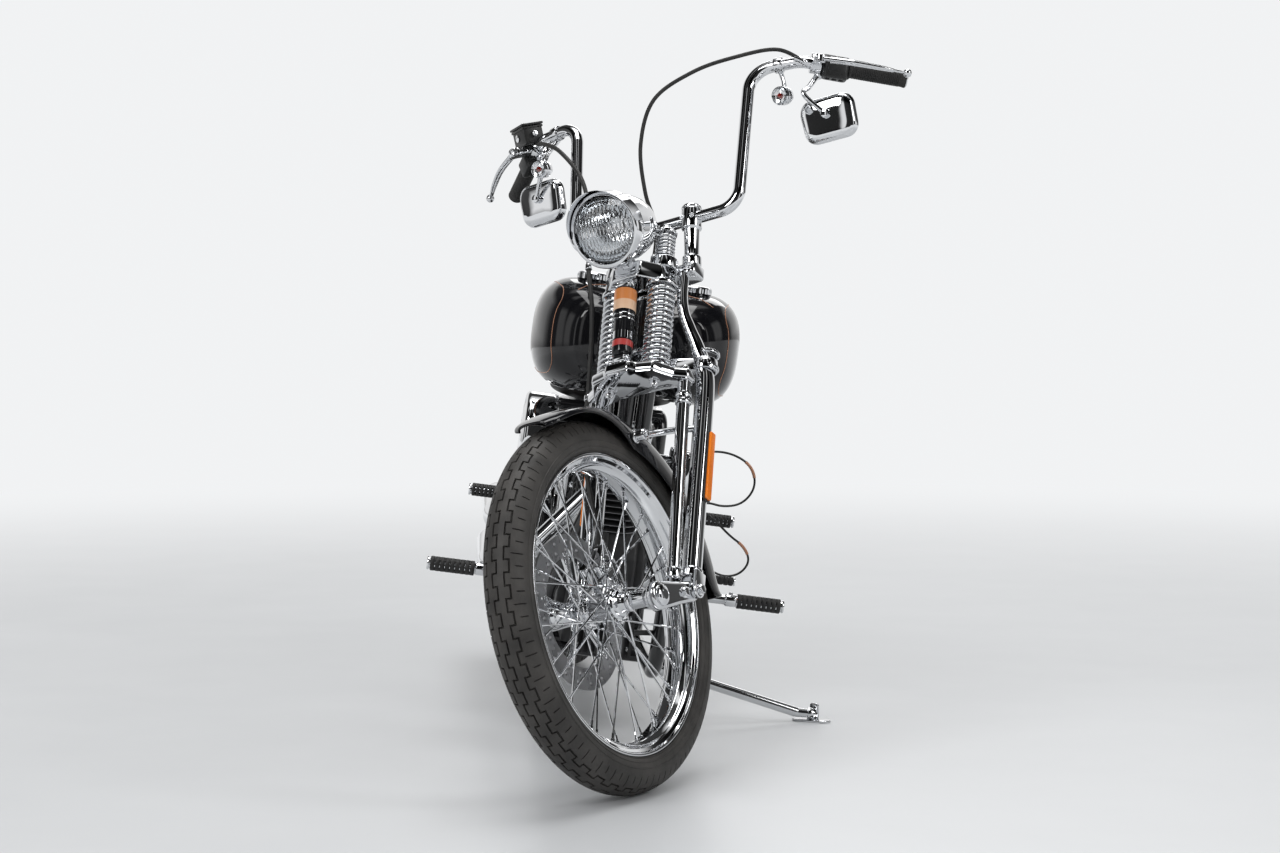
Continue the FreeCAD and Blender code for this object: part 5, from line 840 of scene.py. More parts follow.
def makeLowerTree(form):
    s = fork["lowTree"]
    addTree(form, s, [(30, 7.5), (104, -22), (104, -30), (40, -30)], 7, 4, 26, 3)
    for side in signs:
        turn(form, [(1, 19.5), (1, 23), (3, 24), (23, 24), (25, 23), (25, 19.5)], head(side * 114, s, -40),
            steerAxis, 48, 0.4)
        for height in (7, 19):
            addBolt(form, head(side * 84, s + height, -22), aheadAxis, 4.5, 5)
    bar(form, head(0, s, 0), steerAxis * (1061 - s), 14, 32)


makePieces(
    (makeRigidLegs, "rigid_legs", chrome, "fork_rear_legs"),
    (makeRockers, "rocker_pair", chrome, "rockers"),
    (makeSpringFork, "spring_fork_bridge", chrome, "spring_fork"),
    (makeSprings, "fork_coils", chrome, "fork_springs", 50),
    (makeShock, "fork_damper", [chrome, gloss, labelCream, labelOrange, labelRed], "fork_shock"),
    (makeUpperTree, "upper_tree_tower", chrome, "fork_upper_tree"),
    (makeLowerTree, "lower_tree_clamps", chrome, "fork_lower_tree"),
)
print("fork done")


# Handlebar and what it carries, in the frame of the upright, unsteered motorcycle
bars = {"radius": 12.7, "middleY": 511.5, "middleZ": 1045, "lowHalf": 192, "topHalf": 208, "topY": 664,
    "topZ": 1319, "outerHalf": 312, "outerY": 684, "outerZ": 1311, "endHalf": 475, "endY": 800, "endZ": 1232,
    "gripLength": 118, "control": 52, "perch": 24, "lever": 175}
gripLength = bars["gripLength"]
clampReach = gripLength + bars["control"]
barMiddle = vec(0, bars["middleY"], bars["middleZ"])
barTop = vec(bars["topHalf"], bars["topY"], bars["topZ"])
barOuter = vec(bars["outerHalf"], bars["outerY"], bars["outerZ"])
barEnd = vec(bars["endHalf"], bars["endY"], bars["endZ"])
barRun = (barEnd - barOuter).normalized()
barAhead = barRun.cross(zAxis).normalized()
if barAhead.y > 0:
    barAhead = -barAhead
barDown = barRun.cross(barAhead).normalized()
if barDown.z > 0:
    barDown = -barDown


def barAlong(distance):
    return barEnd - barRun * distance


def makeHandlebar(form):
    left = [barMiddle + xAxis * bars["lowHalf"], barTop, barOuter, barEnd]
    right = [vec(-point.x, point.y, point.z) for point in reversed(left)]
    sweep(form, arcPath(right + left, (52, 52, 42, 42, 52, 52), 0.1), bars["radius"], 32)
    for side in signs:
        flip = Matrix.Diagonal(vec(side, 1, 1))
        turn(form, [(-2, 0), (-2, 12), (0, 14), (1.5, 16), (6, 16.5), (8, 15), (9, 9), (9.5, 0)],
            flip @ (barEnd - barRun * 4.6), flip @ barRun, 40, 0.3)


def makeRisers(form):
    low = head(85, 1124, -10)
    middle = barMiddle + xAxis * 85
    run = (middle - low).normalized()
    length = (middle - low).length
    outline = [(0, 0), (0, 17), (2, 19), (16, 19.5), (20, 19.5), (22, 17), (24, 15.4), (length * 0.35, 15.2),
        (length - 26, 15.6), (length - 24, 19), (length - 22, 20.5), (length + 17, 20.5), (length + 19, 20),
        (length + 20, 18.5), (length + 21, 20), (length + 24, 20.4), (length + 27, 19), (length + 28, 0)]
    turn(form, outline, low, run, 56, 0.4)
    for side in signs:
        at = middle + run * 8 + vec(side * 11, -19, 0)
        turn(form, [(0, 0), (0, 4.4), (4, 4.4), (4, 2.6), (2, 2.4), (2, 0)], at, -yAxis, 20, 0.2)
    addMirrored(form)


# Grips with fine ribs and a rolled inner flange
def makeGrips(form):
    start = barAlong(gripLength)
    outline = [(0, 12.8), (0, 18), (1.5, 20), (4, 20), (5.5, 17.5)]
    along = 9
    while along < gripLength - 12:
        outline += [(along, 16), (along + 0.5, 16.9), (along + 2.3, 16.9), (along + 2.8, 16)]
        along += 3.6
    outline += [(gripLength - 6, 16.4), (gripLength - 3, 17), (gripLength + 1, 17), (gripLength + 1, 12.8)]
    turn(form, outline, start, barRun, 48)
    addMirrored(form)


def makeControls(form):
    start = barAlong(clampReach + 0.3)
    inner = start - barRun * (bars["perch"] + 0.6)
    turn(form, [(0, 13), (0, 21), (2, 23), (24, 23), (25, 22), (27, 22), (28, 23), (50, 23), (52, 21),
        (52, 13)], start, barRun, 48, 0.5)
    box = start + barRun * 26 + (barAhead + barDown) * 11.5
    softBox(form, box, barRun, barAhead, (50, 36, 32), 8, 3)
    for reach in (-14, 0, 14):
        at = box + barRun * reach + barDown * 15
        turn(form, [(0, 0), (0, 5.2), (2.5, 5.2), (3.5, 4), (3.6, 0)], at, barDown, 24, 0.3, 0)
    for spread in (-12, 12):
        addBolt(form, start + barRun * (26 + spread) + barDown * 22, barDown, 3.2, 3, 1)
    knuckle = inner + barRun * 12 + barAhead * 31
    turn(form, [(0, 13), (0, 19), (2, 20.7), (22, 20.7), (24, 19), (24, 13)], inner, barRun, 48, 0.5, 1)
    softBox(form, knuckle, barAhead, barRun, (50, 24, 15), 7, 3, 1)
    addBolt(form, inner + barRun * 12 + barAhead * 50 - barDown * 7, -barDown, 5.5, 4, 1)
    for spread in (-6, 6):
        addBolt(form, inner + barRun * (12 + spread) - barAhead * 19, -barAhead, 3.4, 4, 1)
    addMirrored(form)
    makeReservoir(form, inner)


# Brake reservoir on the right, with its lid, screws and banjo fitting
def makeReservoir(form, inner):
    place = inner + barRun * 12 + barAhead * 16 + zAxis * 30
    place.x = -place.x
    run = vec(-barRun.x, barRun.y, 0).normalized()
    softBox(form, place, run, zAxis, (62, 40, 44), 7, 3)
    softBox(form, place + zAxis * 22, run, zAxis, (69, 5, 50), 2, 1.6)
    softBox(form, place + zAxis * 16, run, zAxis, (66, 5, 47), 2, 1.2)
    across = run.cross(zAxis)
    for a in (-27, 27):
        for b in (-18, 18):
            turn(form, [(0, 0), (0, 3.6), (1.2, 3.4), (1.6, 2.6), (1.6, 0)],
                place + run * a + across * b + zAxis * 24.4, zAxis, 20, 0.1, 1)
    turn(form, [(0, 0), (0, 7), (1, 8), (2, 8), (2, 0)], place - across * 22.4 + run * 6, -across, 28, 0.2, 1)
    turn(form, plug(0, 8, 9, 6, 5), place - run * 31, -run, 24, 0.3, 1)


# Levers: a flat tapered blade with a hollow along it and a ball end
def makeLevers(form):
    start = barAlong(clampReach + bars["perch"] / 2 + 0.6)
    knuckle = start + barAhead * 56.1
    tip = knuckle + barRun * bars["lever"] + barAhead * 8
    up = barRun.cross(barAhead).normalized()
    points = [knuckle - barRun * 12, knuckle + barAhead * 4 + barRun * 14,
        knuckle + barRun * 60 + barAhead * 14, knuckle + barRun * 110 + barAhead * 14,
        tip - barRun * 24 + barAhead * 2, tip]
    path, widths = smoothPath(points, 7, [7.5, 8.5, 8, 7, 5.2, 4])
    ring = [(x if abs(x) < 0.35 else copysign(abs(x) ** 0.6, x), copysign(abs(y) ** 0.7,
        y) * 0.5) for x, y in around(20)]
    sweep(form, path, widths, 20, ring, side=barAhead)
    for side in signs:
        groove = [point + up * (side * width * 0.44) for point, width in zip(path[8:-8], widths[8:-8])]
        sweep(form, groove, [width * 0.34 for width in widths[8:-8]], 12)
    dome = [(-9 + 18 * k / 12, 9 * sqrt(max(0, 1 - ((k - 6) / 6) ** 2))) for k in range(13)]
    turn(form, dome, tip, barRun, 28)
    turn(form, collar(8, 0, 10, 7, 11), knuckle, up, 32, 0.4)
    addMirrored(form)


# Mirrors: deep dished backs, a rolled rim, the silvered glass and a curved arm
mirrorSize = {"width": 118, "height": 92, "centre": vec(345, 682, 1184)}


def makeMirrors(form):
    ahead = vec(0.14, -1, 0.1).normalized()
    across = vec(1, 0.14, 0)
    across = (across - ahead * across.dot(ahead)).normalized()
    up = ahead.cross(across)
    centre = mirrorSize["centre"]
    w, h = mirrorSize["width"] / 2, mirrorSize["height"] / 2
    layers = ((-12, 0.90), (-12, 0.965), (-11, 0.99), (-9, 1), (-5, 1), (-3.5, 0.985), (2.6, 0.96),
        (6.4, 0.91), (9, 0.82), (10.6, 0.66), (11.5, 0.4), (11.8, 0.2))
    rings = []
    for depth, share in layers:
        corners = [centre + across * (a * w * share) + up * (b * h * share) + ahead * depth
            for a, b in ((1, 1), (-1, 1), (-0.93, -0.98), (0.97, -0.98))]
        rings.append(roundedOutline(corners, 27 * share, 7))
    loftRings(form, rings)
    foot = barAlong(clampReach + bars["perch"] + 0.9)
    joint = centre + ahead * 17 + up * 9
    top = foot - zAxis * 21 + barRun * 12
    knee = vec(top.x - 20, joint.y - 10, top.z * 0.55 + joint.z * 0.45)
    path, radii = smoothPath([top, top.lerp(knee, 0.6), knee, joint], 9, [6, 5.6, 5.2, 4.6])
    sweep(form, path, radii, 20)
    turn(form, [(-8, 0), (-8, 5), (-5, 8.4), (0, 9.6), (5, 8), (7, 0)], joint, ahead, 32)
    turn(form, [(-2, 0), (-2, 8), (0, 9), (7, 9), (9, 7), (9, 0)], top, (joint - top), 28, 0.3)
    corners = [centre + across * (a * w * 0.93) + up * (b * h * 0.93) - ahead * 11.7 for a, b in ((1, 1), (-1,
        1), (-0.93, -1), (0.97, -1))]
    slab(form, roundedOutline(corners, 25, 7), -ahead * 0.2, 0, 1, 1)
    addMirrored(form)


# Bullet lamps under the bar, with a rolled bezel and a curved stalk
barLamp = vec(289, 604, 1244)


def makeBarLamps(form):
    turn(form, [(2, 0), (2, 14.5), (0.4, 15.6), (-0.2, 17), (0.6, 18.6), (2.6, 19), (5, 18.9), (6, 18),
        (7, 18.7), (16, 19), (26, 17.6), (35, 13.6), (41, 8), (44, 4), (45.5, 0)], barLamp, yAxis, 56)
    clamp = barOuter.lerp(barTop, 0.42)
    down = clamp - zAxis * 13
    path, radii = smoothPath([barLamp + vec(0, 27, 12), barLamp + vec(-5, 42, 30), down], 9, [6, 4.6, 5.5])
    sweep(form, path, radii, 20)
    turn(form, collar(9, 12.8, 15, 8, 16), clamp, barTop - barOuter, 40, 0.4)
    addMirrored(form)


def makeBarLenses(form):
    turn(form, [(1.8, 0), (1.6, 7), (0.6, 11), (-0.8, 14.4), (0.2, 14.7), (2, 14.7), (2, 0)], barLamp, yAxis,
        48)
    turn(form, [(1.6, 0), (1.6, 5.6), (-0.4, 5.2), (-1.8, 3.6), (-2.4, 0)], barLamp, yAxis, 32, 0, 1)
    turn(form, [(-0.2, 14.5), (-1.6, 14.3), (-3.6, 11.5), (-5, 7), (-5.6, 0), (-4.2, 0), (-3.7, 6.6),
        (-2.4, 11), (-0.8, 13.4), (-0.2, 13.6)], barLamp, yAxis, 48, 0, 2)
    addMirrored(form)


makePieces(
    (makeHandlebar, "handlebar_tube", chrome, "handlebar", 40),
    (makeRisers, "riser_pair", chrome, "risers"),
    (makeGrips, "grip_ribs", rubber, "grips", 40),
    (makeControls, "switch_boxes", [plastic, chrome], "hand_controls"),
    (makeLevers, "lever_pair", chrome, "hand_levers"),
    (makeMirrors, "mirror_pair", [chrome, silvered], "mirrors"),
    (makeBarLamps, "bullet_lamps", chrome, "bar_lamps"),
    (makeBarLenses, "bullet_lenses", [silvered, redLens, glass], "bar_lamp_lenses", 30),
)
print("handlebar done")


# Headlamp: shell, bezel, visor, reflector, bulb and the fluted lens
lamp = {"radius": 76, "length": 159, "front": vec(0, 315, 1048), "rise": 7, "visor": 30, "flute": 8,
    "fluteDepth": 2.2, "bands": 7}
lampFront = lamp["front"]
lampAxis = vec(0, lamp["length"], lamp["rise"]).normalized()


def makeHeadlamp(form):
    r, l = lamp["radius"], lamp["length"]
    shell = [(-7, 0.875), (-9.4, 0.89), (-9.5, 0.93), (-8, 0.965), (-3, 0.995), (3, 1), (11, 1), (14, 0.985),
        (15.5, 0.95), (22, 0.94)]
    shell += [(l * along, out) for along, out in ((0.3, 0.925), (0.42, 0.89), (0.54, 0.835), (0.66, 0.745),
        (0.78, 0.61), (0.88, 0.43), (0.95, 0.25), (0.985, 0.1), (1, 0))]
    turn(form, [(along, r * out) for along, out in shell], lampFront, lampAxis, 96)
    turn(form, [(16, r * 0.93), (16, r * 0.972), (19, r * 0.98), (22, r * 0.965), (22, r * 0.93)], lampFront,
        lampAxis, 96, 0.4)
    makeVisor(form)
    foot = lampFront + lampAxis * (l * 0.34) - vec(0, 0, r * 0.86)
    base = head(0, fork["top"], 83)
    run = (foot - base).normalized()
    height = (foot - base).length
    turn(form, [(-4, 0), (-4, 15), (0, 16.4), (5, 15), (8, 12), (height * 0.55, 10.5), (height - 8, 12),
        (height, 17), (height + 7, 21), (height + 12, 22), (height + 12, 0)], base, run, 48, 0.4)
    addAcorn(form, foot + lampAxis * 16 + zAxis * 4, (0, 0.4, -1), 5)
    addBolt(form, lampFront + lampAxis * 4 - vec(0, 0, r - 1), -zAxis, 4, 6)
    bowl = [(4, 0.862 * r), (14, 0.85 * r), (0.2 * l, 0.8 * r), (0.3 * l, 0.7 * r), (0.4 * l, 0.54 * r),
        (0.47 * l, 0.36 * r), (0.5 * l, 0.16 * r), (0.5 * l, 0)]
    turn(form, bowl, lampFront, lampAxis, 72, 0, 1)
    bulb = lampFront + lampAxis * (0.47 * l)
    turn(form, [(-34, 0), (-33, 5), (-28, 8.4), (-20, 9.4), (-8, 8.4), (0, 8), (0, 0)], bulb, lampAxis, 32, 0,
        2)
    turn(form, [(-39, 0), (-38, 6), (-34, 10.4), (-27, 11), (-27, 10), (-34, 9), (-37, 0)], bulb, lampAxis,
        32, 0)


# Visor over the upper half, longest in the middle
def makeVisor(form):
    part = bmesh.new()
    r = lamp["radius"]
    up = xAxis.cross(lampAxis)
    points = [lampFront + xAxis * (r + 0.6) + lampAxis * along for along in (13, 4, -4, -10)]
    spinChain(part, points, lampFront, lampAxis, -pi, 48)
    for vert in part.verts:
        out = vert.co - lampFront
        along = out.dot(lampAxis)
        if along < 0:
            swing = max(0, out.dot(up)) / r
            stretch = 0.35 + 0.65 * min(1, swing) ** 0.6
            vert.co += lampAxis * (along * (lamp["visor"] / 10 * stretch - 1))
            vert.co -= (out - lampAxis * along).normalized() * (along / 10 * stretch)
    turnOut(part)
    bmesh.ops.solidify(part, geom=part.faces[:], thickness=1.4)
    turnOut(part)
    pour(part, form)


def makeLens(form):
    r = lamp["radius"]
    bmesh.ops.create_grid(form, x_segments=150, y_segments=60, size=0.5)
    reach = 0.868 * r
    up = xAxis.cross(lampAxis)
    for vert in form.verts:
        a, b = vert.co.x * 2, vert.co.y * 2
        x = a * sqrt(max(0, 1 - b * b / 2)) * reach
        y = b * sqrt(max(0, 1 - a * a / 2)) * reach
        out = min(1, hypot(x, y) / reach)
        vert.co = lampFront + xAxis * x + up * y + lampAxis * (-17 + 12 * out ** 2.2)
    for vert in pushFaces(form, form.faces[:], vec(0, 0, 0)):
        away = vert.co - lampFront
        x, y = away.x, away.dot(up)
        row = floor((y / reach + 1) * lamp["bands"] / 2)
        ease = min(1, (1 - hypot(x, y) / reach) * 8)
        flute = abs(sin(pi * (x / lamp["flute"] + row * 0.5)))
        vert.co += lampAxis * (3.2 + max(0, ease) * lamp["fluteDepth"] * (flute if row % 2 else flute * 0.6))


# Held cables: the clutch cable and the brake hose with their ferrules
cables = {"clutch": 4, "hose": 4.5, "hoseRoute": ((-322, 1532, 6), (-284, 1508, 34), (-226, 1462, 47),
    (-164, 1372, 42), (-140, 1262, 36), (-134, 1160, 33), (-122, 1080, 28), (-120, 1010, 20), (-122, 940, 12),
    (-124, 868, 6), (-118, 790, 18), (-103, 710, 24), (-88, 640, 16), (-77, 575, 2), (-75, 515, -6))}


def makeCables(form):
    start = barAlong(194.9) - barRun * 0.3 - yAxis * 20.7
    points = [start]
    for across, back, up in ((0.88, 0.9, 0.995), (0.66, 0.62, 1.003), (0.42, 0.36, 0.975), (0.17, 0.16, 0.88),
            (0.05, 0.02, 0.66), (0.03, -0.06, 0.4), (0.05, -0.06, 0.2)):
        points.append(vec(start.x * across, 511.5 + (start.y - 511.5) * back - 16, 969 + 373 * up))
    points.append(head(14, 1128, 22.4))
    sweep(form, smoothPath(points, 10), cables["clutch"], 16)
    turn(form, [(-2, 0), (-2, 7), (4, 7.4), (6, 5.6), (24, 5.2), (26, 0)], start, points[1] - start, 28, 0.3,
        1)
    turn(form, [(-3, 0), (-3, 6.4), (20, 6), (24, 4.6), (24, 0)], points[-1], points[-2] - points[-1], 28,
        0.3, 1)
    hose = [head(*point) for point in cables["hoseRoute"]]
    sweep(form, smoothPath(hose, 8), cables["hose"], 16)
    for at, ahead in ((hose[0], hose[1] - hose[0]), (hose[-1], hose[-2] - hose[-1])):
        turn(form, [(-3, 0), (-3, 7), (6, 7), (8, 6), (24, 5.8), (26, 0)], at, ahead, 6, 0.4, 1)
    for place in (5, 9):
        run = hose[place + 1] - hose[place - 1]
        turn(form, collar(6, 4.4, 6.2, 5, 7), hose[place], run, 28, 0.3, 1)


# Fender: a crowned sheet turned about the axle, with a rolled edge all round
def makeFenderSheet(form, centre, size):
    part = bmesh.new()
    side = outAt(size["start"])
    inner, edge = size["inner"], size["inner"] - size["depth"]
    profile = []
    count = 20
    for k in range(count + 1):
        swing = -pi / 2 + pi * k / count
        bulge = 2 / size["crown"]
        x = size["half"] * copysign(abs(sin(swing)) ** bulge, sin(swing))
        profile.append((x, edge + size["depth"] * abs(cos(swing)) ** bulge))
    reach = radians(size["end"] - size["start"])
    points = [centre + side * radius + xAxis * x for x, radius in profile]
    spinChain(part, points, centre, -xAxis, reach, size["steps"])
    for vert in part.verts:
        out = vec(0, vert.co.y - centre.y, vert.co.z - centre.z)
        radius = out.length
        wide, deep = taperAt(size, out)
        vert.co += out.normalized() * ((inner - radius) * (1 - deep))
        vert.co.x *= wide
    turnOut(part)
    bmesh.ops.solidify(part, geom=part.faces[:], thickness=-size["wall"])
    turnOut(part)
    pour(part, form)
    steps = size["steps"] * 2
    swings = [reach * k / steps for k in range(steps + 1)]
    loop = [(swing, size["half"], edge) for swing in swings]
    loop += [(reach, *place) for place in reversed(profile[1:-1])]
    loop += [(swing, -size["half"], edge) for swing in reversed(swings)]
    loop += [(0, *place) for place in profile[1:-1]]
    sweep(form, [edgePoint(centre, size, *place) for place in loop], size["bead"], 12, closed=True)


# Shares of the width and of the depth that the sheet has this near its ends
def taperAt(size, out):
    swing = degrees(atan2(out.z, -out.y))
    if swing < -90:
        swing += 360
    tip = min(1, max(0, (swing - size["start"]) / size["tip"]))
    ahead = min(1, max(0, (swing - size["start"]) / size["sweep"]))
    behind = min(1, max(0, (size["end"] - swing) / size["rounding"]))
    wide = 0.5 + 0.5 * sqrt(1 - (1 - tip) ** 2)
    deep = size["least"] + (1 - size["least"]) * ahead ** 3
    return wide, min(deep, 0.62 + 0.38 * sqrt(1 - (1 - behind) ** 2))


def edgePoint(centre, size, swing, x, radius):
    out = outAt(degrees(swing) + size["start"])
    wide, deep = taperAt(size, out)
    return centre + vec(x * wide, 0, 0) + out * (size["inner"] - (size["inner"] - radius) * deep
        + size["wall"] / 2)


# The front edge sweeps back from a tip at the crown to the corner beside the stay
frontFender = {"inner": 366, "half": 58, "depth": 62, "start": 73, "end": 186, "wall": 2.6, "crown": 2.7,
    "bead": 2.6, "steps": 72, "rounding": 9, "tip": 15, "sweep": 43, "least": 0.16}


def makeFrontFender(form):
    makeFenderSheet(form, frontAxle, frontFender)


# Caliper: a body curved round the disc, with cylinder bosses, bolts and pads
def makeCaliper(form, centre, place, turned, width, side, arm):
    swing = radians(turned)
    out = vec(0, sin(swing), cos(swing))
    tangent = vec(0, -out.z, out.y)
    w = width / 2
    reach = 92 / 131
    part = bmesh.new()
    at = centre + xAxis * place

    def reachOut(share, radius):
        return at + (Matrix.Rotation(share, 3, xAxis) @ out) * radius

    profile = [(-w, 103), (-5.5, 103), (-5.5, 151), (5.5, 151), (5.5, 103), (w, 103), (w, 150), (w - 7, 160),
        (-w + 7, 160), (-w, 150)]
    verts = [part.verts.new(reachOut(-reach / 2, radius) + xAxis * along) for along, radius in profile]
    face = part.faces.new(verts)
    bmesh.ops.spin(part, geom=[face] + face.edges[:] + verts, cent=at, axis=xAxis, angle=reach, steps=14)
    bmesh.ops.remove_doubles(part, verts=part.verts, dist=0.01)
    turnOut(part)
    softenEdges(part, sharpEdges(part, 35), 2.2, 2)
    pour(part, form)
    for share in (-0.26, 0.26):
        middle = reachOut(share, 127)
        for way in signs:
            face = middle + vec(way * (w - 2), 0, 0)
            turn(form, [(0, 0), (0, 19), (2.4, 19), (3.4, 17.6), (3.4, 12), (2.4, 11), (2.4, 0)], face,
                (way, 0, 0), 40, 0.2)
        for radius in (108, 153):
            addBolt(form, reachOut(share * 1.22, radius) + xAxis * (side * (w - 0.6)), xAxis * side, 4, 4)
    turn(form, [(0, 0), (0, 4), (8, 4), (9, 3), (9, 2.4), (15, 2.4), (15, 0)], at + out * 158 + tangent * 22,
        out, 6, 0.2, 1)
    for share in (-0.3, 0.3):
        pin = reachOut(share, 146) - xAxis * (w - 4)
        bar(form, pin, xAxis * (2 * w - 8), 3, 14, 1)
    if arm is not None:
        sweep(form, arm, 9, 24)
        turn(form, [(0, 0), (0, 13), (3, 14), (9, 14), (12, 10), (12, 0)], arm[0], arm[1] - arm[0], 36, 0.4)


def makeFrontCaliper(form):
    arm = [head(x, fork["foot"] + 19, legSet) for x in (-74.3, -98)]
    makeCaliper(form, frontAxle, -57, 66, 52, -1, arm)


def makeReflectors(form):
    for side in signs:
        middle = head(side * 139.3, 607, legSet) + steerAxis * 75
        softBox(form, middle - xAxis * (side * 2.4), steerAxis, aheadAxis, (149, 21.5, 3), 4, 0.5, 1)
        softBox(form, middle + xAxis * (side * 1.2), steerAxis, aheadAxis, (143, 16.5, 5), 3, 1.2, 0, 3)
        for k in range(28):
            at = middle + steerAxis * (k * 5 - 67.5) + xAxis * (side * 3.6)
            softBox(form, at, steerAxis, aheadAxis, (2.2, 13.5, 0.8), 0.8, 0, 0, 1)


makePieces(
    (makeHeadlamp, "headlamp_bowl", [chrome, silvered, glass], "headlamp_shell"),
    (makeLens, "headlamp_glass", glass, "headlamp_lens", 60),
    (makeCables, "cable_pair", [rubber, chrome], "control_cables"),
    (makeFrontFender, "front_guard", gloss, "front_fender", 40),
    (makeFrontCaliper, "front_brake_caliper", [chrome, steel], "front_caliper"),
    (makeReflectors, "side_reflectors", [amber, plastic], "fork_reflectors"),
)
print("headlamp, cables and front fender done")


# Fuel tank: two lobes with a copper pinstripe on each
tank = {"front": 506, "rear": 1015, "z": 815, "height": 116, "lobe": 101, "x": 113, "roundness": 2.7,
    "stations": (0, 0.03, 0.1, 0.25, 0.45, 0.65, 0.82, 0.94, 1), "widths": (0.3, 0.55, 0.8, 0.97, 1, 0.92,
    0.76, 0.56, 0.36), "heights": (0.34, 0.58, 0.82, 0.98, 1, 0.9, 0.7, 0.5, 0.34),
    "drops": (0, 0, 0, 0, 0, 0.04, 0.1, 0.16, 0.2), "stripe": 0.8, "capX": 105, "capY": 640,
    "panel": ((46, -92), (396, -58), (452, 30), (262, 104), (50, 104))}


# Value of a table of shares between its stations, on a smooth curve
def shareAt(stations, shares, along):
    last = len(stations) - 1
    i = max(k for k in range(last) if stations[k] <= along) if along > stations[0] else 0

    def slope(k):
        low, high = max(k - 1, 0), min(k + 1, last)
        return (shares[high] - shares[low]) / (stations[high] - stations[low])

    span = stations[i + 1] - stations[i]
    t = (along - stations[i]) / span
    value = shares[i] * (2 * t ** 3 - 3 * t * t + 1) + shares[i + 1] * (3 * t * t - 2 * t ** 3)
    value += (slope(i) * (t ** 3 - 2 * t * t + t) + slope(i + 1) * (t ** 3 - t * t)) * span
    return min(max(value, min(shares[i], shares[i + 1])), max(shares[i], shares[i + 1]))


def ovalPoint(middle, wide, high, roundness, swing):
    c, s = cos(swing), sin(swing)
    power = 2 / roundness
    return middle + vec(wide * copysign(abs(c) ** power, c), 0, high * copysign(abs(s) ** power, s))


def tankPoint(along, swing, grow=0):
    wide = shareAt(tank["stations"], tank["widths"], along)
    high = shareAt(tank["stations"], tank["heights"], along)
    if along < 0.03:
        nose = 0.4 + 0.6 * sqrt(max(0, 1 - (1 - along / 0.03) ** 2))
        wide, high = 0.55 * nose, 0.58 * nose
    lobe, height = tank["lobe"], tank["height"]
    half = lobe * wide
    z = tank["z"] - height * shareAt(tank["stations"], tank["drops"], along)
    middle = vec(tank["x"] - (lobe - half) * 0.65, tank["front"] + (tank["rear"] - tank["front"]) * along, z)
    return ovalPoint(middle, half + grow, height * high + grow, tank["roundness"], swing)


def makeTanks(form):
    stations = [0, 0.0015, 0.006, 0.013, 0.022] + [0.03 + 0.97 * k / 44 for k in range(45)]
    loftRings(form, [[tankPoint(t, tau * k / 72) for k in range(72)] for t in stations])
    outline = roundedOutline([vec(*corner, 0) for corner in tank["panel"]], 46, 12)
    loop = []
    for low, high in zip(outline, outline[1:] + outline[:1]):
        steps = max(1, int((high - low).length / 7))
        for k in range(steps):
            spot = low.lerp(high, k / steps)
            loop.append(tankPoint(spot.x / 509, spot.y / 108, 0.2))
    sweep(form, loop, tank["stripe"], 6, closed=True, index=1)
    arc = [tankPoint(0.10 + 0.09 * sin(pi * k / 60) ** 2, 1.2 + 1.35 * k / 60, 0.2) for k in range(61)]
    sweep(form, arc, tank["stripe"], 6, index=1)
    addMirrored(form)


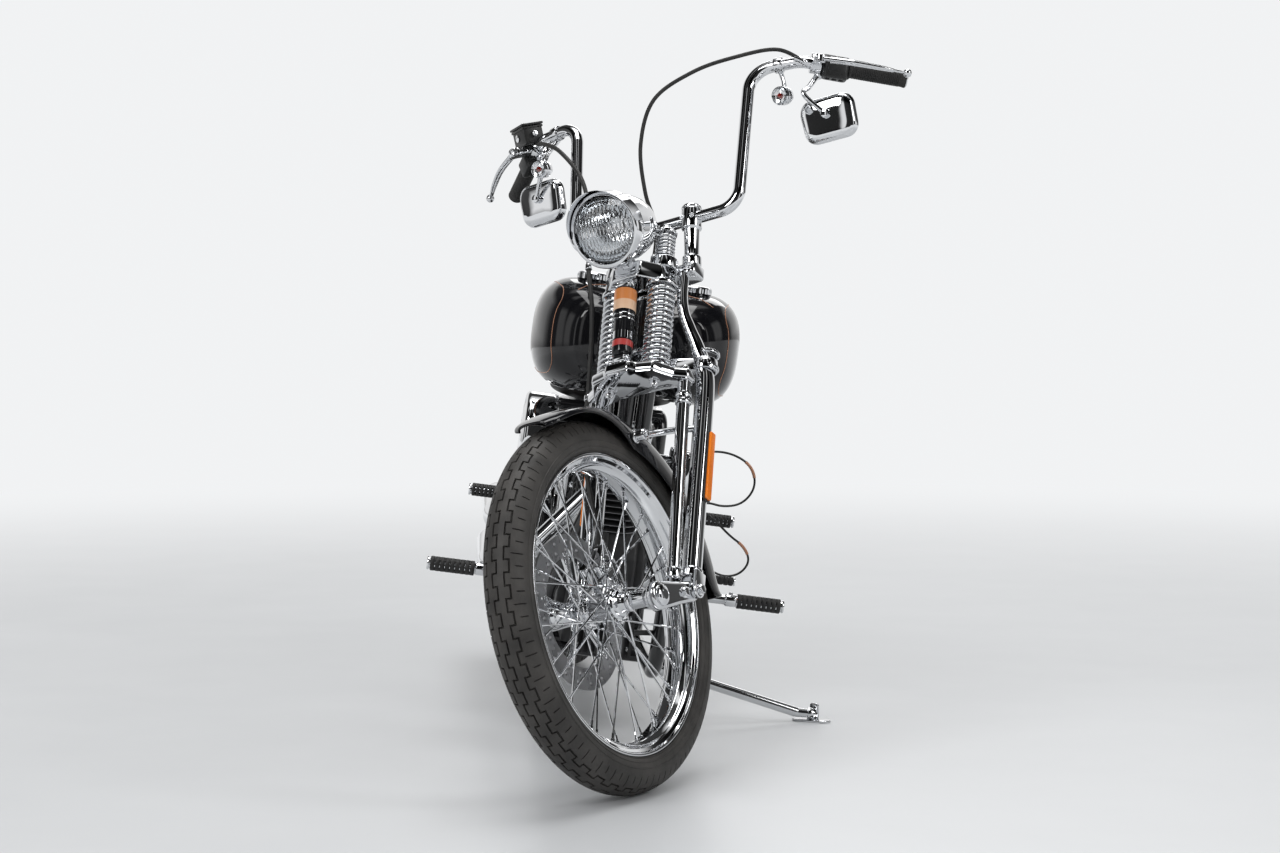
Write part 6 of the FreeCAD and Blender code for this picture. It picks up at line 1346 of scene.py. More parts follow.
# Console with its gauge, lamps and key switch, and the two filler caps
def makeConsole(form):
    start, length, top = 607, 357.5, 931
    stations, widths = (0, 0.1, 0.5, 0.9, 1), (0.5, 0.9, 1, 0.8, 0.4)
    rings = []
    for k in range(29):
        t = k / 28
        wide = shareAt(stations, widths, t)
        middle = vec(0, start + length * t, top - 6 - 30 * t)
        rings.append([ovalPoint(middle, 42 * wide, 24 * wide, 2.4, tau * m / 48) for m in range(48)])
    loftRings(form, rings)
    base = vec(0, start + length * 0.34, top - 12)
    run = vec(0, 0.16, 1).normalized()
    turn(form, [(0, 0), (0, 54), (4, 55), (20, 57.6), (26, 58), (32, 57), (34, 54.5), (33.6, 51.5), (30, 50),
        (30, 0)], base, run, 80)
    turn(form, drum(30.2, 31, 50), base, run, 64, 0, 1)
    ahead = run.cross(xAxis)
    for k in range(41):
        swing = radians(-130 + 6.5 * k)
        out = xAxis * sin(swing) + ahead * cos(swing)
        long = 7.5 if k % 4 == 0 else 4
        softBox(form, base + run * 31.2 + out * (46 - long / 2), out, run.cross(out), (long, 1.1, 0.5), 0.3,
            0, 2, 1)
    hand = (xAxis - ahead).normalized()
    softBox(form, base + run * 32 + hand * 15, hand, run.cross(hand), (44, 1.8, 0.7), 0.6, 0, 3, 1)
    turn(form, [(30.5, 0), (30.5, 5), (33, 4.4), (33, 0)], base, run, 28, 0.2, 1)
    for x in (-17, 0, 17):
        at = vec(x, start + length * 0.62, top - 2 - abs(x) * 0.12)
        turn(form, [(-6, 0), (-6, 5.4), (1, 5.4), (2, 4), (1.4, 0)], at, run, 24, 0, 3 if x else 4)
        turn(form, [(-5, 5.2), (-5, 6.8), (1.4, 6.8), (2, 6), (1, 5.2)], at, run, 24)
    at = vec(0, start + length * 0.8, top - 9)
    turn(form, [(-8, 0), (-8, 17), (2, 17), (4, 15), (5, 11), (5, 8), (3.4, 7), (3.4, 0)], at, run, 44, 0.3)
    softBox(form, at + run * 5, (1, 0.4, 0), run.cross(vec(1, 0.4, 0)), (12, 4, 3), 1.4, 0.3)
    for side in signs:
        low = vec(side * tank["capX"], tank["capY"], 923)
        turn(form, [(-6, 0), (-6, 36), (-1, 36.4), (0, 35), (0, 0)], low, zAxis, 64, 0.3)
        turn(form, [(0, 0), (0, 29), (2, 30), (7, 34), (18, 33.2), (20.4, 31), (22, 24), (22.4, 12),
            (22.4, 0)], low, zAxis, 64)
        for place in around(32):
            out = vec(*place, 0)
            softBox(form, low + out * 33.2 + zAxis * 12, zAxis, out.cross(zAxis), (9, 2.4, 1.6), 1, 0)


# Seat and pillion: padded leather, swollen by pressure, then sewn
cushions = {"seat": {"shrink": 5, "cap": 6, "pressure": 4, "smoothing": 12, "rounding": 45, "peak": 0.04,
    "seams": (1085, 1135, 1185, 1235, 1285)}, "pillion": {"shrink": 4, "cap": 5, "pressure": 4,
    "smoothing": 4, "rounding": 0, "peak": 0.01, "seams": (1385, 1435, 1485, 1535, 1585)}}


def makeCushion(nodeName, name):
    size = cushions[nodeName]
    mesh = frame["nodes"][nodeName].data.copy()
    form = bmesh.new()
    form.from_mesh(mesh)
    bmesh.ops.remove_doubles(form, verts=form.verts, dist=0.0001)
    form.to_mesh(mesh)
    form.free()
    piece = linkObject(name, mesh)
    mesh.materials.clear()
    mesh.materials.append(leather)
    bakeModifier(piece, "REMESH", mode="VOXEL", voxel_size=0.006, use_smooth_shade=True)
    form = bmesh.new()
    form.from_mesh(piece.data)
    peak = max(vert.co.z for vert in form.verts) - size["peak"]
    high = [vert for vert in form.verts if vert.co.z > peak]
    for verts in [form.verts] * size["smoothing"] + [high] * size["rounding"]:
        bmesh.ops.smooth_vert(form, verts=verts, factor=0.5, use_axis_x=True, use_axis_y=True,
            use_axis_z=True)
    form.normal_update()
    for vert in form.verts:
        vert.co -= vert.normal * (size["shrink"] * 0.001)
    start = [vert.co.copy() for vert in form.verts]
    form.to_mesh(piece.data)
    form.free()
    swellCushion(piece, size, start)
    bakeModifier(piece, "SUBSURF", levels=1, render_levels=1)
    sewCushion(piece, size)
    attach(piece, "chassis")
    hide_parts(nodeName)


# Mesh of an object as its modifiers leave it
def shapedMesh(item):
    return bpy.data.meshes.new_from_object(item.evaluated_get(bpy.context.evaluated_depsgraph_get()))


def bakeModifier(piece, kind, **values):
    modifier = piece.modifiers.new("shape", kind)
    for name, value in values.items():
        setattr(modifier, name, value)
    shape = shapedMesh(piece)
    piece.modifiers.clear()
    piece.data = shape


def swellCushion(piece, size, start):
    cloth = piece.modifiers.new("swell", "CLOTH")
    cloth.settings.use_pressure = True
    cloth.settings.uniform_pressure_force = size["pressure"]
    cloth.settings.effector_weights.gravity = 0
    cloth.settings.tension_stiffness = 30
    cloth.settings.compression_stiffness = 30
    cloth.settings.bending_stiffness = 2
    for frameNumber in range(1, 21):
        scene.frame_set(frameNumber)
    shape = shapedMesh(piece)
    piece.modifiers.clear()
    scene.frame_set(1)
    limit = size["cap"] * 0.001
    for vert, rest in zip(shape.vertices, start):
        move = vert.co - rest
        if move.length > limit:
            vert.co = rest + move.normalized() * limit
    piece.data = shape


# Rolled channels across the pad and a welt along its side, as grooves
def sewCushion(piece, size):
    back = bikePlace.inverted()
    normals = [vert.normal.copy() for vert in piece.data.vertices]
    for vert, normal in zip(piece.data.vertices, normals):
        spot = back @ vert.co
        depth = max(exp(-((spot.y - seam) / 5.5) ** 2) for seam in size["seams"])
        vert.co -= normal * (depth * 0.0045 * min(1, max(0, (normal.z - 0.35) * 3)))
    piece.data.polygons.foreach_set("use_smooth", [True] * len(piece.data.polygons))


rearFender = {"inner": 351, "half": 88, "depth": 88, "start": 32, "end": 196, "wall": 2.6, "crown": 2.7,
    "bead": 2.8, "steps": 96, "rounding": 10, "tip": 0.001, "sweep": 6, "least": 0.62}


def makeRearFender(form):
    makeFenderSheet(form, rearAxle, rearFender)


# Oil tank behind the frame post, with its cap and strap
def makeOilTank(form):
    softBox(form, (0, 1206, 528.8), xAxis, yAxis, (183.6, 111.6, 193), 44, 7, 0, 4)
    for height in (470, 590):
        softBox(form, (0, 1206, height), xAxis, yAxis, (184, 112, 14), 44, 0.8, 1, 2)
    turn(form, [(0, 0), (0, 19), (6, 20), (14, 19), (16, 15), (16, 0)], vec(-66, 1200, 608), zAxis, 40, 0.4,
        1)


def makeTailLamp(form):
    out = outAt(156)
    base = rearAxle + out * 354.3
    turn(form, plug(0, 8, 10, 34, 32), base, out, 56, 0.4, 1)
    turn(form, [(9, 0), (9, 31), (30, 31), (36, 28.6), (39, 23), (40.4, 12), (40.6, 0)], base, out, 56)
    turn(form, [(27, 29), (27, 33), (30, 33.8), (34, 32), (35, 28)], base, out, 56, 0.2, 1)
    for k in range(6):
        ring = [(40.2, 3 + k * 4.6), (41.6, 4.2 + k * 4.6), (40, 5.4 + k * 4.6)]
        turn(form, ring, base - out * (0.4 + k * 0.5), out, 56)


# Blank plate in its frame
def makePlate(form):
    out = outAt(184)
    along = vec(0, -out.z, out.y)
    middle = rearAxle + out * 360.3
    softBox(form, middle, xAxis, along, (180, 105, 1.4), 8, 0.2, 1)
    for x, y, w, h in ((0, 50.5, 180, 4), (0, -50.5, 180, 4), (88, 0, 4, 105), (-88, 0, 4, 105)):
        softBox(form, middle + xAxis * x + along * y, xAxis, along, (w, h, 3), 1.6, 0.6)
    for x in (-62, 62):
        for y in (-40, 40):
            addBolt(form, middle + xAxis * x + along * y, out, 3, 2.2)
    bar(form, rearAxle + out * 354.4, out * 5.9, 10.5, 24)


def makeStrutFasteners(form):
    for side in signs:
        for y, z in ((1363, 642), (1410, 640), (1590, 607), (1700, 590)):
            addAcorn(form, vec(side * 125.4, y, z), xAxis * side, 6.5)
        for share in (0.3, 0.72):
            place = vec(side * 91.4, 1345 + 490 * share, 642 - 22 * (1 + 2.6 * share * share))
            turn(form, [(0, 0), (0, 15), (2, 16), (9, 13), (11, 11)], place, xAxis * side, 36, 0.3)


def makeRearCaliper(form):
    makeCaliper(form, rearAxle, -79, -75, 31.4, -1, None)


makePieces(
    (makeTanks, "tank_lobes", [gloss, copper], "fuel_tanks", 50),
    (makeConsole, "console_set", [chrome, dial, paleMark, redLens, amber], "tank_console"),
)
makeCushion("seat", "seat_pad")
makeCushion("pillion", "pillion_pad")
makePieces(
    (makeRearFender, "rear_guard", gloss, "rear_fender", 40),
    (makeOilTank, "oil_tank_shell", [gloss, chrome], "oil_tank"),
    (makeTailLamp, "tail_lamp_set", [redLens, chrome], "tail_lamp"),
    (makePlate, "plate_frame", [chrome, paleMark], "number_plate"),
    (makeStrutFasteners, "strut_fasteners", chrome),
    (makeRearCaliper, "rear_brake_caliper", [chrome, steel], "rear_caliper"),
)
print("tank, seat and rear done")


# Engine: case, finned cylinders, rocker boxes, covers, air cleaner and exhaust
engine = {"y": 885, "z": 330, "case": 122, "tilt": 22.5, "base": 108, "barrel": 130, "head": 78, "fin": 74,
    "fins": 14, "finWall": 3}
crank = vec(0, engine["y"], engine["z"])
gear = vec(0, 1092, crank.z)
pulley = vec(0, 1120, 322)


# Directions along and across a cylinder; side is -1 for the front one
def cylinderRun(side):
    swing = radians(engine["tilt"] * side)
    return vec(0, sin(swing), cos(swing)), vec(0, cos(swing), -sin(swing))


# Bolts in a ring, which point out to the side
def boltRing(form, middle, count, reach, radius, length, index=0, phase=0.25):
    for c, s in around(count, phase):
        addBolt(form, middle + vec(0, reach * c, reach * s), vec(middle.x, 0, 0), radius, length, index)


def sidePoints(x, centre, scale, shares):
    return [vec(x, centre.y + scale * ahead, centre.z + scale * up) for ahead, up in shares]


def makeCase(form):
    shares = ((-1, -0.62), (-0.55, -1), (0.9, -1), (1.14, -0.7), (1.14, 0.42), (0.84, 0.92), (0.3, 1.04),
        (-0.3, 1.04), (-0.86, 0.74), (-1.05, 0.2))
    outline = roundedOutline(sidePoints(-70, crank, 117, shares), 22, 6)
    slab(form, outline, (140, 0, 0), 7, 3)
    rim = roundedOutline(sidePoints(-5, crank, engine["case"], shares), 22, 6)
    slab(form, rim, (10, 0, 0), 1.2, 2)
    for x, push in ((-87.5, 24), (63.5, 24)):
        slab(form, roundedOutline(sidePoints(x, crank, 108, shares), 26, 6), (push, 0, 0), 4, 3)
    for place in rim[::7]:
        spot = place + (crank - place).normalized() * 8
        for way in signs:
            addBolt(form, vec(way * 5, spot.y, spot.z), xAxis * way, 5, 6, 1)
    softBox(form, (0, crank.y, 191.5), yAxis, xAxis, (195, 132, 56), 12, 3)
    for k in range(9):
        y = crank.y - 84 + k * 21
        softBox(form, (0, y, 212), xAxis, zAxis, (150, 26, 5), 4, 1)
    for side in signs:
        up, across = cylinderRun(side)
        turn(form, [(96, 0), (96, 72), (104, 70), (108, 68), (108, 0)], crank, up, 64, 0.6)
        for c, s in around(4, 0.5):
            addAcorn(form, crank + up * 106 + (xAxis * c + across * s) * 64, up, 5.5, 1)
    softBox(form, gear, yAxis, zAxis, (172, 186, 116), 24, 5, 0, 3)
    for x in (-58, 58):
        turn(form, [(0, 0), (0, 62), (3, 63), (4, 60), (4, 0)], gear + xAxis * x, (x, 0, 0), 64, 0.4)
        boltRing(form, gear + xAxis * (x * 1.06), 8, 54, 3.6, 0.6, 1, 0)
    for k in range(7):
        softBox(form, gear + vec(0, -66 + k * 22, 88), xAxis, zAxis, (104, 10, 4), 3, 1)
    reaches = (60, 60, 57, 57) * 28
    teeth = [pulley + vec(72, c * reach, s * reach) for (c, s), reach in zip(around(112), reaches)]
    slab(form, teeth, (20, 0, 0), 0, 1, 1)
    turn(form, drum(46, 76, 20), pulley, xAxis, 40, 0.3, 1)


def makeCylinders(form):
    total = engine["barrel"] + engine["head"]
    pitch = total / engine["fins"]
    for side in signs:
        up, across = cylinderRun(side)
        low = crank + up * engine["base"]
        part = bmesh.new()
        turn(part, [(0, 0), (0, 60), (3, 60), (4, 55), (total, 55), (total, 0)], low, up, 64)
        for i in range(engine["fins"]):
            at = low + up * (pitch * (i + 0.5))
            shares = (2.0475, 1.95, 0.3) if i >= 10 else (2, 2, 0.62)
            long, width, corner = [engine["fin"] * share for share in shares]
            softBox(part, at, xAxis, across, (long, width, engine["finWall"]), corner)
            softBox(part, at, xAxis, across, (long * 1.001, width * 1.001, 1), corner, 0, 1)
        for x in (-46, 46):
            for reach in (-46, 46):
                bar(part, low + xAxis * x + across * reach + up * 4, up * (total - 4), 6, 16)
        for way in signs:
            spark = low + up * (engine["barrel"] + 36) + xAxis * (way * 70) + across * (side * 6)
            turn(part, [(-16, 0), (-16, 7), (2, 7), (3, 0)], spark, xAxis * way, 6, 0.3, 2)
        for vert in part.verts:
            limit = crank.y + side * 0.8
            if (vert.co.y - limit) * side < 0:
                vert.co.y = limit
        pour(part, form)


def makeRockerCovers(form):
    for side in signs:
        up, across = cylinderRun(side)
        start = crank + up * (engine["base"] + engine["barrel"] + engine["head"] + 0.3)
        softBox(form, start + up * 9, xAxis, across, (128, 118, 17.6), 14, 2.5, 0, 3)
        softBox(form, start + up * 24.2, xAxis, across, (123, 113, 12.8), 16, 2.5, 0, 3)
        softBox(form, start + up * 41.5, xAxis, across, (110, 99, 21), 14, 6, 0, 4)
        for x in (-52, 0, 52):
            for reach in (-50, 50):
                spot = start + up * 30 + xAxis * x + across * reach
                turn(form, [(0, 0), (0, 5.4), (7, 5.4), (8, 4.6), (8, 3.2), (5, 3.2), (5, 0)], spot, up, 24,
                    0.2)


def makeCamCover(form):
    shares = ((-1, 0.1), (-0.5, 0.72), (0.5, 0.72), (1, 0.1), (0.6, -0.66), (-0.6, -0.66))
    slab(form, roundedOutline(sidePoints(-115.9, crank, 84, shares), 25, 6), (27.6, 0, 0), 5, 3)
    turn(form, [(27, 0), (27, 42), (34, 42), (36, 40), (38, 37), (44, 36), (46, 34), (46, 0)],
        crank + vec(-88, 0, 0), -xAxis, 64, 0.4)
    boltRing(form, crank - xAxis * 133.6, 5, 26, 3, 0.5)
    for ahead, up in ((-0.86, 0.1), (-0.42, 0.6), (0.42, 0.6), (0.86, 0.1), (0.5, -0.56), (-0.5, -0.56)):
        addBolt(form, crank + vec(-115.6, 84 * ahead, 84 * up), -xAxis, 4, 3)
    for side in signs:
        up, across = cylinderRun(side)
        for row in signs:
            low = vec(-97, crank.y + side * 36.6 + row * 14.3, crank.z + 87.8)
            top = crank + up * 316 + across * (row * 20.7)
            top.x = -97
            run = top - low
            long = run.length
            turn(form, [(0, 0), (0, 8.2), (10, 8.2), (12, 6.4), (long * 0.5, 6.2), (long * 0.5, 7.6),
                (long * 0.56, 7.6), (long * 0.56, 5.6), (long - 14, 5.4), (long - 12, 7.6), (long, 8),
                (long, 0)], low, run, 28, 0.3)


def stadiumPoints(x, inset):
    front, rear = 92 - inset, 104 - inset
    start = pi / 2 + asin((rear - front) / (pulley.y - crank.y))
    points = [crank + vec(x, front * c, front * s) for c, s in alongArc(start, tau - 2 * start, 24)]
    return points + [pulley + vec(x, rear * c, rear * s) for c, s in alongArc(-start, 2 * start, 28)]


def makePrimary(form):
    slab(form, stadiumPoints(136.4, 0), (9, 0, 0), 1.5, 2)
    slab(form, stadiumPoints(144, 5), (36, 0, 0), 9, 4)
    slab(form, stadiumPoints(178, 22), (20.5, 0, 0), 8, 4)
    turn(form, plug(0, 2, 3, 64, 62), pulley + xAxis * 198, xAxis, 72, 0.3)
    turn(form, plug(0, 2, 3, 30, 28), crank + vec(198, 20, 0), xAxis, 48, 0.3)
    boltRing(form, pulley + xAxis * 200.6, 5, 54, 3.6, 1.2)
    for spot in stadiumPoints(144, 9)[::5]:
        turn(form, [(0, 0), (0, 6), (34.6, 6), (36, 4.6), (36, 3), (33, 3), (33, 0)], spot, xAxis, 20, 0.2)
    turn(form, drum(88.3, 136, 88), crank, xAxis, 64, 0.5)
    turn(form, drum(92.3, 136, 20), pulley, xAxis, 40, 0.5)


def makeAirCleaner(form):
    centre = vec(0, 900, 585)
    turn(form, [(131, 0), (131, 82), (134, 87), (140, 90), (142, 90), (142, 92), (150, 92), (190, 92),
        (196, 90.5), (200, 86), (201, 80), (198.6, 76), (199, 72), (203.6, 60), (204.6, 44), (203, 40),
        (203, 32), (205, 28), (205, 0)], centre, -xAxis, 96)
    boltRing(form, centre - xAxis * 203.4, 3, 18, 3.4, 1.4)
    for place in around(36):
        out = vec(0, *place)
        softBox(form, centre - xAxis * 137 + out * 88.4, xAxis, out.cross(xAxis), (9, 6, 4), 2, 0, 1, 1)
    throat = vec(0, 885, 600)
    turn(form, [(22, 0), (22, 18), (64, 18), (66, 24), (84, 25), (86, 18), (108, 18), (110, 23), (122, 24),
        (130, 24), (130, 0)], throat, -xAxis, 48, 0.5, 1)
    turn(form, [(-44, 0), (-44, 21), (-40, 23.4), (-6, 23.4), (-4, 25), (4, 25), (6, 20), (18, 18), (20, 0)],
        throat + vec(-97.6, 0, 0), zAxis, 48, 0.5, 1)
    turn(form, drum(-37, 37, 15.6), throat + vec(-30.8, 0, 0), yAxis, 40, 0.4, 1)


def makeHorn(form):
    middle = vec(150, 905, 520)
    softBox(form, middle - xAxis * 18, yAxis, zAxis, (92, 150, 15), 27, 1.6, 0, 3)
    softBox(form, middle + xAxis * 8, yAxis, zAxis, (86, 144, 35), 25, 13, 0, 5)
    for k in range(5):
        softBox(form, middle + vec(25.6, 0, 28 - 14 * k), yAxis, zAxis, (40 - abs(k - 2) * 4, 4, 0.8), 1.9, 0,
            1, 1)
    bar(form, vec(57, 928, 565), xAxis * 89, 10.6, 24)


# Pipes with heat shields held by clamps, and tapered mufflers with open ends
def makeExhaust(form):
    up, across = cylinderRun(-1)
    start = crank + up * 273.1 - across * 74.3 - xAxis * 22
    front = arcPath([start, start - across * 57.2, vec(-162, 677.6, 354.4), vec(-208, 811.8, 262),
        vec(-208, 1150, 262)], [35.2, 79.2, 66], 0.09)
    up, across = cylinderRun(1)
    start = crank + up * 273.1 + across * 74.3 - xAxis * 30.8
    rear = arcPath([start, start + across * 48.4, vec(-208, 1141.2, 452), vec(-208, 1194, 366)], [33, 44],
        0.09)
    for path in (front, rear):
        run = (path[1] - path[0]).normalized()
        sweep(form, path, 21, 36)
        turn(form, [(-1, 15), (-1, 29), (1, 30), (6, 30), (7, 26), (7, 21)], path[0], run, 40, 0.4)
        for way in signs:
            addAcorn(form, path[0] + run.cross(xAxis) * (way * 23.4) + run * 6, run, 4.4)
    for place, count in ((front, (0.3, 0.62, 0.93)), (rear, (0.45,))):
        for share in count:
            k = int((len(place) - 2) * share)
            run = (place[k + 1] - place[k]).normalized()
            turn(form, collar(5, 20, 22.6, 4, 23.2), place[k], run, 40, 0.2)
            softBox(form, place[k] + vec(-23, 0, 0), run, zAxis, (8, 6, 5), 1.6, 0.4)
    for first, last, z in ((1150, 1720, 262), (1194, 1790, 366)):
        long = last - first
        shares = [(-0.02, 0.53), (0, 0.57), (0.03, 0.57), (0.035, 0.62), (0.06, 0.63), (0.1, 0.72),
            (0.16, 0.9), (0.22, 0.985), (0.24, 1), (0.9, 1), (0.965, 0.975), (0.99, 0.93), (1, 0.86),
            (0.997, 0.79), (0.96, 0.76), (0.8, 0.74), (0.8, 0)]
        turn(form, [(long * along, 42 * out) for along, out in shares], vec(-208, first, z), yAxis, 72)
        for share in (0.25, 0.88):
            turn(form, band(-6, 6, 40, 42), vec(-208, first + long * share, z), yAxis, 64, 0.3)
        turn(form, drum(0, 3, 31), vec(-208, first + long * 0.83, z), yAxis, 48, 0, 1)


makePieces(
    (makeCase, "engine_bottom", [engineBlack, steel], "engine_case"),
    (makeCylinders, "barrel_pair", [engineBlack, alloy, steel], "cylinders", 30),
    (makeRockerCovers, "rocker_covers", chrome, "rocker_boxes"),
    (makeCamCover, "cam_side", chrome, "cam_cover"),
    (makePrimary, "primary_side", chrome, "primary_cover"),
    (makeAirCleaner, "air_cleaner_set", [chrome, alloy], "air_cleaner"),
    (makeHorn, "horn_shell", [chrome, plastic], "horn_cover"),
    (makeExhaust, "exhaust_pair", [chrome, engineBlack], "exhaust"),
)
print("engine and exhaust done")


# Forward controls: plates, stepped arms, shift lever, brake pedal and the ribbed pegs
controls = {"pegLength": 100, "peg": 15, "rail": 134.3}
frontPeg, rearPeg = vec(268, 596, 315), vec(205, 1040, 440)


def makePeg(form, inner, length, radius):
    turn(form, [(0, 0), (0, radius * 0.8), (length - 4, radius * 0.8), (length - 4, radius * 0.94),
        (length, radius * 0.86), (length, 0)], inner, xAxis, 36, 0.4, 1)
    pitch = (length - 8) / 9
    for k in range(9):
        low = 3 + pitch * k
        turn(form, [(low, radius * 0.7), (low, radius * 0.95), (low + 1.2, radius),
            (low + pitch - 3.6, radius), (low + pitch - 2.4, radius * 0.95),
            (low + pitch - 2.4, radius * 0.7)], inner, xAxis, 36)
    for place in around(8):
        out = vec(0, *place)
        softBox(form, inner + xAxis * (length / 2 - 2) + out * radius * 0.9, xAxis, out.cross(xAxis),
            (length - 12, 3.4, 2), 1, 0, 0, 1)


def makePegs(form):
    makePeg(form, frontPeg, controls["pegLength"], controls["peg"])
    makePeg(form, rearPeg, 90, 14.25)
    addMirrored(form)


def makeFootControls(form):
    rail = controls["rail"]
    pegX, y, z = frontPeg
    plate = ((504, 288), (504, 328), (548, 331), (602, 331), (619, 318), (616, 298), (560, 284))
    slab(form, roundedOutline([vec(rail, *spot) for spot in plate], 12, 5), (9, 0, 0), 2, 3)
    for spot in ((516, 308), (548, 300)):
        addBolt(form, vec(rail + 8.6, *spot), xAxis, 6, 6)
    reach = pegX - 0.3 - rail
    turn(form, [(0, 0), (0, 17), (9, 17), (12, 13), (26, 12), (27, 15), (34, 15), (36, 10.4),
        (reach - 22, 10), (reach - 20, 13), (reach, 13), (reach, 0)], vec(rail, y, z), xAxis, 40, 0.5)
    addBolt(form, frontPeg + vec(-11, 0, 12.6), zAxis, 4, 4)
    levers = {}
    for side in signs:
        part = bmesh.new()
        pivot = vec(rail + 30.5, y, z)
        ahead = vec(rail + 43, y - 110, z + 50)
        path, radii = smoothPath([pivot, pivot.lerp(ahead, 0.3) + vec(4, 0, -5),
            pivot.lerp(ahead, 0.75) + vec(2, 0, -3), ahead], 8, [9, 7.6, 6.6, 8])
        sweep(part, path, radii, 24)
        turn(part, drum(-7, 7, 16), pivot, xAxis, 36, 0.6)
        if side == 1:
            turn(part, drum(-9, 6, 9), ahead, xAxis, 28, 0.4)
            for k in range(6):
                turn(part, [(8 + 10 * k, 0), (8 + 10 * k, 8), (10 + 10 * k, 9), (15 + 10 * k, 9),
                    (17 + 10 * k, 8), (17 + 10 * k, 0)], ahead, xAxis, 28, 0, 1)
            turn(part, [(68, 0), (68, 8.6), (71, 8), (71, 0)], ahead, xAxis, 28, 0.3)
        else:
            bar(part, ahead - xAxis * 6, xAxis * 72, 6, 20)
            up, across = vec(0, 0.55, 0.84), vec(0, 0.84, -0.55)
            softBox(part, ahead + xAxis * 42 + up * 5.4, xAxis, across, (56, 17, 4), 6, 1, 0, 3)
            for k in range(6):
                softBox(part, ahead + xAxis * (22 + 8 * k) + up * 7.8, xAxis, across, (4, 14, 2), 1, 0, 1, 1)
        levers[side] = part
    addMirrored(form)
    for side, part in levers.items():
        pour(part, form, Matrix.Scale(side, 4, xAxis))
    for side in signs:
        end = vec(side * (rearPeg.x - 0.3), rearPeg.y, rearPeg.z)
        start = vec(side * 118, 1166, rearPeg.z)
        knee = end - xAxis * (side * 30)
        sweep(form, arcPath([start, knee, end], 15), 9, 24)
        turn(form, [(-16, 0), (-16, 12), (-14, 13), (-2, 13), (0, 12), (0, 0)], end, xAxis * side, 32, 0.4)
        turn(form, [(6, 0), (6, 15), (12, 16), (20, 12), (20, 0)], start, knee - start, 36, 0.4)


# Side stand in the parked place: a bent leg, a flat foot with its tab, and the pivot
def makeSideStand(form):
    moved = vec(-161.154, -861.498, 0)
    pivot = (bikePlace @ vec(153, 742, 138)) * 1000
    foot = vec(486, 745, 16) + moved
    knee = pivot + (foot - pivot) * 0.9
    knee.z = 19.3
    path = arcPath([pivot, knee, foot], 33)
    radii = [11 - 1.6 * k / (len(path) - 1) for k in range(len(path))]
    sweep(form, path, radii, 32)
    run = (path[1] - path[0]).normalized()
    turn(form, [(-15, 0), (-13, 8), (-8, 13), (0, 16), (8, 15), (16, 12), (20, 11), (20, 0)], pivot, run, 40,
        0.3)
    turn(form, drum(-12, 12, 9), pivot, run.orthogonal(), 28, 0.6)
    toe, across = vec(0.82, -0.57, 0), vec(0.57, 0.82, 0)
    middle = vec(486, 745, 2.5) + moved
    softBox(form, middle, toe, across, (84, 34, 5), 12, 1.6, 0, 3)
    softBox(form, middle + across * 13.6 + zAxis * 17, toe, zAxis, (20, 33.6, 4.8), 5, 1.2, 0, 3)
    turn(form, [(-9, 0), (-9, 12.6), (-4, 13), (8, 10), (8, 0)], foot, (foot - knee), 32, 0.4)


# Loose wires on the left, each a smooth spline with a copper sleeve
looseWires = {"loose_wire_upper": ((74.5, 980, 560), (130, 980, 562), (178, 984, 576), (222, 996, 594),
    (272, 1008, 592), (316, 1010, 570), (330, 1008, 526), (306, 1002, 486), (262, 992, 474), (222, 980, 482),
    (186, 962, 466), (170, 954, 424.5)), "loose_wire_lower": ((170, 984, 425), (182, 990, 450),
    (214, 1000, 462), (250, 1004, 442), (286, 1012, 412), (322, 1018, 392), (340, 1018, 362),
    (324, 1014, 332), (290, 1006, 320), (254, 1000, 330), (226, 996, 346), (202.5, 990, 350))}


def makeLooseWire(nodeName, route):
    curve = bpy.data.curves.new(nodeName + "_line", "CURVE")
    curve.dimensions = "3D"
    curve.resolution_u = 8
    spline = curve.splines.new("NURBS")
    spline.points.add(len(route) - 1)
    for point, place in zip(spline.points, route):
        point.co = (*(bikePlace @ Vector(place)), 1)
    spline.order_u = 3
    spline.use_endpoint_u = True
    piece = linkObject(nodeName + "_cord", curve)
    points = [vert.co.copy() for vert in shapedMesh(piece).vertices]
    curve.bevel_depth = 0.0025
    curve.bevel_resolution = 4
    curve.use_fill_caps = True
    curve.materials.append(wire)
    first = int(len(points) * 0.42)
    form = bmesh.new()
    sweep(form, points[first:first + 9], 0.0034, 16)
    sleeve = finishPiece(form, nodeName + "_sleeve", copper, place=Matrix.Identity(4), slotName="rubber")
    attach(piece, "chassis")
    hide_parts(nodeName)


# Small parts on the frame: neck cups, bolts of the regulator, pivot covers and axle nuts
def makeFrameTrim(form):
    for height in (932.3, 1051.7):
        turn(form, collar(4, 15.4, 33, 2, 34), head(0, height, 0), steerAxis, 56, 0.4)
    for side in signs:
        for z in (204, 266):
            addBolt(form, vec(side * 52, 484.4, z), -yAxis, 4, 5)
        for y, z in ((1232, 300), (1250, 452)):
            turn(form, [(0, 0), (0, 17), (4, 18), (9, 17), (10, 12), (10, 0)], vec(side * 119, y, z),
                (side, 0, 0), 32, 0.4)
        axle = rearAxle + xAxis * (side * 134)
        turn(form, [(-4, 0), (-4, 19), (0, 20), (5, 18), (8, 12), (9, 0)], axle, xAxis * side, 6, 0.6)


makePieces(
    (makePegs, "peg_rubbers", [rubber, chrome], "foot_pegs", 40),
    (makeFootControls, "control_levers", [chrome, rubber], "foot_controls"),
    (makeSideStand, "stand_leg", chrome, "side_stand"),
)
for nodeName, route in looseWires.items():
    makeLooseWire(nodeName, route)
makePieces((makeFrameTrim, "frame_fasteners", chrome))
print("controls, stand and wires done")


# Stage: floor, soft lights and the camera where the photographer stood
backdropColor = (0.88, 0.89, 0.90, 1)


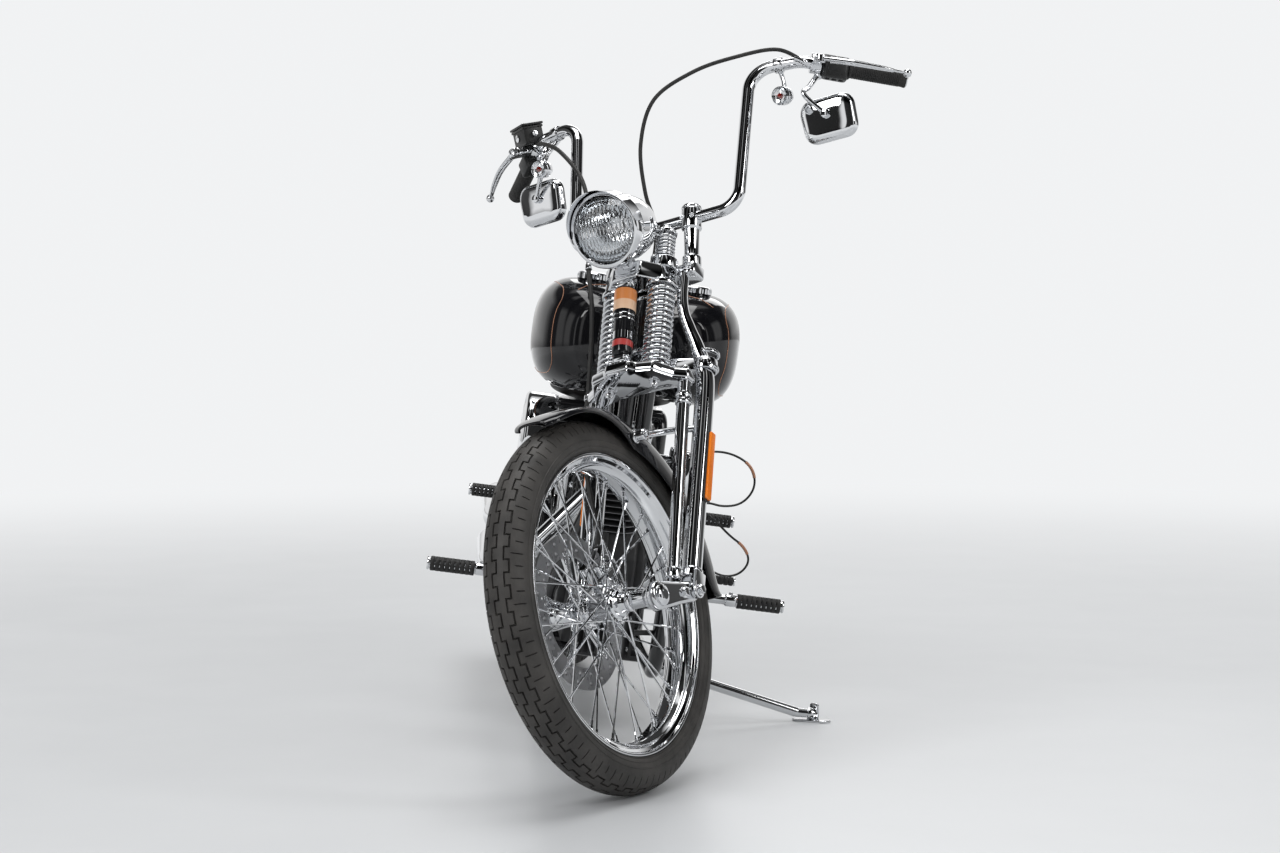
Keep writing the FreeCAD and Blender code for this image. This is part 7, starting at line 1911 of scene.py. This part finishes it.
def makeFloor():
    mesh = bpy.data.meshes.new("floor")
    form = bmesh.new()
    bmesh.ops.create_circle(form, cap_ends=True, segments=96, radius=24)
    form.to_mesh(mesh)
    form.free()
    mesh.materials.append(makeFloorPaint())
    linkObject("floor", mesh)


# Pale paint that fades into the backdrop away from the motorcycle
def makeFloorPaint():
    paint = makeMaterial("floorPaint", (0.50, 0.51, 0.52), (0.55, 0.56, 0.57), (0.3, 0.42), 0, 4, 0.02)
    tree = paint.node_tree
    place = addNode(tree, "TexCoord")
    away = addNode(tree, "VectorMath", operation="LENGTH")
    fade = addNode(tree, "MapRange", interpolation_type="SMOOTHSTEP", **{"From Min": 1.6, "From Max": 6.5})
    glow = addNode(tree, "Emission", Color=backdropColor)
    mix = addNode(tree, "MixShader")
    joinNodes(tree, (place, "Object", away, 0), (away, "Value", fade, "Value"), (fade, "Result", mix, "Fac"),
        (tree.nodes["Principled BSDF"], "BSDF", mix, 1), (glow, "Emission", mix, 2),
        (mix, "Shader", tree.nodes["Material Output"], "Surface"))
    return paint


def addLight(name, place, target, size, power):
    data = bpy.data.lights.new(name, "AREA")
    data.shape = "RECTANGLE"
    data.size, data.size_y = size
    data.energy = power
    light = linkObject(name, data)
    light.location = place
    light.rotation_euler = (Vector(target) - Vector(place)).to_track_quat("-Z", "Y").to_euler()


# Pale backdrop, which polished metal sees between the dark screens of the studio
def makeWorld():
    world = bpy.data.worlds.new("studio")
    world.use_nodes = True
    tree = world.node_tree
    backdrop = tree.nodes["Background"]
    backdrop.inputs["Color"].default_value = backdropColor
    soft = addNode(tree, "Background", Color=backdropColor, Strength=0.55)
    room = addNode(tree, "Background")
    place = addNode(tree, "TexCoord")
    split = addNode(tree, "SeparateXYZ")
    aside = addNode(tree, "ValToRGB")
    above = addNode(tree, "ValToRGB")
    angle = addNode(tree, "Math", operation="ARCTAN2")
    share = addNode(tree, "MapRange", **{"From Min": -pi, "From Max": pi})
    lift = addNode(tree, "MapRange", **{"From Min": -1})
    mix = addNode(tree, "Mix", data_type="RGBA", blend_type="MULTIPLY")
    mix.inputs["Factor"].default_value = 1
    half = [(0, 0.02), (0.075, 0.03), (0.085, 0.9), (0.1, 0.9), (0.11, 0.02), (0.19, 0.03), (0.205, 0.95),
        (0.235, 0.95), (0.25, 0.06), (0.33, 0.08), (0.37, 0.85)]
    fillRamp(aside, half + [(1 - place, value) for place, value in reversed(half)])
    fillRamp(above, ((0, 0.5), (0.49, 0.6), (0.52, 1), (0.70, 1), (0.76, 0.06), (0.90, 0.05), (0.94, 1),
        (1, 1)))
    seen = addNode(tree, "LightPath")
    plain = addNode(tree, "MixShader")
    polished = addNode(tree, "MixShader")
    either = addNode(tree, "Math", operation="MAXIMUM")
    joinNodes(tree, (place, "Generated", split, "Vector"), (split, "X", angle, 0), (split, "Y", angle, 1),
        (angle, "Value", share, "Value"), (share, "Result", aside, "Fac"), (split, "Z", lift, "Value"),
        (lift, "Result", above, "Fac"), (aside, "Color", mix, "A"), (above, "Color", mix, "B"),
        (mix, "Result", room, "Color"), (seen, "Is Diffuse Ray", plain, "Fac"),
        (backdrop, "Background", plain, 1), (soft, "Background", plain, 2),
        (seen, "Is Glossy Ray", either, 0), (seen, "Is Transmission Ray", either, 1),
        (either, "Value", polished, "Fac"), (plain, "Shader", polished, 1), (room, "Background", polished, 2),
        (polished, "Shader", tree.nodes["World Output"], "Surface"))
    scene.world = world


def fillRamp(node, stops):
    ramp = node.color_ramp
    while len(ramp.elements) < len(stops):
        ramp.elements.new(0.5)
    for element, (place, value) in zip(ramp.elements, stops):
        element.position = place
        element.color = (value, value, value, 1)


def makeCamera():
    data = bpy.data.cameras.new("camera")
    data.lens = 75.94
    data.sensor_width = 36
    data.clip_end = 60
    camera = linkObject("camera", data)
    camera.location = (-0.43965, -5.7501, 0.943)
    camera.rotation_euler = vec(0.0708, 0.9959, -0.056).to_track_quat("-Z", "Y").to_euler()
    scene.camera = camera


makeFloor()
makeWorld()
addLight("keyLeft", (-6, -6, 6.5), (0, -0.2, 0.6), (3, 4), 310)
addLight("keyRight", (6.5, -5, 5.5), (0, -0.2, 0.6), (2.5, 4), 190)
addLight("topLight", (0, 0.3, 8), (0, 0, 0), (4, 5), 300)
addLight("backLight", (2, 8.5, 5.5), (0, 0.4, 0.6), (5, 3), 120)
makeCamera()
scene.view_settings.view_transform = "Standard"
print("stage done")
